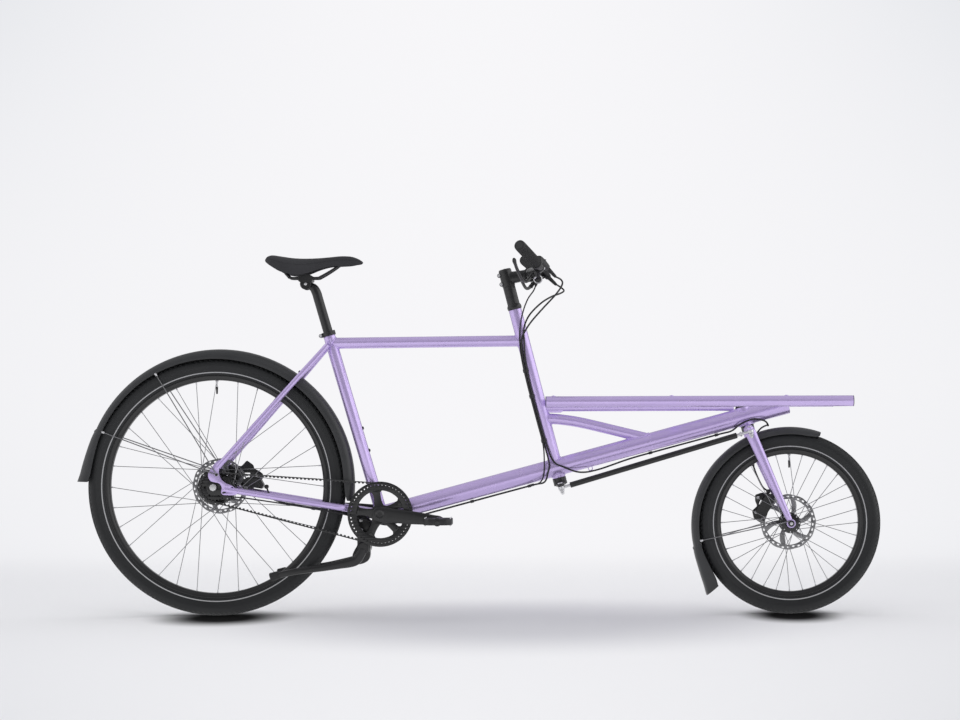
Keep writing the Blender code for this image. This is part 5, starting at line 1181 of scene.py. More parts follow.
        ring = lathe(mm((15, -0.4), (26.2, -0.4), (26.2, 1), (23.5, 2.4), (15, 2.4)),
                     place + Y_AXIS * 0.0012, Y_AXIS, 48)
        self.add(self.label + "_rotor_carrier", ring, bevel=0.0003)
        bolt = hex_head(Vector((0.0225, 0.0, 0.0)), Y_AXIS, 0.0026, 0.0018)
        self.repeat(self.label + "_rotor_bolts", bolt, place + Y_AXIS * 0.003, 6, finish=BARE_STEEL)

    def valve(self) -> None:
        """Valve with its nut and black cap at the top of the rim."""
        inner = self.rim_outer - self.rim_depth
        top = self.axle + Z_AXIS * (inner + 0.001)
        stem = joined(rod(top - Z_AXIS * 0.034, top, 0.0023, steps=16),
                      rod(top - Z_AXIS * 0.0045, top - Z_AXIS * 0.0005, 0.0045, steps=6))
        self.add(self.label + "_valve", stem, finish=BARE_STEEL)
        cap = rod(top - Z_AXIS * 0.04, top - Z_AXIS * 0.019, 0.0025, 0.0033, steps=16)
        self.add(self.label + "_valve_cap", cap, finish=BLACK_PLASTIC)


REAR_HUB_PROFILE = mm((6.3, -50.5), (15.8, -50.5), (16.7, -49.6), (16.7, -40.5), (18, -39.2), (33, -38.8),
                      (34.5, -37.8), (40, -36.6), (44, -35.2), (47, -33.6), (50.9, -33.4), (51.5, -32.6),
                      (51.5, -29.4), (50.9, -28.6), (46.2, -28.4), (44.8, -27), (44.3, -20), (44.6, -19),
                      (44.6, -8), (44, -7), (44, 7), (44.6, 8), (44.6, 19), (44.3, 20), (44.8, 27),
                      (46.2, 28.4), (50.9, 28.6), (51.5, 29.4), (51.5, 32.6), (50.9, 33.4), (47, 33.6),
                      (42, 35.6), (33, 39.2), (28.5, 44), (26.8, 50), (26.2, 53.3), (18, 53.3), (18, 56.5),
                      (17.2, 57.5), (6.3, 57.5))
FRONT_HUB_PROFILE = mm((5.3, -49.5), (9.6, -49.5), (10, -49), (10, -44), (12.8, -43), (14.5, -38),
                       (16, -36.6), (24, -35.6), (28.6, -35.4), (29, -34.8), (29, -31.2), (28.6, -30.6),
                       (20, -30), (16, -28.5), (14.2, -24), (13.5, -12), (13.3, -4), (13.7, 8), (15, 15),
                       (17.5, 18.5), (24, 19.4), (28.6, 19.6), (29, 20.2), (29, 23.8), (28.6, 24.4),
                       (24.5, 25), (22.5, 29), (22.5, 37.2), (18, 37.4), (18, 41.8), (10, 43), (10, 49.5),
                       (5.3, 49.5))


def rear_wheel(model: dict) -> Wheel:
    """The rear wheel with its geared hub."""
    return Wheel(model, hub_profile=REAR_HUB_PROFILE)


def front_wheel(model: dict) -> Wheel:
    """The smaller front wheel."""
    return Wheel(model, label="front", axle=PLACES.front_axle, radius=0.26, rim_outer=0.21, flange=0.029,
                 spoke_inset=0.004, flange_places=(-0.033, 0.022), crosses=2, rotor_place=0.0387,
                 rubber=FRONT_TYRE_RUBBER, hub_profile=FRONT_HUB_PROFILE)


# Frame

@dataclass(frozen=True)
class Seat:
    """Round tube that another tube is fitted to."""

    origin: Vector
    direction: Vector
    radius: float

    def reach(self, point: Vector, heading: Vector) -> float:
        """Distance along a heading from a point to where it leaves the tube.

        Args:
            point: Start, inside the tube.
            heading: Unit direction.

        Returns:
            The distance, or the nearest approach where the line misses the tube.
        """
        offset = point - self.origin
        offset -= self.direction * offset.dot(self.direction)
        across = heading - self.direction * heading.dot(self.direction)
        a = across.length_squared
        b = 2.0 * offset.dot(across)
        c = offset.length_squared - self.radius ** 2
        return (-b + math.sqrt(max(0.0, b * b - 4.0 * a * c))) / (2.0 * a)


def at_height(origin: Vector, direction: Vector, height: float) -> Vector:
    """Point of a slanted line at a height."""
    return origin + direction * ((height - origin.z) / direction.z)


def coped(start: Vector, end: Vector, radius: float, start_seat: Optional[Seat] = None,
          end_seat: Optional[Seat] = None, sides: int = 56) -> Mesh:
    """Round tube whose ends are cut to the tubes that it meets.

    Args:
        start: Start of the centre line.
        end: End of the centre line.
        radius: Radius.
        start_seat: Tube that the start is fitted to.
        end_seat: Tube that the end is fitted to.
        sides: Sides of the tube.

    Returns:
        The tube, closed at its ends.
    """
    heading = (end - start).normalized()
    length = (end - start).length
    first, second = directions(heading, Y_AXIS)
    low, high = [], []
    for offset in ring_points(Vector(), first, second, radius, sides):
        near = start_seat.reach(start + offset, heading) - 0.0006 if start_seat else 0.0
        far = length - (end_seat.reach(end + offset, -heading) - 0.0006 if end_seat else 0.0)
        low.append(start + offset + heading * near)
        high.append(start + offset + heading * far)
    steps = [low] + [[a.lerp(b, t) for a, b in zip(low, high)] for t in (0.25, 0.5, 0.75)] + [high]
    return skinned(steps)


def seam(point: Vector, heading: Vector, radius: float, seat: Seat, count: int = 96) -> list[Vector]:
    """Line where a tube leaves the tube that it is fitted to.

    Args:
        point: Point of the tube's centre line inside the other tube.
        heading: Unit direction of the tube, away from the other one.
        radius: Radius of the tube.
        seat: The other tube.
        count: Number of points.

    Returns:
        The closed line.
    """
    first, second = directions(heading, Y_AXIS)
    return [point + offset + heading * seat.reach(point + offset, heading)
            for offset in ring_points(Vector(), first, second, radius + 0.0002, count)]


def hollow(start: Vector, end: Vector, radius: float, bore: float, lip: float = 0.0008) -> Mesh:
    """Open tube with rounded lips."""
    length = (end - start).length
    profile = [(bore, lip), (bore + lip * 0.4, 0.0), (radius - lip * 0.4, 0.0), (radius, lip),
               (radius, length - lip), (radius - lip * 0.4, length), (bore + lip * 0.4, length),
               (bore, length - lip)]
    return lathe(profile, start, (end - start).normalized(), 56)


@dataclass
class FrameTubes(Assembly):
    """The lilac frame: tubes, stays with dropouts, rack, weld beads and small fittings."""

    finish: ClassVar[Finish] = LILAC
    main_origin: Vector = fixed(-0.27924, 0.0, 0.2866)
    main_dir: Vector = fixed(0.966061, 0.0, 0.258313)
    main_length: float = 1.203
    main_radius: float = 0.0255
    seat_radius: float = 0.017
    top_radius: float = 0.016
    steer_radius: float = 0.0185
    steer_foot: Vector = fixed(0.22835, 0.0, 0.39139)
    steer_top: Vector = fixed(0.10416, 0.0, 0.87159)
    head_radius: float = 0.021
    shell_radius: float = 0.0205
    shell_half: float = 0.0345
    brace_radius: float = 0.015
    beam_radius: float = 0.011
    beam_height: float = 0.591
    rack_top: float = 0.6215
    rail_radius: float = 0.015
    rail_half_gauge: float = 0.25
    rail_start: float = 0.1959
    rail_end: float = 1.0399
    cross_radius: float = 0.0095
    cross_places: tuple[float, ...] = (0.2159, 0.5409, 0.8569)
    seams: list = field(default_factory=list)

    def __post_init__(self) -> None:
        """Set up the tubes that others are fitted to."""
        steer = PLACES.steer_dir
        self.shell_seat = Seat(PLACES.shell, Y_AXIS, self.shell_radius)
        self.seat_seat = Seat(PLACES.shell, PLACES.seat_dir, self.seat_radius)
        self.steer_seat = Seat(PLACES.column_foot, steer, self.steer_radius)
        self.main_seat = Seat(self.main_origin, self.main_dir, self.main_radius)

    def build(self) -> None:
        """Make every piece of the frame."""
        self.main_triangle()
        self.head()
        self.brace()
        for side in Side:
            self.chain_stay(side)
            self.seat_stay(side)
            self.rail(side)
        self.rack()
        self.fittings()
        self.beads()

    def main_triangle(self) -> None:
        """Shell, seat tube, top tube, steering tube and main tube."""
        steer = PLACES.steer_dir
        shell = PLACES.shell
        self.add("bottom_shell", hollow(shell - Y_AXIS * self.shell_half, shell + Y_AXIS * self.shell_half,
                                        self.shell_radius, 0.0134), "bottom_bracket_shell")
        cups = joined(*(lathe(mm((13.5, 0), (19.6, 0), (19.6, 1.2), (18.8, 2), (13.5, 2)),
                              shell + side.out * self.shell_half, side.out, 40) for side in Side))
        self.add("bottom_cups", cups, finish=BLACK_ALLOY)
        low = shell + PLACES.seat_dir * 0.014
        self.add("seat_tube_long", hollow(low, PLACES.seat_top, self.seat_radius, 0.0143), "seat_tube")
        rear = at_height(shell, PLACES.seat_dir, 0.777)
        front = at_height(PLACES.column_foot, steer, 0.782)
        self.add("top_tube_long", coped(rear, front, self.top_radius, self.seat_seat, self.steer_seat),
                 "top_tube")
        self.add("steering_tube_long", hollow(self.steer_foot, self.steer_top, self.steer_radius, 0.0153),
                 "steering_tube")
        start = self.main_origin + self.main_dir * 0.006
        end = self.main_origin + self.main_dir * self.main_length
        self.add("main_tube_long", coped(start, end, self.main_radius, self.shell_seat), "main_tube")
        lid = lathe(mm((0, 0), (23.6, 0), (25.2, -1), (25.2, -3), (0, -3)), end + self.main_dir * 0.0008,
                    self.main_dir, 56)
        self.add("main_tube_lid", lid)
        along = (front - rear).normalized()
        self.seams += [seam(rear, along, self.top_radius, self.seat_seat),
                       seam(front, -along, self.top_radius, self.steer_seat),
                       seam(shell, PLACES.seat_dir, self.seat_radius, self.shell_seat),
                       seam(start, self.main_dir, self.main_radius, self.shell_seat),
                       seam(self.crossing(PLACES.column_foot), steer, self.steer_radius, self.main_seat),
                       seam(self.crossing(PLACES.column_foot), -steer, self.steer_radius, self.main_seat)]

    def crossing(self, origin: Vector) -> Vector:
        """Point where a steering axis through a point meets the main tube's centre line."""
        across = Vector((-self.main_dir.z, 0.0, self.main_dir.x))
        steer = PLACES.steer_dir
        return origin + steer * ((self.main_origin - origin).dot(across) / steer.dot(across))

    def head(self) -> None:
        """Head tube of the fork, through the main tube, with its bearing cups."""
        steer = PLACES.steer_dir
        low = PLACES.head_bottom
        high = low + steer * PLACES.head_length
        self.add("head_tube_short", hollow(low, high, self.head_radius, 0.0153), "front_head_tube")
        cross = self.crossing(low)
        self.seams += [seam(cross, -steer, self.head_radius, self.main_seat),
                       seam(cross, steer, self.head_radius, self.main_seat)]
        cap = lathe(mm((0, 0), (20, 0), (20.5, 0.6), (20, 2.8), (12, 3.4), (0, 3.4)), high, steer, 48)
        self.add("head_cap", cap, finish=BLACK_ALLOY)
        self.add("head_cap_screw", hex_head(high + steer * 0.0033, steer, 0.0048, 0.0018), finish=BARE_STEEL)

    def brace(self) -> None:
        """Bent brace between the steering tube and the main tube."""
        start = at_height(PLACES.column_foot, PLACES.steer_dir, 0.56)
        offsets = ((0.0, 0.0), (0.05, -0.0035), (0.11, -0.013), (0.215, -0.038), (0.3, -0.0585))
        path = smooth_path([start + Vector((x, 0.0, z)) for x, z in offsets], 8)
        rings = []
        for i, (point, ahead) in enumerate(zip(path, headings(path))):
            ring = ring_points(point, *directions(ahead), self.brace_radius, 48)
            if i == 0:
                ring = [spot + ahead * (self.steer_seat.reach(spot, ahead) - 0.0006) for spot in ring]
            elif (point - start).length < 0.026:
                continue
            rings.append(ring)
        self.add("brace_bent", skinned(rings), "brace_tube")
        ahead = (path[1] - path[0]).normalized()
        back = (path[-4] - path[-1]).normalized()
        self.seams += [seam(start, ahead, self.brace_radius, self.steer_seat),
                       seam(path[-1], back, self.brace_radius, self.main_seat)]

    def chain_stay(self, side: Side) -> None:
        """Chain stay with its dropout plate."""
        heading = (PLACES.rear_axle - PLACES.shell).normalized()
        length = (PLACES.rear_axle - PLACES.shell).length
        places = ((0.012, 0.024), (0.06, 0.025), (0.092, 0.0268), (0.13, 0.0415), (0.22, 0.05),
                  (0.34, 0.06), (length - 0.03, 0.0705))
        path = smooth_path([PLACES.shell + heading * along + side.out * out for along, out in places], 7)
        count = len(path) - 1
        sizes = [(0.0105 - 0.0023 * i / count, 0.0105 - 0.0023 * i / count) for i in range(count + 1)]
        sizes[-1] = (0.005, 0.0078)
        self.add("chain_stay_tube_" + side.label, sweep(path, sizes, 32), "chain_stay_" + side.label)
        self.seams.append(seam(path[0], (path[6] - path[0]).normalized(), 0.0104, self.shell_seat, 56))
        self.dropout(side)

    def dropout(self, side: Side) -> None:
        """Dropout plate with its two slots, the black axle slider behind it and its bolts.

        Args:
            side: Side of the bicycle.
        """
        outline = mm((-14.6, 41), (-15, 32), (-12.8, 24.5), (-7.3, 17.2), (4, 14.2), (15, 12.5), (21.5, 6),
                     (24, -1), (22.5, -9), (21.9, -16.5), (27.4, -21.5), (45.6, -22.5), (64, -22), (70, -12),
                     (62, -3), (52.9, 5), (34.7, 11.9), (21.5, 23), (15.5, 39.2), (16, 52), (30, 70),
                     (18, 79), (5, 70))
        slots = []
        for x, z, lean, half in ((0.0335, -0.0125, 0.42, 0.0058), (0.0495, -0.0035, 0.5, 0.0048)):
            slot = []
            for i in range(20):
                turn = math.tau * i / 20
                along = math.cos(turn) * 0.0027 + (half if math.cos(turn) >= 0.0 else -half)
                out = math.sin(turn) * 0.0027
                slot.append((x + along * math.cos(lean) - out * math.sin(lean),
                             z + along * math.sin(lean) + out * math.cos(lean)))
            slots.append(slot)
        middle = PLACES.rear_axle + side.out * 0.0705
        plate = flat_part([rounded_outline(outline, 0.004, 3)] + slots, 0.006, 0.0007, middle)
        self.add("dropout_" + side.label, plate)
        slider = mm((-18.5, 13.5), (-20.5, 0), (-18.5, -13.5), (-8, -21.5), (10, -22.5), (30, -20.5),
                    (56, -15), (58, -2), (40, 8), (20, 12.5), (8, 20.5), (-8, 21.5))
        insert = flat_part([rounded_outline(slider, 0.007, 4), circle_outline(0.0066, 24)], 0.0052, 0.0006,
                           PLACES.rear_axle + side.out * 0.0684)
        self.add("axle_slider_" + side.label, insert, finish=BLACK_ALLOY)
        bolts = [hex_head(PLACES.rear_axle + Vector((x, side.value * 0.0708, z)), side.out, 0.0026, 0.0016)
                 for x, z in ((0.0335, -0.0125), (0.0495, -0.0035))]
        self.add("slider_bolts_" + side.label, joined(*bolts), finish=BLACK_ALLOY)
        nut = lathe(mm((0, 0), (10, 0), (10.8, 0.8), (10.8, 3), (0, 3)),
                    PLACES.rear_axle + side.out * 0.0712, side.out, 40)
        self.add("axle_washer_" + side.label, nut, finish=BLACK_ALLOY)
        self.add("axle_bolt_" + side.label, hex_head(PLACES.rear_axle + side.out * 0.0738, side.out, 0.0072,
                                                     0.0068), finish=BARE_STEEL)

    def seat_stay(self, side: Side) -> None:
        """Seat stay, flattened a little where it meets its dropout."""
        top = at_height(PLACES.shell, PLACES.seat_dir, 0.772) - X_AXIS * 0.01
        foot = PLACES.rear_axle + Vector((0.02, 0.0, 0.066))
        places = ((0.0, 0.0215), (0.06, 0.0235), (0.16, 0.033), (0.27, 0.0425), (0.45, 0.051), (1.0, 0.0705))
        path = smooth_path([top.lerp(foot, along) + side.out * out for along, out in places], 8)
        sizes = [(0.008, 0.008)] * len(path)
        sizes[-1] = (0.005, 0.008)
        path[-1] += (path[-1] - path[-2]).normalized() * 0.01
        self.add("seat_stay_tube_" + side.label, sweep(path, sizes, 28), "seat_stay_" + side.label)
        self.seams.append(seam(path[0], (path[8] - path[0]).normalized(), 0.008, self.seat_seat, 48))
        if side is Side.RIGHT:
            place = top.lerp(foot, 0.245) + Vector((-0.005, side.value * 0.0405, 0.0062))
            self.add("seat_stay_screw", hex_head(place, Vector((-0.72, 0.0, 0.69)), 0.0034, 0.0026),
                     finish=BLACK_ALLOY)

    def rail(self, side: Side) -> None:
        """Side rail of the rack with a plug at each end."""
        height = self.rack_top - self.rail_radius
        start = Vector((self.rail_start, side.value * self.rail_half_gauge, height))
        end = Vector((self.rail_end, side.value * self.rail_half_gauge, height))
        self.add("rail_tube_" + side.label, hollow(start, end, self.rail_radius, 0.0128),
                 "rack_rail_" + side.label)
        plugs = joined(*(lathe(mm((0, -4), (12.7, -4), (12.7, 0), (14.9, 0), (14.9, 1.4), (14.3, 2), (0, 2)),
                               place, way, 40) for place, way in ((start, -X_AXIS), (end, X_AXIS))))
        self.add("rail_plugs_" + side.label, plugs, finish=BLACK_PLASTIC)

    def rack(self) -> None:
        """Cross tubes, and the beam with its gusset."""
        height = self.rack_top - self.rail_radius
        half = self.rail_half_gauge
        for number, x in enumerate(self.cross_places, 1):
            ends = [Vector((x, side.value * half, self.rack_top - self.cross_radius)) for side in Side]
            seats = [Seat(Vector((0.0, side.value * half, height)), X_AXIS, self.rail_radius)
                     for side in Side]
            self.add("cross_tube_%d" % number, coped(ends[0], ends[1], self.cross_radius, seats[0], seats[1],
                                                     36), "rack_cross_%d" % number)
            self.seams += [seam(ends[0], Y_AXIS, self.cross_radius, seats[0], 56),
                           seam(ends[1], -Y_AXIS, self.cross_radius, seats[1], 56)]
        start = at_height(PLACES.column_foot, PLACES.steer_dir, self.beam_height)
        nose = at_height(PLACES.head_bottom, PLACES.steer_dir, self.beam_height).x - self.head_radius - 0.004
        beam = coped(start, Vector((nose, 0.0, self.beam_height)), self.beam_radius, self.steer_seat, None,
                     40)
        self.add("rack_beam_tube", beam, "rack_beam")
        outline = mm((17, 4), (70, 4), (64, -10.5), (58, -14.5), (17, -14.5))
        gusset = flat_part([rounded_outline(outline, 0.004, 3)], 0.015, 0.0008, start)
        self.add("beam_gusset", gusset)
        self.seams.append(seam(start, X_AXIS, self.beam_radius, self.steer_seat, 64))
        on_main = at_height(self.main_origin, self.main_dir, self.beam_height)
        self.seams.append(seam(on_main, -X_AXIS, self.beam_radius, self.main_seat, 64))

    def fittings(self) -> None:
        """Bottle screws on the seat tube, and a cable ring under the main tube."""
        ahead = Vector((PLACES.seat_dir.z, 0.0, -PLACES.seat_dir.x))
        screws = []
        for height in (0.5295, 0.466):
            place = at_height(PLACES.shell, PLACES.seat_dir, height) + ahead * (self.seat_radius - 0.0002)
            screws += [lathe(mm((0, 0), (5.6, 0), (5, 1.4), (0, 1.4)), place, ahead, 24),
                       hex_head(place + ahead * 0.0012, ahead, 0.0038, 0.0024)]
        self.add("bottle_screws", joined(*screws), finish=BLACK_ALLOY)
        below = Vector((self.main_dir.z, 0.0, -self.main_dir.x))
        spot = self.main_origin + self.main_dir * ((0.3109 - self.main_origin.x) / self.main_dir.x)
        spot += below * (self.main_radius + 0.003)
        loop = [spot + self.main_dir * (0.0058 * math.cos(math.pi * i / 14))
                + below * (0.0062 * math.sin(math.pi * i / 14)) for i in range(15)]
        loop = [loop[0] - below * 0.004] + loop + [loop[-1] - below * 0.004]
        self.add("cable_ring", sweep(loop, [(0.0013, 0.0013)] * len(loop), 10))

    def beads(self) -> None:
        """Weld beads along every seam."""
        self.put(grown("weld_beads", line_object(*self.seams, closed=True), weld_tree, LILAC, Radius=0.0019,
                       Ripple=0.13, Pitch=0.003))


# Drive

def block_sweep(path: Sequence[Vector], sizes: Outline, hint: Vector = Y_AXIS, sides: int = 28,
                power: float = 4.0) -> Mesh:
    """Sweep a rounded rectangle along a path.

    Args:
        path: Centre line.
        sizes: Half width along the hint and half depth, for each point.
        hint: Direction of the width.
        sides: Points of the section.
        power: How square the section is; 2 gives an oval.

    Returns:
        The swept solid.
    """
    rings = []
    for point, ahead, (wide, deep) in zip(path, headings(path), sizes):
        first, second = directions(ahead, hint)
        ring = []
        for k in range(sides):
            turn = math.tau * (k + 0.5) / sides
            c, s = math.cos(turn), math.sin(turn)
            ring.append(point + first * (wide * math.copysign(abs(c) ** (2.0 / power), c))
                        + second * (deep * math.copysign(abs(s) ** (2.0 / power), s)))
        rings.append(ring)
    return skinned(rings)


def rounded_ends(path: Sequence[Vector], sizes: Outline, steps: int = 6,
                 close: float = 0.0016) -> tuple[list[Vector], list[tuple[float, float]]]:
    """Smooth a swept path with its sizes, and draw both ends in a little.

    Args:
        path: Points of the path.
        sizes: Half width and half depth at each point.
        steps: Steps between two points.
        close: How far the ends round over.

    Returns:
        The finer path and its sizes.
    """
    fine = smooth_path(path, steps)
    widths = smooth_path([Vector((wide, deep, 0.0)) for wide, deep in sizes], steps)
    sized = [(max(0.0005, size.x), max(0.0005, size.y)) for size in widths]
    for end, inward in ((0, 1), (-1, -2)):
        way = (fine[inward] - fine[end]).normalized()
        tip, size = fine[end].copy(), sized[end]
        extra = [(tip, (size[0] * 0.72, size[1] * 0.72)),
                 (tip + way * (close * 0.35), (size[0] * 0.92, size[1] * 0.92)), (tip + way * close, size)]
        if end == 0:
            fine[:1] = [point for point, _ in extra]
            sized[:1] = [pair for _, pair in extra]
        else:
            fine[-1:] = [point for point, _ in reversed(extra)]
            sized[-1:] = [pair for _, pair in reversed(extra)]
    return fine, sized


@dataclass
class Drive(Assembly):
    """Belt drive: belt, chainring, sprocket, cranks and pedals."""

    body: ClassVar[str] = "crank"
    pitch: float = 0.011
    belt_teeth: int = 124
    ring_teeth: int = 50
    sprocket_teeth: int = 24
    belt_line: float = 0.045
    belt_width: float = 0.0105
    land: float = 0.001
    tooth_depth: float = 0.0034
    tooth_root: float = 0.0066
    tooth_tip: float = 0.0044
    spider_radius: float = 0.068
    crank_length: float = 0.17
    crank_angle: float = math.radians(-6.0)
    crank_inner: float = 0.0535
    crank_flare: float = 0.008
    crank_thick: float = 0.013
    pedal_width: float = 0.092
    pedal_half: float = 0.04

    def __post_init__(self) -> None:
        """Work out the belt's run."""
        self.ring_radius = self.ring_teeth * self.pitch / math.tau
        self.sprocket_radius = self.sprocket_teeth * self.pitch / math.tau
        gap = PLACES.shell - PLACES.rear_axle
        self.lean = math.asin((self.ring_radius - self.sprocket_radius) / gap.length)
        heading = math.atan2(gap.z, gap.x)
        self.straight = gap.length * math.cos(self.lean)
        self.wrap = self.sprocket_radius * (math.pi - 2.0 * self.lean)
        self.top_angle = heading + math.pi / 2 + self.lean
        self.low_angle = heading - math.pi / 2 - self.lean

    def build(self) -> None:
        """Make every piece of the drive."""
        self.belt()
        self.chainring()
        self.sprocket()
        self.cranks()
        for side in Side:
            self.pedal(side)

    def at(self, along: float) -> tuple[Vector, Vector]:
        """Point of the belt's pitch line and its outward normal.

        Args:
            along: Length from where the belt leaves the chainring's top, going back.

        Returns:
            The point in the bicycle's plane, and the normal.
        """
        along %= self.pitch * self.belt_teeth
        if along < self.straight:
            normal = at_angle(self.top_angle, 1.0)
            return (PLACES.shell + normal * self.ring_radius + Vector((-normal.z, 0.0, normal.x)) * along,
                    normal)
        along -= self.straight
        if along < self.wrap:
            normal = at_angle(self.top_angle + along / self.sprocket_radius, 1.0)
            return PLACES.rear_axle + normal * self.sprocket_radius, normal
        along -= self.wrap
        if along < self.straight:
            normal = at_angle(self.low_angle, 1.0)
            return (PLACES.rear_axle + normal * self.sprocket_radius + Vector((-normal.z, 0.0, normal.x))
                    * along, normal)
        normal = at_angle(self.low_angle + (along - self.straight) / self.ring_radius, 1.0)
        return PLACES.shell + normal * self.ring_radius, normal

    def belt(self) -> None:
        """Toothed belt with a grooved back."""
        outer, inner = [], []
        for tooth in range(self.belt_teeth):
            middle = tooth * self.pitch
            for shift, rise in ((-0.5, 0.0018), (-0.36, 0.0018), (-0.3, 0.0013), (-0.1, 0.0013),
                                (-0.04, 0.0018), (0.28, 0.0018)):
                point, normal = self.at(middle + shift * self.pitch)
                outer.append(point + normal * rise)
            deep = self.land + self.tooth_depth
            for shift, depth in ((-self.tooth_root / 2 - 0.0007, self.land),
                                 (-self.tooth_root / 2 + 0.0002, self.land + 0.0006),
                                 (-self.tooth_tip / 2, deep - 0.0005), (-self.tooth_tip / 2 + 0.0006, deep),
                                 (self.tooth_tip / 2 - 0.0006, deep), (self.tooth_tip / 2, deep - 0.0005),
                                 (self.tooth_root / 2 - 0.0002, self.land + 0.0006),
                                 (self.tooth_root / 2 + 0.0007, self.land)):
                point, normal = self.at(middle + shift)
                inner.append(point - normal * depth)
        outlines = [[(point.x, point.z) for point in line] for line in (outer, inner)]
        bm = flat_part(outlines, self.belt_width, 0.0003, Y_AXIS * -self.belt_line)
        self.add("toothed_belt", bm, "belt", body="frame", finish=BELT_RUBBER, angle=50.0)

    def toothed(self, radius: float, teeth: int, first_angle: float) -> list[tuple[float, float]]:
        """Outline of a belt wheel with rounded grooves at the belt's teeth."""
        slack = 0.0007
        top = radius - self.land - slack
        floor = top - self.tooth_depth - slack
        mouth = (self.tooth_root / 2 + slack) / top
        base = (self.tooth_tip / 2 + slack) / floor
        points = []
        for i in range(teeth):
            angle = first_angle + math.tau * i / teeth
            for reach, shift in ((top, -mouth - 0.01), (top - 0.0004, -mouth), (floor + 0.0007, -base),
                                 (floor, -base * 0.7), (floor, base * 0.7), (floor + 0.0007, base),
                                 (top - 0.0004, mouth), (top, mouth + 0.01)):
                points.append((reach * math.cos(angle + shift), reach * math.sin(angle + shift)))
        return points

    def chainring(self) -> None:
        """Chainring, and the guard rim with small windows beside it."""
        place = PLACES.shell - Y_AXIS * self.belt_line
        ring = flat_part([self.toothed(self.ring_radius, self.ring_teeth, self.top_angle),
                          circle_outline(self.spider_radius + 0.0006, 96)], self.belt_width, 0.0004, place)
        self.add("chainring_toothed", ring, "chainring")
        windows = [circle_outline(0.0019, 10, (0.0838 * math.cos(angle), 0.0838 * math.sin(angle)))
                   for angle in (self.top_angle + math.tau * i / self.ring_teeth
                                 for i in range(self.ring_teeth))]
        rim = flat_part([circle_outline(0.0928, 120), circle_outline(self.spider_radius - 0.0004, 96)]
                        + windows, 0.0014, 0.0003, place - Y_AXIS * 0.0062)
        self.add("chainring_guard", rim)

    def sprocket(self) -> None:
        """Rear sprocket and its lock ring."""
        past = math.ceil(self.straight / self.pitch) * self.pitch - self.straight
        outline = self.toothed(self.sprocket_radius, self.sprocket_teeth,
                               self.top_angle + past / self.sprocket_radius)
        holes = [circle_outline(0.0042, 16, (0.0262 * math.cos(math.tau * i / 6),
                                             0.0262 * math.sin(math.tau * i / 6))) for i in range(6)]
        place = PLACES.rear_axle - Y_AXIS * self.belt_line
        bm = flat_part([outline, circle_outline(0.0176, 40)] + holes, self.belt_width, 0.0004, place)
        self.add("sprocket_toothed", bm, "rear_sprocket", body="rear_sprocket")
        ring = lathe(mm((17.8, -6.2), (20.8, -6.2), (21.4, -5.6), (21.4, -5), (17.8, -5)), place, Y_AXIS, 48)
        self.add("sprocket_lock_ring", ring, body="rear_sprocket", finish=BARE_STEEL)

    def cranks(self) -> None:
        """Spindle, five armed spider and both crank arms."""
        shell = PLACES.shell
        face = self.belt_line - 0.0025
        outline = []
        for i in range(5):
            middle = math.radians(28.0) + math.tau * i / 5
            for reach, shift in ((0.0275, -0.6), (0.03, -0.42), (0.04, -0.262), (0.052, -0.196),
                                 (0.062, -0.182), (0.0672, -0.24), (0.0682, -0.3), (0.069, 0.0),
                                 (0.0682, 0.3), (0.0672, 0.24), (0.062, 0.182), (0.052, 0.196),
                                 (0.04, 0.262), (0.03, 0.42)):
                outline.append((reach * math.cos(middle + shift), reach * math.sin(middle + shift)))
        spider = flat_part([outline], 0.0062, 0.0012, shell - Y_AXIS * (face + 0.0031))
        self.add("crank_spider", spider, "crankset")
        bolts = hex_head(Vector((0.0625, 0.0, 0.0)), -Y_AXIS, 0.0044, 0.0012)
        self.repeat("chainring_bolts", bolts, shell - Y_AXIS * (face + 0.0061), 5, finish=BLACK_GLOSS,
                    phase=-math.radians(28.0))
        reach = self.crank_inner + self.crank_thick
        parts = [rod(shell - Y_AXIS * (reach - 0.003), shell + Y_AXIS * (reach - 0.003), 0.012),
                 lathe(mm((0, 0), (20.5, 0), (22.5, 3), (22.2, 15), (18.5, 18.5), (0, 18.5)),
                       shell - Y_AXIS * 0.0362, -Y_AXIS, 56),
                 lathe(mm((0, 0), (16.5, 0), (16.8, 1), (16, 18), (0, 18)), shell + Y_AXIS * 0.0358, Y_AXIS,
                       48)]
        self.add("crank_spindle", joined(*parts))
        for side in Side:
            self.crank_arm(side)

    def crank_arm(self, side: Side) -> None:
        """One crank arm with its cap."""
        angle = self.crank_angle + (math.pi if side is Side.LEFT else 0.0)
        heading = at_angle(angle, 1.0)
        stations = ((-0.0195, 0.013, 0.8), (-0.01, 0.0195, 1.0), (0.01, 0.0212, 1.0), (0.04, 0.0203, 1.0),
                    (0.09, 0.0188, 0.97), (0.13, 0.016, 0.93), (0.155, 0.014, 0.9),
                    (self.crank_length, 0.0132, 0.9), (self.crank_length + 0.0115, 0.0085, 0.8))
        path, sizes = [], []
        for along, half, thick in stations:
            flare = self.crank_flare * max(0.0, min(1.0, along / self.crank_length))
            path.append(PLACES.shell + heading * along
                        + side.out * (self.crank_inner + self.crank_thick / 2 + flare))
            sizes.append((self.crank_thick / 2 * thick, half))
        fine, sized = rounded_ends(path, sizes, 5, 0.003)
        self.add("crank_arm_" + side.label, block_sweep(fine, sized, Y_AXIS, 36, 3.6), angle=60.0)
        out = side.out
        face = PLACES.shell + out * (self.crank_inner + self.crank_thick - 0.0004)
        cap = lathe(mm((0, 0), (12.8, 0), (12.8, 1.2), (11.8, 1.8), (10, 1.2), (6.8, 0.8), (6, 0.2),
                       (0, 0.2)), face, out, 48)
        self.add("crank_cap_" + side.label, cap, finish=BLACK_GLOSS)

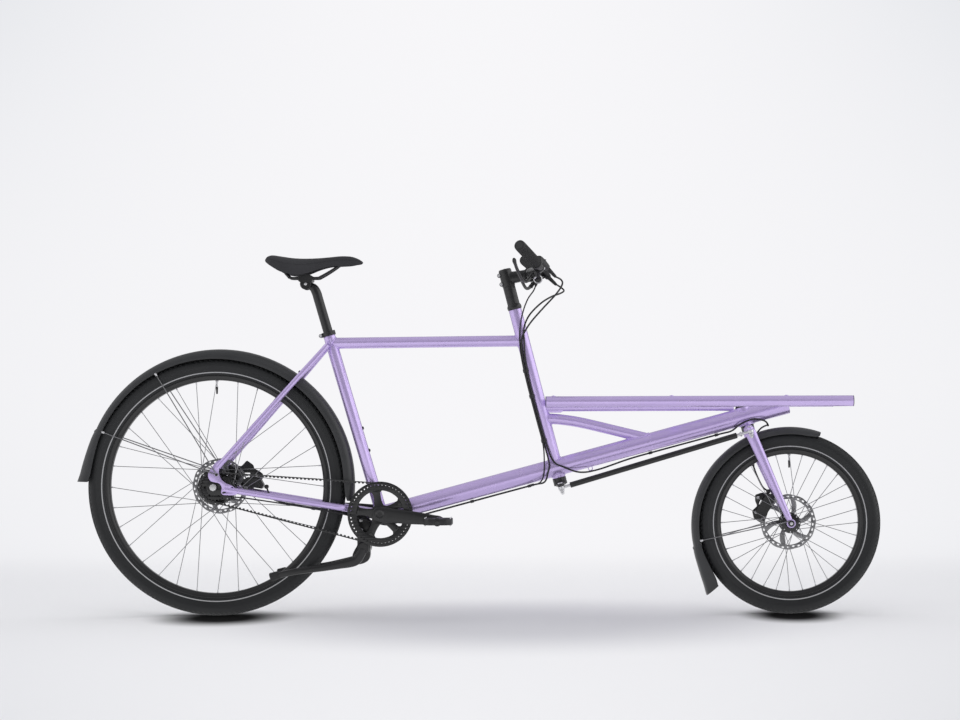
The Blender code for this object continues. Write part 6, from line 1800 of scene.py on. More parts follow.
    def pedal(self, side: Side) -> None:
        """Platform pedal: cage, barrel, pins, spindle and end cap."""
        angle = self.crank_angle + (math.pi if side is Side.LEFT else 0.0)
        root = self.crank_inner + self.crank_flare
        face = root + self.crank_thick + 0.004
        sign = side.value
        centre = PLACES.shell + at_angle(angle, self.crank_length)
        half, width, rim = self.pedal_half, self.pedal_width, 0.008
        middle = centre + side.out * (face + width / 2)
        deep = width / 2
        body = side.label + "_pedal"
        outline = [(-half + 0.01, -deep), (half - 0.01, -deep), (half, -deep + 0.012), (half, deep - 0.014),
                   (half - 0.014, deep), (-half + 0.014, deep), (-half, deep - 0.014),
                   (-half, -deep + 0.012)]
        windows = []
        for way in (-1.0, 1.0):
            for low, high in ((-deep + 0.016, -0.004), (0.004, deep - 0.016)):
                windows.append(rounded_outline([(way * 0.0145, low), (way * (half - rim), low),
                                                (way * (half - rim), high), (way * 0.0145, high)], 0.005, 4))
        outlines = [rounded_outline(outline, 0.008, 4)] + windows
        outlines = [[(x, sign * y) for x, y in line] for line in outlines]
        cage = flat_part(outlines, 0.018, 0.0022, middle, lying=True)
        self.add("pedal_cage_" + side.label, cage, "pedal_" + side.label, body=body, finish=BLACK_PLASTIC)
        inner = centre + side.out * (face - 0.003)
        outer = centre + side.out * (face + width + 0.0006)
        self.add("pedal_barrel_" + side.label, rod(inner, outer, 0.0118, round_off=0.0016), body=body,
                 finish=BLACK_PLASTIC)
        self.add("pedal_spindle_" + side.label, rod(centre + side.out * (root + 0.001), inner, 0.0064),
                 body=body, finish=BARE_STEEL)
        self.add("pedal_end_" + side.label, hex_head(outer, side.out, 0.0062, 0.001), body=body,
                 finish=BLACK_GLOSS)
        studs = [hex_head(middle + Vector((way * (half - 0.0072), sign * (deep - 0.0148), 0.0)), side.out,
                          0.0034, 0.0016) for way in (-1.0, 1.0)]
        self.add("pedal_studs_" + side.label, joined(*studs), body=body, finish=BARE_STEEL)
        pins = []
        for up in (-1.0, 1.0):
            for x in (-half + 0.0045, half - 0.0045):
                pins.append(rod(middle + Vector((x, -0.03, up * 0.0085)),
                                middle + Vector((x, -0.03, up * 0.0118)), 0.0015, steps=8))
        item = mesh_object("pin", joined(*pins))
        row = grown("pedal_pins_" + side.label, item, row_tree, BARE_STEEL, Count=4, Step_Y=0.02)
        self.put(row, body=body, finish=BARE_STEEL)
        cover = rod(centre + side.out * (self.crank_inner + self.crank_flare - 0.0006),
                    centre + side.out * (root + 0.0012), 0.0068)
        self.add("pedal_thread_" + side.label, cover, finish=BARE_STEEL)


# Steering and its controls

def linkage_plate(axis_point: Vector, offset: float, low: float, thick: float) -> Mesh:
    """Arm from a steering axis to the rod's eye on its right, as a rounded plate.

    Args:
        axis_point: Point of the axis, level with the eye.
        offset: Distance of the eye.
        low: Height of the plate's lower face over the eye's middle, along the axis.
        thick: Thickness of the plate.

    Returns:
        The plate.
    """
    wide, narrow = 0.0152, 0.0098
    outline = []
    for i in range(13):
        turn = math.pi + math.pi * i / 12
        outline.append((wide * math.cos(turn), wide * math.sin(turn)))
    for i in range(13):
        turn = math.pi * i / 12
        outline.append((narrow * math.cos(turn), offset + narrow * math.sin(turn)))
    bm = flat_part([outline, circle_outline(0.0036, 16, (0.0, offset * 0.42))], thick, 0.001,
                   Y_AXIS * (low + thick / 2))
    steer = PLACES.steer_dir
    matrix = Matrix((steer.cross(-Y_AXIS), steer, -Y_AXIS)).transposed().to_4x4()
    bmesh.ops.transform(bm, matrix=Matrix.Translation(axis_point) @ matrix, verts=bm.verts)
    bmesh.ops.recalc_face_normals(bm, faces=bm.faces)
    return bm


def eye_stud(eye: Vector, low: float) -> Mesh:
    """Stud through a rod's eye with its nut below.

    Args:
        eye: Middle of the eye.
        low: Height over the eye at which the stud starts.

    Returns:
        The stud and the nut.
    """
    steer = PLACES.steer_dir
    parts = ((low + 0.0075, -0.0195, 0.0038, 0.0008, 20), (low + 0.0062, low + 0.0105, 0.0066, 0.0006, 6),
             (-0.0048, -0.0056, 0.0075, 0.0002, 24), (-0.0056, -0.0116, 0.0068, 0.0006, 6),
             (-0.0122, -0.0152, 0.0058, 0.0006, 6))
    return joined(*(rod(eye + steer * start, eye + steer * end, radius, round_off=soft, steps=sides)
                    for start, end, radius, soft, sides in parts))


@dataclass
class Steering(Assembly):
    """Steering column, its arm, stem and handlebar, and the tie rod."""

    body: ClassVar[str] = "steering"
    foot: Vector = fixed(0.23548, 0.0, 0.36379)
    tube_foot: float = 0.02851
    tube_top: float = 0.52451
    collar_height: float = 0.016
    spacer_height: float = 0.052
    stem_height: float = 0.048
    bar_shape: ClassVar[list] = mm((0, 0, 0), (0, 45, 0), (6, 78, 1.5), (18, 112, 4), (25, 150, 8),
                                   (22, 185, 15), (-26, 300, 61))

    def build(self) -> None:
        """Make every piece of the steering."""
        self.column()
        self.stem()
        self.bar()
        for side in Side:
            self.grip(side)
        self.tie_rod()

    def along(self, distance: float) -> Vector:
        """Point of the column's axis above its foot."""
        return self.foot + PLACES.steer_dir * distance

    def column(self) -> None:
        """Steerer with collar, spacers, lower ring and arm."""
        steer = PLACES.steer_dir
        collar = self.tube_top + self.collar_height
        top = collar + self.spacer_height
        profile = [(0.0, self.tube_foot + 0.002), (0.0143, self.tube_foot + 0.002), (0.0143, top + 0.048),
                   (0.0, top + 0.048)]
        self.add("steerer_tube", lathe(profile, self.foot, steer, 48), "steering_shaft")
        bulge = [(0.0196 + 0.0011 * math.sin(math.pi * i / 8), self.tube_top + 0.0012 + 0.0105 * i / 8)
                 for i in range(9)]
        cup = lathe([(0.0, self.tube_top + 0.0004), (0.019, self.tube_top + 0.0004), *bulge,
                     (0.0184, collar - 0.0022), (0.0176, collar), (0.0, collar)], self.foot, steer, 64)
        self.add("upper_bearing_cup", cup)
        groove = [(0.0, collar), (0.0173, collar), (0.0175, collar + 0.0004)]
        for share in (0.4, 0.8):
            level = collar + self.spacer_height * share
            groove += [(0.0175, level - 0.0004), (0.0172, level - 0.0001), (0.0172, level + 0.0001),
                       (0.0175, level + 0.0004)]
        groove += [(0.0175, top - 0.0004), (0.0173, top), (0.0, top)]
        self.add("column_spacers", lathe(groove, self.foot, steer, 56), angle=25.0)
        ring = lathe([(0.0, 0.0068), (0.0185, 0.0068), (0.0194, 0.0076), (0.0194, 0.015), (0.0188, 0.0158),
                      (0.0188, 0.0168), (0.0194, 0.0176), (0.0194, self.tube_foot - 0.0012),
                      (0.0186, self.tube_foot - 0.0004), (0.0, self.tube_foot - 0.0004)], self.foot, steer,
                     56)
        self.add("column_lower_ring", ring, angle=25.0)
        self.add("column_arm", linkage_plate(self.foot, PLACES.eye_offset, 0.0048, 0.007))
        eye = self.foot - Y_AXIS * PLACES.eye_offset
        self.add("column_stud", eye_stud(eye, 0.0048), finish=BARE_STEEL)
        screw = hex_head(self.foot + steer * 0.0068, -steer, 0.0085, 0.0022)
        self.add("column_foot_screw", screw, finish=BARE_STEEL)

    def stem(self) -> None:
        """Stem with its clamps, screws and top cap."""
        steer = PLACES.steer_dir
        clamp = PLACES.shaft_top - steer * (self.stem_height / 2)
        bar = PLACES.bar_centre
        half = self.stem_height / 2 - 0.0003
        body = lathe([(0.0145, -half + 0.001), (0.0155, -half), (0.0176, -half), (0.0185, -half + 0.001),
                      (0.0187, 0.0), (0.0185, half - 0.001), (0.0176, half), (0.0155, half),
                      (0.0145, half - 0.001)], clamp, steer, 56)
        self.add("stem_clamp", body, "stem")
        back = Vector((-steer.z, 0.0, steer.x))
        reach = (bar - clamp).normalized()
        path, sizes = rounded_ends([clamp + reach * 0.004, clamp + reach * 0.02, clamp + reach * 0.045,
                                    bar - reach * 0.006],
                                   [(0.0168, 0.018), (0.016, 0.0172), (0.015, 0.016), (0.0165, 0.0165)], 5,
                                   0.002)
        self.add("stem_extension", block_sweep(path, sizes, Y_AXIS, 32, 2.8), angle=60.0)
        holder = lathe(mm((16.3, -22.8), (17, -24), (20.5, -24), (21.5, -22.8), (21.5, 22.8), (20.5, 24),
                          (17, 24), (16.3, 22.8)), bar, Y_AXIS, 56)
        self.add("stem_bar_clamp", holder)
        screws = []
        for up in (-0.0135, 0.0135):
            for out in (-0.0165, 0.0165):
                lug = bar + Vector((-reach.z, 0.0, reach.x)) * up * 1.28 + Y_AXIS * out
                screws.append(hex_head(lug + reach * 0.0125, reach, 0.0036, 0.004))
        self.add("bar_clamp_screws", joined(*screws), finish=BLACK_GLOSS)
        ears, bolts = [], []
        for level in (-0.013, 0.013):
            middle = clamp + back * 0.0195 + steer * level
            ears.append(rod(middle - Y_AXIS * 0.0105, middle + Y_AXIS * 0.0105, 0.0056, round_off=0.001,
                            steps=28))
            bolts.append(hex_head(middle - Y_AXIS * 0.0104, -Y_AXIS, 0.0042, 0.0034))
        self.add("stem_ears", joined(*ears))
        self.add("stem_screws", joined(*bolts), finish=BARE_STEEL)
        top = PLACES.shaft_top
        cap = lathe(mm((0, -1.2), (17.2, -1.2), (17.8, 0.2), (17.2, 2.4), (15, 3.4), (6, 3.8), (0, 3.8)),
                    top, steer, 48)
        self.add("stem_top_cap", cap, finish=BLACK_GLOSS)
        self.add("top_cap_screw", hex_head(top + steer * 0.0036, steer, 0.0038, 0.0012), finish=BARE_STEEL)

    def bar_half(self, side: Side) -> list[Vector]:
        """Centre line of one half of the bar, from the stem outwards."""
        return [PLACES.bar_centre + Vector((x, side.value * y, z)) for x, y, z in self.bar_shape]

    def bar(self) -> None:
        """Swept and raised bar, thicker in the middle."""
        path = list(reversed(self.bar_half(Side.RIGHT)[1:])) + self.bar_half(Side.LEFT)
        fine = smooth_path(path, 8)
        sizes = []
        for point in fine:
            share = min(1.0, max(0.0, (0.08 - abs(point.y)) / 0.03))
            share = share * share * (3.0 - 2.0 * share)
            radius = 0.0111 + 0.0047 * share
            sizes.append((radius, radius))
        self.add("riser_bar", sweep(fine, sizes, 32, Z_AXIS), "handlebar")

    def grip(self, side: Side) -> None:
        """Ribbed grip with a lock ring and a plain closed end."""
        points = self.bar_half(side)
        end = points[-1]
        out = (points[-1] - points[-2]).normalized()
        length = 0.125
        profile = [(0.0118, -length + 0.0008), (0.016, -length + 0.0008), (0.0164, -length + 0.003)]
        count = 23
        first, last = -length + 0.012, -0.008
        for i in range(count):
            level = first + (last - first) * i / (count - 1)
            profile += [(0.015, level - 0.0019), (0.0159, level - 0.0012), (0.0159, level + 0.0012),
                        (0.015, level + 0.0019)]
        profile += [(0.0155, -0.004), (0.0155, -0.0008), (0.0149, 0.0016), (0.013, 0.0031), (0.0, 0.0032),
                    (0.0, 0.0014), (0.0118, 0.0014)]
        self.add("ribbed_grip_" + side.label, lathe(profile, end, out, 40), "grip_" + side.label,
                 finish=GRIP_RUBBER, angle=30.0)
        ring = lathe([(0.0116, -length - 0.0002), (0.0166, -length - 0.0002), (0.0172, -length + 0.0006),
                      (0.0172, -length + 0.0066), (0.0166, -length + 0.0074), (0.0116, -length + 0.0074)],
                     end, out, 48)
        self.add("grip_lock_ring_" + side.label, ring)
        disc = lathe(mm((0, 0), (9.8, 0), (10.4, 0.6), (9.8, 1.2), (0, 1.2)), end + out * 0.0024, out, 40)
        self.add("grip_end_disc_" + side.label, disc, finish=BLACK_GLOSS)

    def tie_rod(self) -> None:
        """Black tie rod between two steel rod ends."""
        column_eye = self.foot - Y_AXIS * PLACES.eye_offset
        heading = (PLACES.fork_eye - column_eye).normalized()
        steer = PLACES.steer_dir
        bar = rod(column_eye + heading * 0.026, PLACES.fork_eye - heading * 0.04, 0.008, round_off=0.001,
                  steps=36)
        self.add("tie_rod_bar", bar, "tie_rod", body="tie_rod")
        parts = []
        for eye, way in ((column_eye, 1.0), (PLACES.fork_eye, -1.0)):
            parts.append(lathe(mm((4.7, -3.8), (6, -4.4), (8, -4.4), (9.1, -3.4), (9.1, 3.4), (8, 4.4),
                                  (6, 4.4), (4.7, 3.8)), eye, steer, 36))
            parts.append(rod(eye + heading * (way * 0.0078), eye + heading * (way * 0.044), 0.004, steps=20))
            parts.append(rod(eye + heading * (way * 0.026), eye + heading * (way * 0.0305), 0.0066,
                             round_off=0.0005, steps=6))
        self.add("tie_rod_ends", joined(*parts), body="tie_rod", finish=BARE_STEEL)


@dataclass
class Controls(Assembly):
    """Brake levers with their master cylinders, and the shifter."""

    body: ClassVar[str] = "steering"
    boss_half: float = 0.0034
    pod_offset: Vector = fixed(0.021, -0.128, -0.0215)

    def build(self) -> None:
        """Make the controls of both sides and the shifter."""
        for side in Side:
            self.master(side)
            self.lever(side)
        self.shifter()

    def at(self, side: Side, x: float, y: float, z: float) -> Vector:
        """Point measured from the bar's middle towards one side."""
        return PLACES.bar_centre + Vector((x, side.value * y, z))

    def master(self, side: Side) -> None:
        """Bar clamp, reservoir, hose boot and hinge lugs."""
        along = Vector((-0.1, side.value, 0.1)).normalized()
        clamp = self.at(side, 0.0241, 0.16, 0.01)
        body = self.at(side, 0.026, 0.15, 0.031)
        drop = 0.006 * (1.0 + side.value)
        middle = self.at(side, 0.046, 0.118, 0.012 - drop)
        tip = self.at(side, 0.07, 0.09, -0.0125 - drop)
        label = side.label
        ring = lathe(mm((11.8, -9), (14.7, -9), (15.5, -8), (15.5, 8), (14.7, 9), (11.8, 9)), clamp, along,
                     48)
        self.add("control_clamp_" + label, ring)
        run = (middle - body).normalized()
        path, sizes = rounded_ends([body - run * 0.01, body, body.lerp(middle, 0.5), middle,
                                    middle + run * 0.004],
                                   [(0.0088, 0.008), (0.0104, 0.0098), (0.0102, 0.0096), (0.0084, 0.008),
                                    (0.007, 0.0066)], 5, 0.003)
        self.add("master_cylinder_" + label, block_sweep(path, sizes, Z_AXIS, 28, 3.2),
                 "brake_clamp_" + label, finish=BLACK_PLASTIC, angle=60.0)
        cover = body.lerp(middle, 0.35) + Vector((0.003, 0.0, 0.0085))
        lid = lathe(mm((0, 0), (8.6, 0), (9, 0.6), (8.6, 1.8), (0, 2)), cover,
                    Vector((0.25, 0.0, 0.97)).normalized(), 36)
        self.add("reservoir_lid_" + label, lid, finish=BLACK_GLOSS)
        neck = rod(clamp, body, 0.0072, 0.0062, steps=20)
        pull = (tip - middle).normalized()
        length = (tip - middle).length
        bellows = [(0.0, 0.0), (0.0062, 0.0)]
        for i in range(6):
            level = length * (0.14 + 0.13 * i)
            wide = 0.0062 - 0.0018 * level / length
            bellows += [(wide, level - 0.0012), (wide - 0.0008, level), (wide, level + 0.0012)]
        bellows += [(0.004, length - 0.001), (0.0036, length), (0.0, length)]
        self.add("hose_boot_" + label, lathe(bellows, middle, pull, 28), finish=GRIP_RUBBER, angle=30.0)
        pivot = self.at(side, 0.006, 0.146, -0.01)
        hinge = Vector((0.582, side.value * 0.424, -0.693)).normalized()
        near = pivot + hinge * (self.boss_half + 0.0003)
        lug = rod(clamp, pivot + hinge * 0.0094, 0.0042, steps=16)
        self.add("lever_hinge_" + label,
                 joined(neck, lug, rod(near, near + hinge * 0.0085, 0.0066, round_off=0.0008)))
        screw = joined(hex_head(near + hinge * 0.0084, hinge, 0.004, 0.0016),
                       hex_head(clamp + Vector((0.015, 0.0, -0.003)), Vector((1.0, 0.0, -0.2)).normalized(),
                                0.0032, 0.0022))
        self.add("control_screws_" + label, screw, finish=BARE_STEEL)

    def lever(self, side: Side) -> None:
        """Curved lever blade with a rounded tip, on its boss."""
        blade = [self.at(side, *spot) for spot in ((0.006, 0.146, -0.01), (-0.008, 0.165, -0.028),
                                                   (-0.02, 0.195, -0.028), (-0.034, 0.236, -0.002),
                                                   (-0.043, 0.272, 0.026))]
        fine = smooth_path(blade, 9)
        count = len(fine) - 1
        sizes = []
        for i in range(count + 1):
            share = i / count
            tip = max(0.0, (share - 0.9) / 0.1)
            sizes.append((0.006 - 0.0015 * math.sin(math.pi * share)
                          + 0.0014 * math.sin(math.pi * 0.5 * tip),
                          0.004 + 0.0022 * math.sin(math.pi * 0.5 * tip)))
        for back, share in ((0, 0.55), (1, 0.86), (2, 0.97)):
            sizes[count - back] = (sizes[count - back][0] * share, sizes[count - back][1] * share)
        pivot = blade[0]
        hinge = Vector((0.582, side.value * 0.424, -0.693)).normalized()
        boss = rod(pivot - hinge * self.boss_half, pivot + hinge * (self.boss_half - 0.0001), 0.0066,
                   round_off=0.0007)
        self.add("lever_blade_" + side.label, joined(block_sweep(fine, sizes, Z_AXIS, 24, 2.6), boss),
                 "brake_lever_" + side.label, body=side.label + "_lever", angle=60.0)

    def shifter(self) -> None:
        """Shifter pod under the bar with its barrel adjuster and thumb lever."""
        pod = PLACES.bar_centre + self.pod_offset
        case = lathe(mm((0, -8), (10, -8), (12.2, -6.4), (12.6, -4), (12.6, 5), (11.8, 7.6), (0, 8)), pod,
                     Y_AXIS, 56)
        mount = PLACES.bar_centre + Vector((0.0241, -0.156, -0.0032))
        self.add("shifter_case", joined(case, rod(pod, mount, 0.005, steps=20)), finish=BLACK_PLASTIC)
        rim = lathe(mm((9.8, -8.4), (11.2, -8.8), (12.4, -7.8), (12.6, -6.2), (11, -6.6), (9.8, -7.4)), pod,
                    Y_AXIS, 56)
        self.add("shifter_rim", rim, finish=BARE_STEEL)
        self.add("shifter_screw", hex_head(pod - Y_AXIS * 0.008, -Y_AXIS, 0.0036, 0.0014),
                 finish=BLACK_GLOSS)
        way = Vector((-0.22, 0.05, -0.97)).normalized()
        start = pod + Vector((-0.004, -0.003, -0.0075))
        knurl = [(0.0, 0.0), (0.0042, 0.0)]
        for i in range(5):
            knurl += [(0.0044, 0.0012 + 0.0018 * i), (0.0038, 0.002 + 0.0018 * i)]
        knurl += [(0.003, 0.0108), (0.0026, 0.0135), (0.0, 0.0135)]
        self.add("barrel_adjuster", lathe(knurl, start, way, 24), finish=BLACK_PLASTIC, angle=30.0)
        hub = rod(pod + Y_AXIS * 0.0115, pod + Y_AXIS * 0.0084, 0.0085, round_off=0.0006)
        spots = [pod + Vector(spot) for spot in ((0.0, 0.01, 0.0), (-0.012, 0.011, -0.01),
                                                 (-0.022, 0.008, -0.022))]
        path, sizes = rounded_ends(spots, [(0.0016, 0.0045), (0.0016, 0.005), (0.0018, 0.0065)], 7, 0.002)
        self.add("shift_paddle", joined(hub, block_sweep(path, sizes, Y_AXIS, 24, 2.6)), "shift_lever",
                 body="shifter_lever", finish=BLACK_PLASTIC, angle=60.0)


# Fork

@dataclass
class Fork(Assembly):
    """Front fork: steerer, crown, blades, axle ends and steering arm."""

    body: ClassVar[str] = "fork"
    finish: ClassVar[Finish] = LILAC
    half_width: float = 0.0505

    def build(self) -> None:
        """Make every piece of the fork."""
        crown, steer = PLACES.crown, PLACES.steer_dir
        top = PLACES.head_bottom + steer * PLACES.head_length
        core = [rod(crown, top - steer * 0.001, 0.0143, steps=48), self.crown_bar()]
        core += [self.blade(side) for side in Side]
        self.add("fork_blades", joined(*core), "fork", angle=60.0)
        self.add("fork_arm", linkage_plate(PLACES.fork_eye + Y_AXIS * PLACES.eye_offset, PLACES.eye_offset,
                                           0.0048, 0.007))
        self.add("fork_stud", eye_stud(PLACES.fork_eye, 0.0048), finish=BARE_STEEL)
        race = lathe(mm((0, -6), (17.2, -6), (18.5, -3), (18.7, 4), (18.7, 10.8), (19.2, 11.8), (19.2, 13.7),
                        (0, 13.7)), crown, steer, 56)
        self.add("fork_crown_race", race, finish=BLACK_ALLOY)
        cap = lathe(mm((0, 0), (18.8, 0), (19.2, 1), (18.6, 5), (15.8, 7.2), (0, 7.8)), top + steer * 0.0003,
                    steer, 56)
        self.add("head_top_cap", cap, finish=BLACK_ALLOY)
        self.add("head_cap_screw", hex_head(top + steer * 0.0078, steer, 0.0052, 0.0016), finish=BARE_STEEL)
        for side in Side:
            self.tip(side)
        for side in Side:
            ring = ring_points(crown + side.out * 0.0352, X_AXIS, Z_AXIS, 0.0136, 72)
            bead = grown("fork_bead_" + side.label, line_object(ring, closed=True), weld_tree, LILAC,
                         Radius=0.0014, Ripple=0.12, Pitch=0.002)
            self.put(bead)

    def crown_bar(self) -> Mesh:
        """Round bar of the crown with domed ends."""
        crown, reach = PLACES.crown, 0.05
        profile = [(0.0, -reach), (0.0075, -reach + 0.0008), (0.0118, -reach + 0.0036),
                   (0.0132, -reach + 0.008), (0.0132, reach - 0.008), (0.0118, reach - 0.0036),
                   (0.0075, reach - 0.0008), (0.0, reach)]
        return lathe(profile, crown, Y_AXIS, 48)

    def blade(self, side: Side) -> Mesh:
        """Oval tapered blade from the crown to the dropout."""
        top, end = PLACES.crown, PLACES.front_axle
        path, sizes = [], []
        for share, wide, deep in ((0.0, 0.85, 0.95), (0.05, 0.97, 1.0), (0.1, 1.0, 1.0), (0.3, 0.97, 0.93),
                                  (0.55, 0.9, 0.78), (0.75, 0.81, 0.66), (0.92, 0.7, 0.56),
                                  (0.972, 0.5, 0.5)):
            spread = 0.045 + 0.011 * max(0.0, (share - 0.1) / 0.9)
            path.append(top.lerp(end, share) + side.out * spread)
            sizes.append((0.01 * wide, 0.0155 * deep))
        fine, sized = rounded_ends(path, sizes, 4, 0.002)
        return sweep(fine, sized, 36, Y_AXIS)

    def tip(self, side: Side) -> None:
        """Dropout disc, axle end and its screw."""
        out = side.out
        axle = PLACES.front_axle
        disc = lathe(mm((0, 0), (12, 0), (12.8, 1), (12.8, 8), (11.8, 9.5), (0, 9.5)),
                     axle + out * self.half_width, out, 48)
        self.add("fork_tip_" + side.label, disc)
        nut = lathe(mm((0, 0), (9.2, 0), (9.2, 2.8), (8.2, 4.4), (0, 5)),
                    axle + out * (self.half_width + 0.0095), out, 40)
        self.add("fork_axle_head_" + side.label, nut, finish=BLACK_GLOSS)
        end = hex_head(axle + out * (self.half_width + 0.0143), out, 0.0044, 0.0012)
        self.add("fork_axle_end_" + side.label, end, finish=BARE_STEEL)


# Guards, brakes and stand

@dataclass
class Guards(Assembly):
    """Both mudguards with their flaps, wire stays and clamps."""

    finish: ClassVar[Finish] = BARE_STEEL
    half: float = 0.032
    skirt: float = 0.02
    wall: float = 0.0018
    wire: float = 0.0016

    def build(self) -> None:
        """Make both guards and their stays."""
        rear_centre = PLACES.rear_axle + Vector((0.008, 0.0, 0.007))
        flap = ((1.0, 0.003, 1.08, 1.2), (9.0, 0.006, 1.13, 1.45), (17.0, 0.0128, 1.18, 1.7),
                (21.0, 0.0203, 1.2, 1.75))
        self.guard("rear", rear_centre, -7.4, 157.7, 0.386, 0.0, 0.0095, flap, "frame")
        flap = ((1.0, 0.012, 1.08, 1.2), (10.0, 0.017, 1.14, 1.55), (19.0, 0.028, 1.17, 2.0),
                (25.0, 0.041, 1.18, 2.15))
        self.guard("front", PLACES.front_axle, 71.0, 196.0, 0.274, 0.009, 0.0, flap, "fork")
        eyelet = PLACES.rear_axle + Vector((0.01, 0.0, 0.036))
        reach = 0.0675 + 0.006 + self.wire + 0.0008
        for index, angle in enumerate((119.5, 155.5)):
            nodes = ("rear_guard_stays",) if index == 0 else ()
            self.stay("rear_stay_" + str(index + 1), rear_centre, angle, 0.386, eyelet, reach, "frame",
                      *nodes)
        for side in Side:
            out = side.out
            eye = rod(eyelet + out * (reach - self.wire - 0.0004), eyelet + out * (reach + 0.003), 0.005,
                      steps=24)
            self.add("rear_stay_eye_" + side.label, eye)
            head = hex_head(eyelet + out * (reach + 0.003), out, 0.0042, 0.0022)
            self.add("rear_stay_screw_" + side.label, head, finish=BLACK_GLOSS)
        eyelet = PLACES.front_axle + Vector((-0.002, 0.0, 0.0075))
        self.stay("front_stay", PLACES.front_axle, 191.0, 0.274 + 0.0085, eyelet,
                  0.0505 + 0.0095 + self.wire + 0.0008, "fork", "front_guard_stay")
        bridges = [(rear_centre, 97.0, 0.386, "frame", "rear"),
                   (PLACES.front_axle, 118.0, 0.274, "fork", "front")]
        for centre, angle, radius, body, label in bridges:
            out = at_angle(math.radians(angle), 1.0)
            head = hex_head(centre + out * (radius - 0.0035), -out, 0.0042, 0.0018)
            self.add(label + "_guard_screw", head, body=body)

    def guard(self, label: str, centre: Vector, first: float, last: float, radius: float, swell: float,
              deeper: float, flap: Sequence[tuple[float, float, float, float]], body: str) -> None:
        """One mudguard shell with its flap.

        Args:
            label: Front or rear.
            centre: Centre of its arc.
            first: Angle of its front end, in degrees.
            last: Angle at which the flap starts.
            radius: Outer radius.
            swell: How far the rear half stands out.
            deeper: How much deeper the skirt is towards the front end.
            flap: Stations of the flap as (turn, growth, width share, skirt share).
            body: Body that it moves with.
        """
        stations = []
        for i in range(73):
            grow = swell * max(0.0, (i / 6 - 6.0) / 6.0)
            taper = min(1.0, 0.55 + 0.45 * math.sqrt(min(1.0, i / 4.0)))
            angle = first + (last - first) * i / 72
            deep = self.skirt + deeper * min(1.0, max(0.0, (128.0 - angle) / 50.0))
            stations.append((angle, radius + grow, self.half * (0.9 + 0.1 * taper), deep * taper))
        self.shell(label + "_mudguard_shell", centre, stations, body, label + "_mudguard")
        points = smooth_path([Vector(item[1:]) for item in flap], 5)
        turns = smooth_path([Vector((item[0], 0.0, 0.0)) for item in flap], 5)
        stations = [(last - 2.0, radius + swell - 0.0004 + 0.0016, self.half * 1.05, self.skirt * 1.12)]
        for turn, point in zip(turns, points):
            stations.append((last + turn.x, radius + point.x, self.half * point.y, self.skirt * point.z))
        self.shell(label + "_mudguard_flap", centre, stations, body)
        screws = []
        for y in (-0.012, 0.012):
            out = at_angle(math.radians(last - 1.0), 1.0)
            screws.append(hex_head(centre + out * (radius + swell + 0.0008) + Y_AXIS * y, out, 0.0034,
                                   0.0014))
        self.add(label + "_flap_screws", joined(*screws), body=body, finish=BLACK_GLOSS)

    def shell(self, name: str, centre: Vector, stations: Sequence[tuple[float, float, float, float]],
              body: str, *nodes: str) -> None:
        """Thin shell through stations, with thicker edges."""
        rings = []
        power = 2.0 / 2.8
        for angle, radius, half, skirt in stations:
            out = at_angle(math.radians(angle), 1.0)
            outer, inner = [], []
            for k in range(17):
                turn = math.pi * (0.5 - 0.5 * math.cos(math.pi * k / 16))
                c, s = math.cos(turn), max(0.0, math.sin(turn))
                y, depth = -half * math.copysign(abs(c) ** power, c), skirt * (1.0 - s ** power)
                thick = self.wall if depth < 0.8 * skirt else self.wall * 1.6
                outer.append((y, depth))
                inner.append((y * (1.0 - thick / half), depth + (thick if depth < 0.97 * skirt else 0.0)))
            rings.append([centre + out * (radius - depth) + Y_AXIS * y for y, depth in outer + inner[::-1]])
        self.add(name, skinned(rings), *nodes, body=body, finish=GUARD_PLASTIC, angle=50.0)

    def stay(self, name: str, centre: Vector, angle: float, radius: float, eyelet: Vector, reach: float,
             body: str, *nodes: str) -> None:
        """Wire stay from one eyelet under the guard to the other, with a clamp on each edge."""
        out = at_angle(math.radians(angle), 1.0)
        inside = self.half - self.wall - self.wire - 0.0018
        radius -= 0.0011
        start = eyelet - Y_AXIS * reach
        edge = centre + out * (radius - self.skirt - 0.004) - Y_AXIS * (inside + 0.0012)
        straight = start + (edge - start).normalized() * 0.03
        straight.y = start.y
        half = [start, straight, start.lerp(edge, 0.5), edge,
                centre + out * (radius - self.skirt * 0.55) - Y_AXIS * (inside - 0.001),
                centre + out * (radius - 0.0068) - Y_AXIS * (inside * 0.62),
                centre + out * (radius - 0.005) - Y_AXIS * 0.006]
        path = mirrored_path(half)
        self.tube(name, smooth_path(path, 5), self.wire, *nodes, body=body, finish=SPOKE_STEEL, sides=10)
        clamps = []
        for side in Side:
            spot = centre + out * (radius - self.skirt - 0.0005) + side.out * ((inside + 0.0012))
            clamps.append(rod(spot - out * 0.008, spot + out * 0.004, 0.0032, steps=14))
            clamps.append(rod(spot - out * 0.002, spot - out * 0.002 + side.out * 0.0042, 0.0036, steps=6))
        self.add(name + "_clamps", joined(*clamps), body=body)


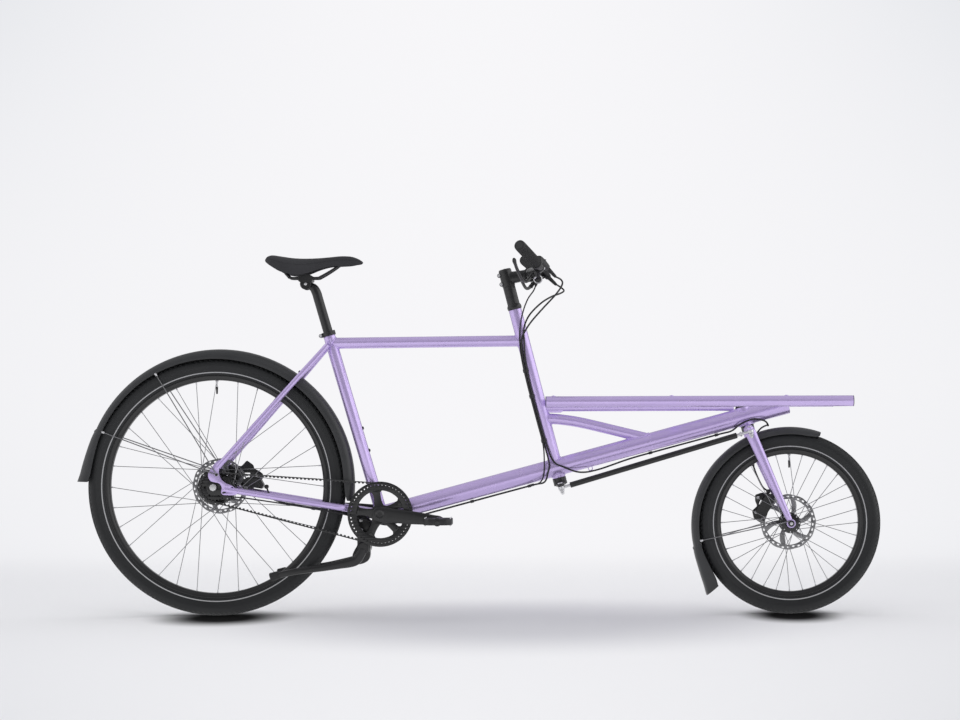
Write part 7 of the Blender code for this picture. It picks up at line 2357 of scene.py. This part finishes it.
@dataclass
class Brakes(Assembly):
    """Disc brake calipers with their adapters and screws."""

    def plate_at(self, name: str, axle: Vector, points: Outline, across: float, thick: float, body: str,
                 holes: Sequence[Outline] = ()) -> None:
        """Flat plate beside a wheel, drawn from points in millimetres behind and above its axle."""
        outline = rounded_outline(mm(*points), 0.004, 3)
        gaps = [rounded_outline(mm(*hole), 0.003, 3) for hole in holes]
        self.add(name, flat_part([outline, *gaps], thick, 0.0008, axle + Y_AXIS * across), body=body)

    def screws(self, name: str, axle: Vector, spots: Outline, across: float, way: float, radius: float,
               body: str, finish: Finish) -> None:
        """Screw heads beside a wheel."""
        heads = [hex_head(axle + Vector((x, across, z)), Y_AXIS * way, radius, 0.0032) for x,
                 z in mm(*spots)]
        self.add(name, joined(*heads), body=body, finish=finish)

    def build(self) -> None:
        """Make both calipers."""
        rear, front = PLACES.rear_axle, PLACES.front_axle
        self.keep("rear_caliper", 0.0014)
        self.plate_at("rear_brake_adapter", rear, ((16, 50), (27, 63), (60, 57), (76, 74), (95, 60),
                                                   (97, 50), (110, 44), (123, 34), (121, 18), (99, 10),
                                                   (96, -8), (68, -10), (54, 8), (36, 12), (20, 26)), 0.0622,
                      0.0052, "frame", (((66, 20), (84, 22), (86, 38), (68, 38)),))
        self.screws("rear_adapter_screws", rear, ((58.4, 43.8), (102.0, 30.0)), 0.0594, -1.0, 0.0048,
                    "frame", BARE_STEEL)
        self.screws("rear_caliper_screws", rear, ((74.0, 9.0), (114.0, 4.0)), 0.0397, -1.0, 0.0042, "frame",
                    BLACK_GLOSS)
        banjo = rear + Vector((0.1345, 0.0465, -0.002))
        self.add("rear_banjo", rod(banjo - Y_AXIS * 0.0075, banjo + Y_AXIS * 0.0075, 0.0062, steps=24),
                 finish=BLACK_GLOSS)
        self.keep("front_caliper", 0.0014, body="fork")
        self.plate_at("front_brake_adapter", front, ((-94, 78), (-76, 84), (-60, 84), (-40, 76), (-34, 56),
                                                     (-56, 30), (-66, 2), (-80, -2), (-98, 10), (-103, 32),
                                                     (-88, 46), (-94, 60)), 0.047, 0.005, "fork",
                      (((-84, 50), (-68, 44), (-62, 58), (-78, 64)),))
        self.screws("front_caliper_screws", front, ((-80.0, 22.0), (-56.0, 72.0)), 0.0257, -1.0, 0.0042,
                    "fork", BLACK_GLOSS)
        self.screws("front_adapter_screws", front, ((-86.0, 70.0), (-92.0, 28.0)), 0.0445, -1.0, 0.0046,
                    "fork", BARE_STEEL)
        banjo = front + Vector((-0.056, 0.048, 0.0875))
        self.add("front_banjo", rod(banjo - Y_AXIS * 0.007, banjo + Y_AXIS * 0.007, 0.0062, steps=24),
                 body="fork", finish=BLACK_GLOSS)
        self.keep("rear_axle", 0.0006, finish=BARE_STEEL)


@dataclass
class CentreStand(Assembly):
    """Double leg centre stand with its housing."""

    body: ClassVar[str] = "kickstand"
    leg: float = 0.261
    droop: float = math.radians(17.0)
    track: float = 0.041
    foot_track: float = 0.085

    def build(self) -> None:
        """Make the housing, both legs, the spindle and the rubber feet."""
        shell, pivot = PLACES.shell, PLACES.stand_pivot
        outline = [(-24.0, -26.0), (-30.0, -60.0), (-31.5, -90.0), (-32.0, -122.0), (-38.0, -135.0),
                   (-50.0, -142.0), (-66.0, -146.0), (-82.0, -142.0), (-84.0, -118.0), (-76.0, -101.0),
                   (-69.0, -91.0), (-70.0, -60.0), (-76.0, -10.0), (-74.0, 4.0), (-46.0, -4.0)]
        housing = flat_part([rounded_outline(mm(*outline), 0.007, 4)], 0.0236, 0.0028, shell)
        self.add("stand_housing", housing, "stand_bracket", body="frame")
        lug = lathe(mm((0, -28.8), (17.5, -28.8), (19, -27.2), (19, 27.2), (17.5, 28.8), (0, 28.8)), pivot,
                    Y_AXIS, 56)
        self.add("stand_lug", lug, body="frame")
        heads = []
        for side in Side:
            out = side.out
            for x, z in ((-0.058, -0.018), (-0.058, -0.046)):
                heads.append(hex_head(shell + Vector((x, 0.0, z)) + out * 0.0116, out, 0.0052, 0.003))
        self.add("stand_bracket_screws", joined(*heads), body="frame", finish=BARE_STEEL)
        spindle = rod(pivot - Y_AXIS * 0.048, pivot + Y_AXIS * 0.048, 0.0088, steps=36)
        self.add("stand_spindle", spindle, "kickstand")
        for side in Side:
            self.side_leg(side)

    def side_leg(self, side: Side) -> None:
        """One leg with its boss, cap and foot."""
        pivot = PLACES.stand_pivot
        back = Vector((-math.cos(self.droop), 0.0, -math.sin(self.droop)))
        down = Vector((back.z, 0.0, -back.x))
        stations = ((0.0, 0.0, 0.0, 0.01, 0.012), (0.014, 0.016, 0.0, 0.01, 0.013),
                    (0.036, 0.028, 0.0, 0.0095, 0.014), (0.085, 0.024, 0.0, 0.0085, 0.0116),
                    (0.132, 0.018, 0.003, 0.008, 0.01), (0.2, 0.006, 0.02, 0.008, 0.0092),
                    (self.leg, 0.0, self.foot_track - self.track, 0.0085, 0.009))
        path = [pivot + back * along - down * sag + side.out * (self.track + out) for along, sag, out, _,
                _ in stations]
        fine, sized = rounded_ends(path, [item[3:] for item in stations], 7, 0.003)
        self.add("stand_leg_" + side.label, block_sweep(fine, sized, Y_AXIS, 32, 2.9), angle=60.0)
        out = side.out
        boss = lathe(mm((0, 30.5), (15, 30.5), (16.5, 32), (16.5, 48.4), (15, 50), (12.5, 50), (11.8, 49.2),
                        (0, 49.2)), pivot, out, 48)
        self.add("stand_boss_" + side.label, boss)
        foot = path[-1]
        rubber = lathe(mm((0, -10), (10.5, -10), (12.2, -8.4), (12.5, -6), (11.6, 12), (10.8, 16), (0, 16)),
                       foot, -back, 32)
        self.add("stand_foot_" + side.label, rubber, finish=GRIP_RUBBER)


# Seat

@dataclass
class SaddleAndPost(Assembly):
    """Seat collar, seatpost, clamp, rails and padded saddle."""

    body: ClassVar[str] = "saddle"
    rail_height: float = 0.96263
    gauge: float = 0.022
    half_width: float = 0.073
    length: float = 0.274
    sections: tuple[tuple[float, float, float, float], ...] = (
        (0.0, 0.053, 0.047, 0.62), (0.006, 0.0615, 0.041, 0.8), (0.02, 0.065, 0.031, 0.95),
        (0.046, 0.0615, 0.016, 1.0), (0.074, 0.0575, 0.0095, 0.92), (0.099, 0.056, 0.0085, 0.72),
        (0.124, 0.0562, 0.015, 0.53), (0.15, 0.0574, 0.0245, 0.4), (0.18, 0.06, 0.032, 0.32),
        (0.212, 0.063, 0.034, 0.275), (0.24, 0.062, 0.0355, 0.245), (0.258, 0.0565, 0.0385, 0.2),
        (0.269, 0.0505, 0.04, 0.135), (0.274, 0.0465, 0.043, 0.06))

    def build(self) -> None:
        """Make every piece of the seat."""
        self.keep("seat_collar", 0.0005, body="frame")
        back = Vector((-PLACES.seat_dir.z, 0.0, PLACES.seat_dir.x))
        middle = PLACES.seat_top - PLACES.seat_dir * 0.0062 + back * 0.0228
        bolts = [hex_head(middle - Y_AXIS * 0.0108, -Y_AXIS, 0.0044, 0.003),
                 hex_head(middle + Y_AXIS * 0.0108, Y_AXIS, 0.004, 0.0024)]
        self.add("collar_bolt", joined(*bolts), body="frame", finish=BARE_STEEL)
        self.post()
        self.clamp()
        self.rails()
        self.saddle()

    def post(self) -> None:
        """Post with its bent neck and head barrel."""
        tilt = PLACES.tilt_axis
        top = PLACES.seat_top + PLACES.seat_dir * 0.138
        low = PLACES.seat_top - PLACES.seat_dir * 0.205
        path = [low, PLACES.seat_top, top - PLACES.seat_dir * 0.045, top - PLACES.seat_dir * 0.024,
                top - PLACES.seat_dir * 0.008 + Vector((-0.004, 0.0, 0.0)),
                tilt + Vector((0.006, 0.0, -0.003))]
        fine = smooth_path(path, 8)
        sizes = []
        for i in range(len(fine)):
            share = max(0.0, (i - 24) / (len(fine) - 25))
            sizes.append((0.0136 - 0.0028 * share, 0.0136 - 0.0044 * share * share))
        barrel = lathe(mm((0, -17), (10.4, -17), (11.2, -16.2), (11.2, 16.2), (10.4, 17), (0, 17)), tilt,
                       Y_AXIS, 48)
        self.add("seatpost_tube", joined(sweep(fine, sizes, 48, Y_AXIS), barrel), "seatpost",
                 body="seatpost", angle=60.0)

    def clamp(self) -> None:
        """Rail clamp with its side caps and screws."""
        tilt = PLACES.tilt_axis
        self.keep("saddle_clamp", 0.0009, body="saddle_clamp")
        pieces, screws = [], []
        for side in Side:
            out = side.out
            pieces.append(lathe(mm((0, 0), (15, 0), (16, 1), (16, 2.6), (15, 3.6), (12.4, 3.6), (11.8, 2.8),
                                   (8.2, 2.8), (7.6, 3.4), (0, 3.4)), tilt + out * 0.0178, out, 48))
            screws.append(hex_head(tilt + out * 0.021, out, 0.0042, 0.0018))
        self.add("saddle_clamp_caps", joined(*pieces), body="saddle_clamp")
        self.add("saddle_clamp_screws", joined(*screws), body="saddle_clamp", finish=BARE_STEEL)

    def rails(self) -> None:
        """One bent rail wire with its sockets."""
        x, z = PLACES.tilt_axis.x, self.rail_height
        half = [Vector((x + dx, y, z + dz)) for dx, y,
                dz in ((-0.074, -0.033, 0.039), (-0.061, -0.03, 0.02), (-0.05, -0.025, 0.006),
                       (-0.038, -0.022, 0.0), (0.028, -0.022, 0.0), (0.044, -0.0205, 0.004),
                       (0.078, -0.015, 0.024), (0.102, -0.009, 0.041), (0.11, -0.003, 0.047))]
        path = mirrored_path(half)
        fine = smooth_path(path, 5)
        straight = [point if not (x - 0.038 <= point.x <= x + 0.028) else
                    Vector((point.x, math.copysign(self.gauge, point.y), z)) for point in fine]
        self.tube("rail_wire", straight, 0.0035, "saddle_rails", finish=DARK_STEEL, sides=20)
        sockets = []
        for side in (-1.0, 1.0):
            end = Vector((half[0].x, side * abs(half[0].y), half[0].z))
            toward = (Vector((half[1].x, side * abs(half[1].y), half[1].z)) - end).normalized()
            sockets.append(rod(end + toward * 0.002, end + toward * 0.013, 0.0062, 0.0052, steps=20))
        self.add("rail_sockets", joined(*sockets), finish=BLACK_PLASTIC)

    def saddle(self) -> None:
        """Padded saddle: fine sections through its length, with a seam along the sides."""
        rear = PLACES.tilt_axis.x - 0.112
        fine = smooth_path([Vector((along, crest, edge)) for along, crest, edge, _ in self.sections], 5)
        shares = smooth_path([Vector((share, 0.0, 0.0)) for *_, share in self.sections], 5)
        rings, lines = [], ([], [])
        for station, share in zip(fine, shares):
            along, crest, edge = station
            half = self.half_width * share.x
            top, low = self.rail_height + crest, self.rail_height + edge
            rise = top - low
            groove = 0.0026 * math.sin(math.pi * min(1.0, max(0.0, along / self.length))) ** 2
            outer = [(-0.97, 0.0), (-1.0, 0.4), (-0.88, 0.78), (-0.58, 0.955), (-0.24, 1.0), (0.0, None),
                     (0.24, 1.0), (0.58, 0.955), (0.88, 0.78), (1.0, 0.4), (0.97, 0.0)]
            arch = top - min(0.62 * rise, 0.022) if rise >= 0.012 else low + 0.25 * rise
            upper = smooth_path([Vector((rear + along, half * y, top - groove if up is None
                                         else low + rise * up)) for y, up in outer], 4)
            under = smooth_path([Vector((rear + along, half * y, height)) for y,
                                 height in ((0.9, low + 0.05 * rise), (0.86, low + 0.08 * rise),
                                            (0.52, arch), (-0.52, arch), (-0.86, low + 0.08 * rise),
                                            (-0.9, low + 0.05 * rise))], 3)
            rings.append(upper + under)
            for line, index in zip(lines, (6, len(upper) - 7)):
                line.append(upper[index].copy())
        item = self.add("padded_saddle", skinned(rings), "saddle", finish=SADDLE_COVER, angle=75.0)
        for line, label in zip(lines, ("right", "left")):
            self.tube("saddle_seam_" + label, line[2:-2], 0.0007, finish=SADDLE_COVER, sides=8)


# Hoses

@dataclass
class Hoses(Assembly):
    """Brake hoses and shift cable, in lengths that are held or run between the steering and the frame, and
    their clips.
    """

    finish: ClassVar[Finish] = BLACK_PLASTIC
    steps: int = 6
    paths: dict = field(default_factory=dict)
    rear_run: ClassVar[list] = mm((220.5, -89.5, 960.5), (237, -82, 951.5), (239.5, -74, 938),
                                  (222, -64, 912), (185, -52, 873), (152, -44, 836), (133, -35, 808),
                                  (123.5, -22.6, 784.2), (127.1, -17.6, 731.8), (142.2, -13.4, 655.7),
                                  (168.1, -13.4, 555.7), (187, -15.8, 485.9), (200.9, -29.2, 432.3),
                                  (196.9, -29.2, 404.3), (187, -22, 378.7), (156, -8, 370.4), (59, 0, 344.4),
                                  (-61, 0, 312.4), (-181, 0, 280.3), (-249.2, 18, 259.8),
                                  (-285.2, 26, 260.8), (-392.7, 35.7, 289.7), (-438.5, 44.5, 298.3),
                                  (-504, 50.7, 309.2), (-569.6, 56.2, 320.1), (-599.1, 50, 332),
                                  (-609.1, 46, 350), (-614.6, 46.5, 366))
    front_run: ClassVar[list] = mm((220.5, 89.5, 949), (236, 80, 938.5), (244, 62, 928.5), (233, 40, 919.5),
                                   (208, 14, 909), (178.7, -9, 889.4), (149.6, -23, 860), (134.5, -28, 833),
                                   (129, -26, 808), (130.4, -22.5, 786), (133, -20.7, 733.3),
                                   (147.1, -18.1, 656.9), (172.9, -18.1, 556.9), (192.5, -20.1, 487.3),
                                   (212.9, -29.2, 438.3), (240.9, -29.2, 422.3), (287.8, -22, 406.6),
                                   (340.6, -2, 413.5), (429, 0, 443.4), (508.8, 0, 465.7),
                                   (678.8, -2, 511.2), (720.8, -12, 522.4), (746.2, -29.2, 542.5),
                                   (782.2, -29.2, 556.5), (814.2, -29.2, 551.5), (826.2, -12, 538.5),
                                   (822.2, 20, 537.5), (806.2, 54, 524.5), (784.4, 62.5, 485.3),
                                   (788.4, 60, 425.3), (812.4, 56, 365.3), (830.9, 48, 347.5))
    cable_run: ClassVar[list] = mm((165.7, -130.4, 932), (159, -123, 918), (144, -96, 899), (132, -64, 874),
                                   (123, -38, 844), (118.5, -26, 813), (117.6, -20.3, 782.7),
                                   (123, -12.8, 730.7), (139.6, -7.6, 655), (165.5, -7.6, 555),
                                   (183.4, -9.8, 485), (186.9, -29.2, 430.3), (184.9, -28.2, 398.3),
                                   (173.5, -26, 377.1), (143.8, -15, 368.1), (58.8, -8, 345.4),
                                   (-61.2, -8, 313.3), (-181.2, -8, 281.2), (-249.2, -18, 260.8),
                                   (-285.2, -26, 261.8), (-392.7, -35.7, 291.7), (-438.5, -44.5, 300.3),
                                   (-504, -50.7, 312.2), (-578.9, -57, 324.7), (-663.2, -64.9, 337.7),
                                   (-701.1, -59.5, 341), (-729.1, -59.5, 346.5))
    clip_spots: tuple = (
        (0.1283, 0.6952), (0.1455, 0.6151), (0.177, 0.4893), (0.1484, 0.3692), (-0.0307, 0.328),
        (-0.4694, 0.2919), (-0.5452, 0.3091), (0.4945, 0.4635), (0.6718, 0.5159))

    def build(self) -> None:
        """Make the three lines and their clips."""
        self.paths |= {name: smooth_path([Vector(point) for point in run], self.steps) for name,
                       run in (("rear_brake_hose", self.rear_run), ("front_brake_hose", self.front_run),
                               ("shift_cable", self.cable_run))}
        for name, radius, bend in (("rear_brake_hose", 0.0025, 8), ("front_brake_hose", 0.0025, 10),
                                   ("shift_cable", 0.002, 7)):
            path = self.paths[name]
            split = bend * self.steps
            self.bending(name + "_bend", path[:split + 1], radius, "steering", path[0],
                         path[split - self.steps], name)
            last = 23 * self.steps if name == "front_brake_hose" else len(path) - 1
            self.tube(name + "_held", path[split:last + 1], radius, finish=HOSE_RUBBER, sides=16)
            if name == "front_brake_hose":
                turn = 28 * self.steps
                self.bending("front_hose_turn", path[last:turn + 1], radius, "fork", path[turn - self.steps],
                             path[last])
                self.tube("front_hose_end", path[turn:], radius, body="fork", finish=HOSE_RUBBER, sides=16)
        self.clips()

    def bending(self, name: str, path: Sequence[Vector], radius: float, body: str, start: Vector,
                end: Vector, *nodes: str) -> None:
        """Length of a line between a steered body and the frame, made as a plain tube.

        Args:
            name: Name of the piece.
            path: Centre line.
            radius: Radius.
            body: Steered body; not used.
            start: Where the bend starts.
            end: Where the frame holds it.
            nodes: Nodes that it stands for.
        """
        item = grown(name, line_object(path), tube_tree, HOSE_RUBBER, Radius=radius, Sides=16)
        self.dress(item, HOSE_RUBBER, *nodes)
        tuple(start)
        tuple(end)
        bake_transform(item)

    def sleeves(self, x: float, z: float, reach: float = 0.014) -> Mesh:
        """Short sleeves round every line that passes near a place seen from the side."""
        parts = []
        for name, path in self.paths.items():
            radius = 0.002 if name == "shift_cable" else 0.0025
            near = min(range(1, len(path) - 1), key=lambda i: math.hypot(path[i].x - x, path[i].z - z))
            if math.hypot(path[near].x - x, path[near].z - z) > reach:
                continue
            way = (path[near + 1] - path[near - 1]).normalized()
            parts.append(rod(path[near] - way * 0.005, path[near] + way * 0.005, radius + 0.0016,
                             round_off=0.0006, steps=20))
        return joined(*parts)

    def clips(self) -> None:
        """Clips on the frame and fork, and the fittings at the lines' ends."""
        for index, (x, z) in enumerate(self.clip_spots):
            self.add("hose_clip_" + str(index + 1), self.sleeves(x, z, 0.022))
        blade = self.paths["front_brake_hose"][29 * self.steps]
        self.add("fork_hose_guide", rod(blade - Z_AXIS * 0.005, blade + Z_AXIS * 0.005, 0.0042, steps=20),
                 body="fork")
        end = self.paths["shift_cable"][-1]
        stop = rod(end - X_AXIS * 0.002, end + X_AXIS * 0.022 + Vector((0.0, 0.0, -0.004)), 0.0036, steps=20)
        self.add("hub_cable_stop", stop)


# Studio

@dataclass
class Studio:
    """Camera, floor with its backdrop, and soft lamps."""

    camera_place: Vector = fixed(0.2749, -6.5, 0.574)
    camera_roll: float = math.radians(0.19)
    lens: float = 85.2
    sensor: float = 36.0
    shift: tuple[float, float] = (-0.099, 0.0557)
    floor_front: float = -6.5
    floor_depth: float = 2.6
    cove_radius: float = 1.6
    cove_steps: int = 24
    wall_height: float = 4.5
    half_width: float = 7.0
    wall_fade: tuple[float, float] = (0.9, 3.2)
    # Middle and half size of the picture as slopes from the camera, for the painted shade towards its
    # corners.
    picture_edges: tuple = (("X", -0.0418, 0.211), ("Z", 0.0235, 0.158))
    # Painted shadow pool on the floor under the bicycle: its middle, its reach along X and Y, and the share
    # that is fully dark.
    painted_shadow_pool: tuple = ((0.12, -0.28), (0.98, 0.94), 0.25)
    # Painted contact shadows under the rear and front tyres: middle, reach along X and Y, and the share that
    # is fully dark.
    painted_tyre_shadows: tuple = (((-0.722, -0.085), (0.235, 0.31), 0.3), ((0.89, -0.06), (0.17, 0.29), 0.32))
    room: Colour = (0.2, 0.2, 0.21)
    daylight: Colour = (0.9, 0.9, 0.91)
    zones: tuple = (("Z", 0.0, 0.95, (0.45, 0.45, 0.46)), ("Z", 0.01, -0.05, (0.95, 0.95, 0.96)),
                    ("X", -0.45, -0.8, (0.92, 0.92, 0.93)), ("X", 0.45, 0.8, (1.45, 1.45, 1.46)))

    def build(self) -> None:
        """Make everything of the studio."""
        self.camera()
        self.cove()
        self.world()
        self.lamp("overhead", (-0.1, 0.9, 4.0), (0.1, 0.0, 0.3), (5.0, 2.6), 24.0)
        self.lamp("front", (-0.4, -3.2, 3.4), (0.1, 0.0, 0.4), (4.0, 2.0), 18.0)

    def camera(self) -> None:
        """Make the camera at the picture's viewing angle."""
        data = bpy.data.cameras.new("camera")
        data.lens = self.lens
        data.sensor_width = self.sensor
        data.shift_x, data.shift_y = self.shift
        item = linked("camera", data)
        turn = Matrix.Rotation(self.camera_roll, 4, "Y") @ Matrix.Rotation(math.radians(90.0), 4, "X")
        item.matrix_world = Matrix.Translation(self.camera_place) @ turn
        bpy.context.scene.camera = item

    def cove(self) -> None:
        """Make the floor, which curves up into a plain wall."""
        profile = [(self.floor_front, 0.0), (self.floor_depth, 0.0)]
        for i in range(1, self.cove_steps + 1):
            angle = math.radians(90.0 * i / self.cove_steps)
            profile.append((self.floor_depth + self.cove_radius * math.sin(angle),
                            self.cove_radius * (1.0 - math.cos(angle))))
        profile.append((self.floor_depth + self.cove_radius, self.wall_height))
        bm = bmesh.new()
        rows = [[bm.verts.new((side * self.half_width, y, z)) for side in (-1.0, 1.0)] for y, z in profile]
        for low, high in zip(rows, rows[1:]):
            bm.faces.new((low[0], low[1], high[1], high[0]))
        item = mesh_object("studio_floor", bm, 60.0)
        item.data.materials.append(self.floor_material())

    def floor_material(self) -> bpy.types.Material:
        """Make the floor's material, with a painted shadow pool under the bicycle, painted contact shadows
        under the tyres and painted shade towards the picture's corners; its wall glows in the picture, and
        floor and wall glow in reflections as a painted reflection with the painted shadow pool in it.

        Returns:
            The material, which is clear from behind.
        """
        material = bpy.data.materials.new("studio_floor")
        material.use_nodes = True
        tree = material.node_tree
        shader = tree.nodes["Principled BSDF"]
        place = add_node(tree, "ShaderNodeTexCoord").outputs["Object"]
        apart = add_node(tree, "ShaderNodeSeparateXYZ", i0=place).outputs
        fade = ranged(tree, apart["Y"], *self.wall_fade)
        edge = self.edge(tree, apart)
        # Painted shadow: a soft dark pool on the floor between the wheels, which also darkens the floor in
        # reflections.
        painted_shadow_pool = self.spot(tree, place, *self.painted_shadow_pool)
        # Painted shade: the floor darkens towards the picture's corners.
        colour = blended(tree, edge, (0.85, 0.85, 0.865), (0.77, 0.775, 0.795))
        colour = blended(tree, painted_shadow_pool, colour, (0.6, 0.6, 0.63))
        # Painted contact shadows: near black spots on the floor under both tyres.
        for spot in self.painted_tyre_shadows:
            colour = blended(tree, self.spot(tree, place, *spot), colour, (0.004, 0.004, 0.004))
        tree.links.new(colour, shader.inputs["Base Color"])
        shader.inputs["Roughness"].default_value = 0.9
        shader.inputs["Specular IOR Level"].default_value = 0.1
        # Wall colour for the camera, with painted shade towards the picture's corners.
        wall = blended(tree, edge, (0.93, 0.925, 0.945), (0.81, 0.82, 0.85))
        # Painted reflection: glossy rays see the floor and wall as a glow, bright on the floor near the
        # bicycle, dimmer on the wall, and darker in the painted shadow pool.
        painted_floor_reflection = blended(tree, fade, (0.95, 0.95, 0.96), (0.48, 0.48, 0.49))
        painted_floor_reflection = blended(tree, painted_shadow_pool, painted_floor_reflection, (0.72, 0.72, 0.74))
        ray = add_node(tree, "ShaderNodeLightPath").outputs
        glow = add_node(tree, "ShaderNodeEmission",
                        Color=blended(tree, ray["Is Glossy Ray"], wall, painted_floor_reflection))
        # Camera rays see the wall as a glow; glossy rays see the whole floor and wall as the painted
        # reflection.
        share = maths(tree, "MAXIMUM", maths(tree, "MULTIPLY", ray["Is Camera Ray"], fade),
                      ray["Is Glossy Ray"])
        both = add_node(tree, "ShaderNodeMixShader", i0=share, i1=shader, i2=glow)
        rear = add_node(tree, "ShaderNodeNewGeometry").outputs["Backfacing"]
        clear = add_node(tree, "ShaderNodeMixShader", i0=rear, i1=both,
                         i2=add_node(tree, "ShaderNodeBsdfTransparent"))
        tree.links.new(clear.outputs[0], tree.nodes["Material Output"].inputs["Surface"])
        return material

    def edge(self, tree: Tree, apart: Any) -> bpy.types.Node:
        """Give how far a point of the floor or wall lies towards the corners of the picture, where both are
        painted darker as painted shade.

        Args:
            tree: Node tree of the floor's material.
            apart: Sockets of the point's coordinates by axis.

        Returns:
            Node that gives zero along the middle and one in the corners.
        """
        away = maths(tree, "SUBTRACT", apart["Y"], self.camera_place.y)
        squares = []
        for axis, centre, half in self.picture_edges:
            start = self.camera_place.x if axis == "X" else self.camera_place.z
            slope = maths(tree, "DIVIDE", maths(tree, "SUBTRACT", apart[axis], start), away)
            share = maths(tree, "DIVIDE", maths(tree, "SUBTRACT", slope, centre), half)
            squares.append(maths(tree, "MULTIPLY", share, share))
        weight = maths(tree, "MULTIPLY_ADD", squares[1], 0.67, 0.33)
        return maths(tree, "MULTIPLY", weight, squares[0], clamp=True)

    @staticmethod
    def spot(tree: Tree, place: Socket, centre: tuple[float, float], reach: tuple[float, float],
             core: float) -> Socket:
        """Give the mask of a soft elliptic shadow on the floor.

        Args:
            tree: Node tree of the floor's material.
            place: Socket with the floor's coordinates.
            centre: Middle of the shadow.
            reach: Half its length along X and Y.
            core: Share of the reach that is fully dark.

        Returns:
            Socket that is one in the core and falls to zero at the reach.
        """
        moved = maths(tree, "SUBTRACT", place, (*centre, 0.0), kind="VectorMath")
        scaled = maths(tree, "MULTIPLY", moved, (1.0 / reach[0], 1.0 / reach[1], 0.0), kind="VectorMath")
        length = maths(tree, "LENGTH", scaled, kind="VectorMath").outputs["Value"]
        return ranged(tree, length, 1.0, core)

    def world(self) -> None:
        """Give the surroundings an even pale light, and zones of light and dark that reflections show."""
        world = bpy.data.worlds.new("studio")
        world.use_nodes = True
        tree = world.node_tree
        ray = add_node(tree, "ShaderNodeLightPath").outputs
        seen = maths(tree, "MAXIMUM", ray["Is Camera Ray"], ray["Is Transmission Ray"])
        way = add_node(tree, "ShaderNodeTexCoord").outputs["Generated"]
        apart = add_node(tree, "ShaderNodeSeparateXYZ", i0=way).outputs
        room = self.room
        for axis, start, full, colour in self.zones:
            room = blended(tree, ranged(tree, apart[axis], start, full), room, colour)
        light = blended(tree, ray["Is Glossy Ray"], self.daylight, room)
        back = tree.nodes["Background"].inputs
        tree.links.new(blended(tree, seen, light, self.daylight), back["Color"])
        back["Strength"].default_value = 1.0
        bpy.context.scene.world = world

    def lamp(self, name: str, place: tuple[float, float, float], aim: tuple[float, float, float],
             size: tuple[float, float], power: float) -> None:
        """Make one soft lamp that no reflection shows.

        Args:
            name: Name of the lamp.
            place: Where it hangs.
            aim: Point that it faces.
            size: Width and height.
            power: Power in watts.
        """
        data = bpy.data.lights.new(name, "AREA")
        data.shape = "RECTANGLE"
        data.size, data.size_y = size
        data.energy = power
        item = linked(name, data)
        item.location = place
        item.rotation_euler = (Vector(aim) - Vector(place)).to_track_quat("-Z", "Y").to_euler()
        item.visible_glossy = False


@dataclass
class Carried(Assembly):
    """Nodes whose shape is right as it is, with cleaner edges and their finish."""

    def build(self) -> None:
        """Dress each node that no other assembly has replaced."""
        record = self.model["record"]
        bodies = {node: body for body, row in record["behaviour"]["bodies"].items() for node in row}
        slots = {row["node"]: row["material_slot"] for row in record["subparts"]}
        for node in sorted(self.model["nodes"]):
            if not self.model["nodes"][node].get("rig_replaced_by") and node not in self.dressed:
                self.keep(node, body=bodies[node], finish=SLOT_FINISHES[slots[node]])


def main() -> None:
    """Build the bicycle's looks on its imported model."""
    logging.basicConfig(level=logging.INFO, format="%(message)s")
    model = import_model()
    bpy.context.scene.view_settings.view_transform = "Standard"
    Studio().build()
    assemblies = [FrameTubes(model), rear_wheel(model), front_wheel(model)]
    assemblies += [kind(model) for kind in (Drive, Steering, Controls, Fork, Guards, Brakes, CentreStand,
                                            SaddleAndPost, Hoses, Carried)]
    for assembly in assemblies:
        assembly.build()
        for name in assembly.made:
            LOG.info("%s: %s", type(assembly).__name__, name)


if __name__ == "__main__":
    main()
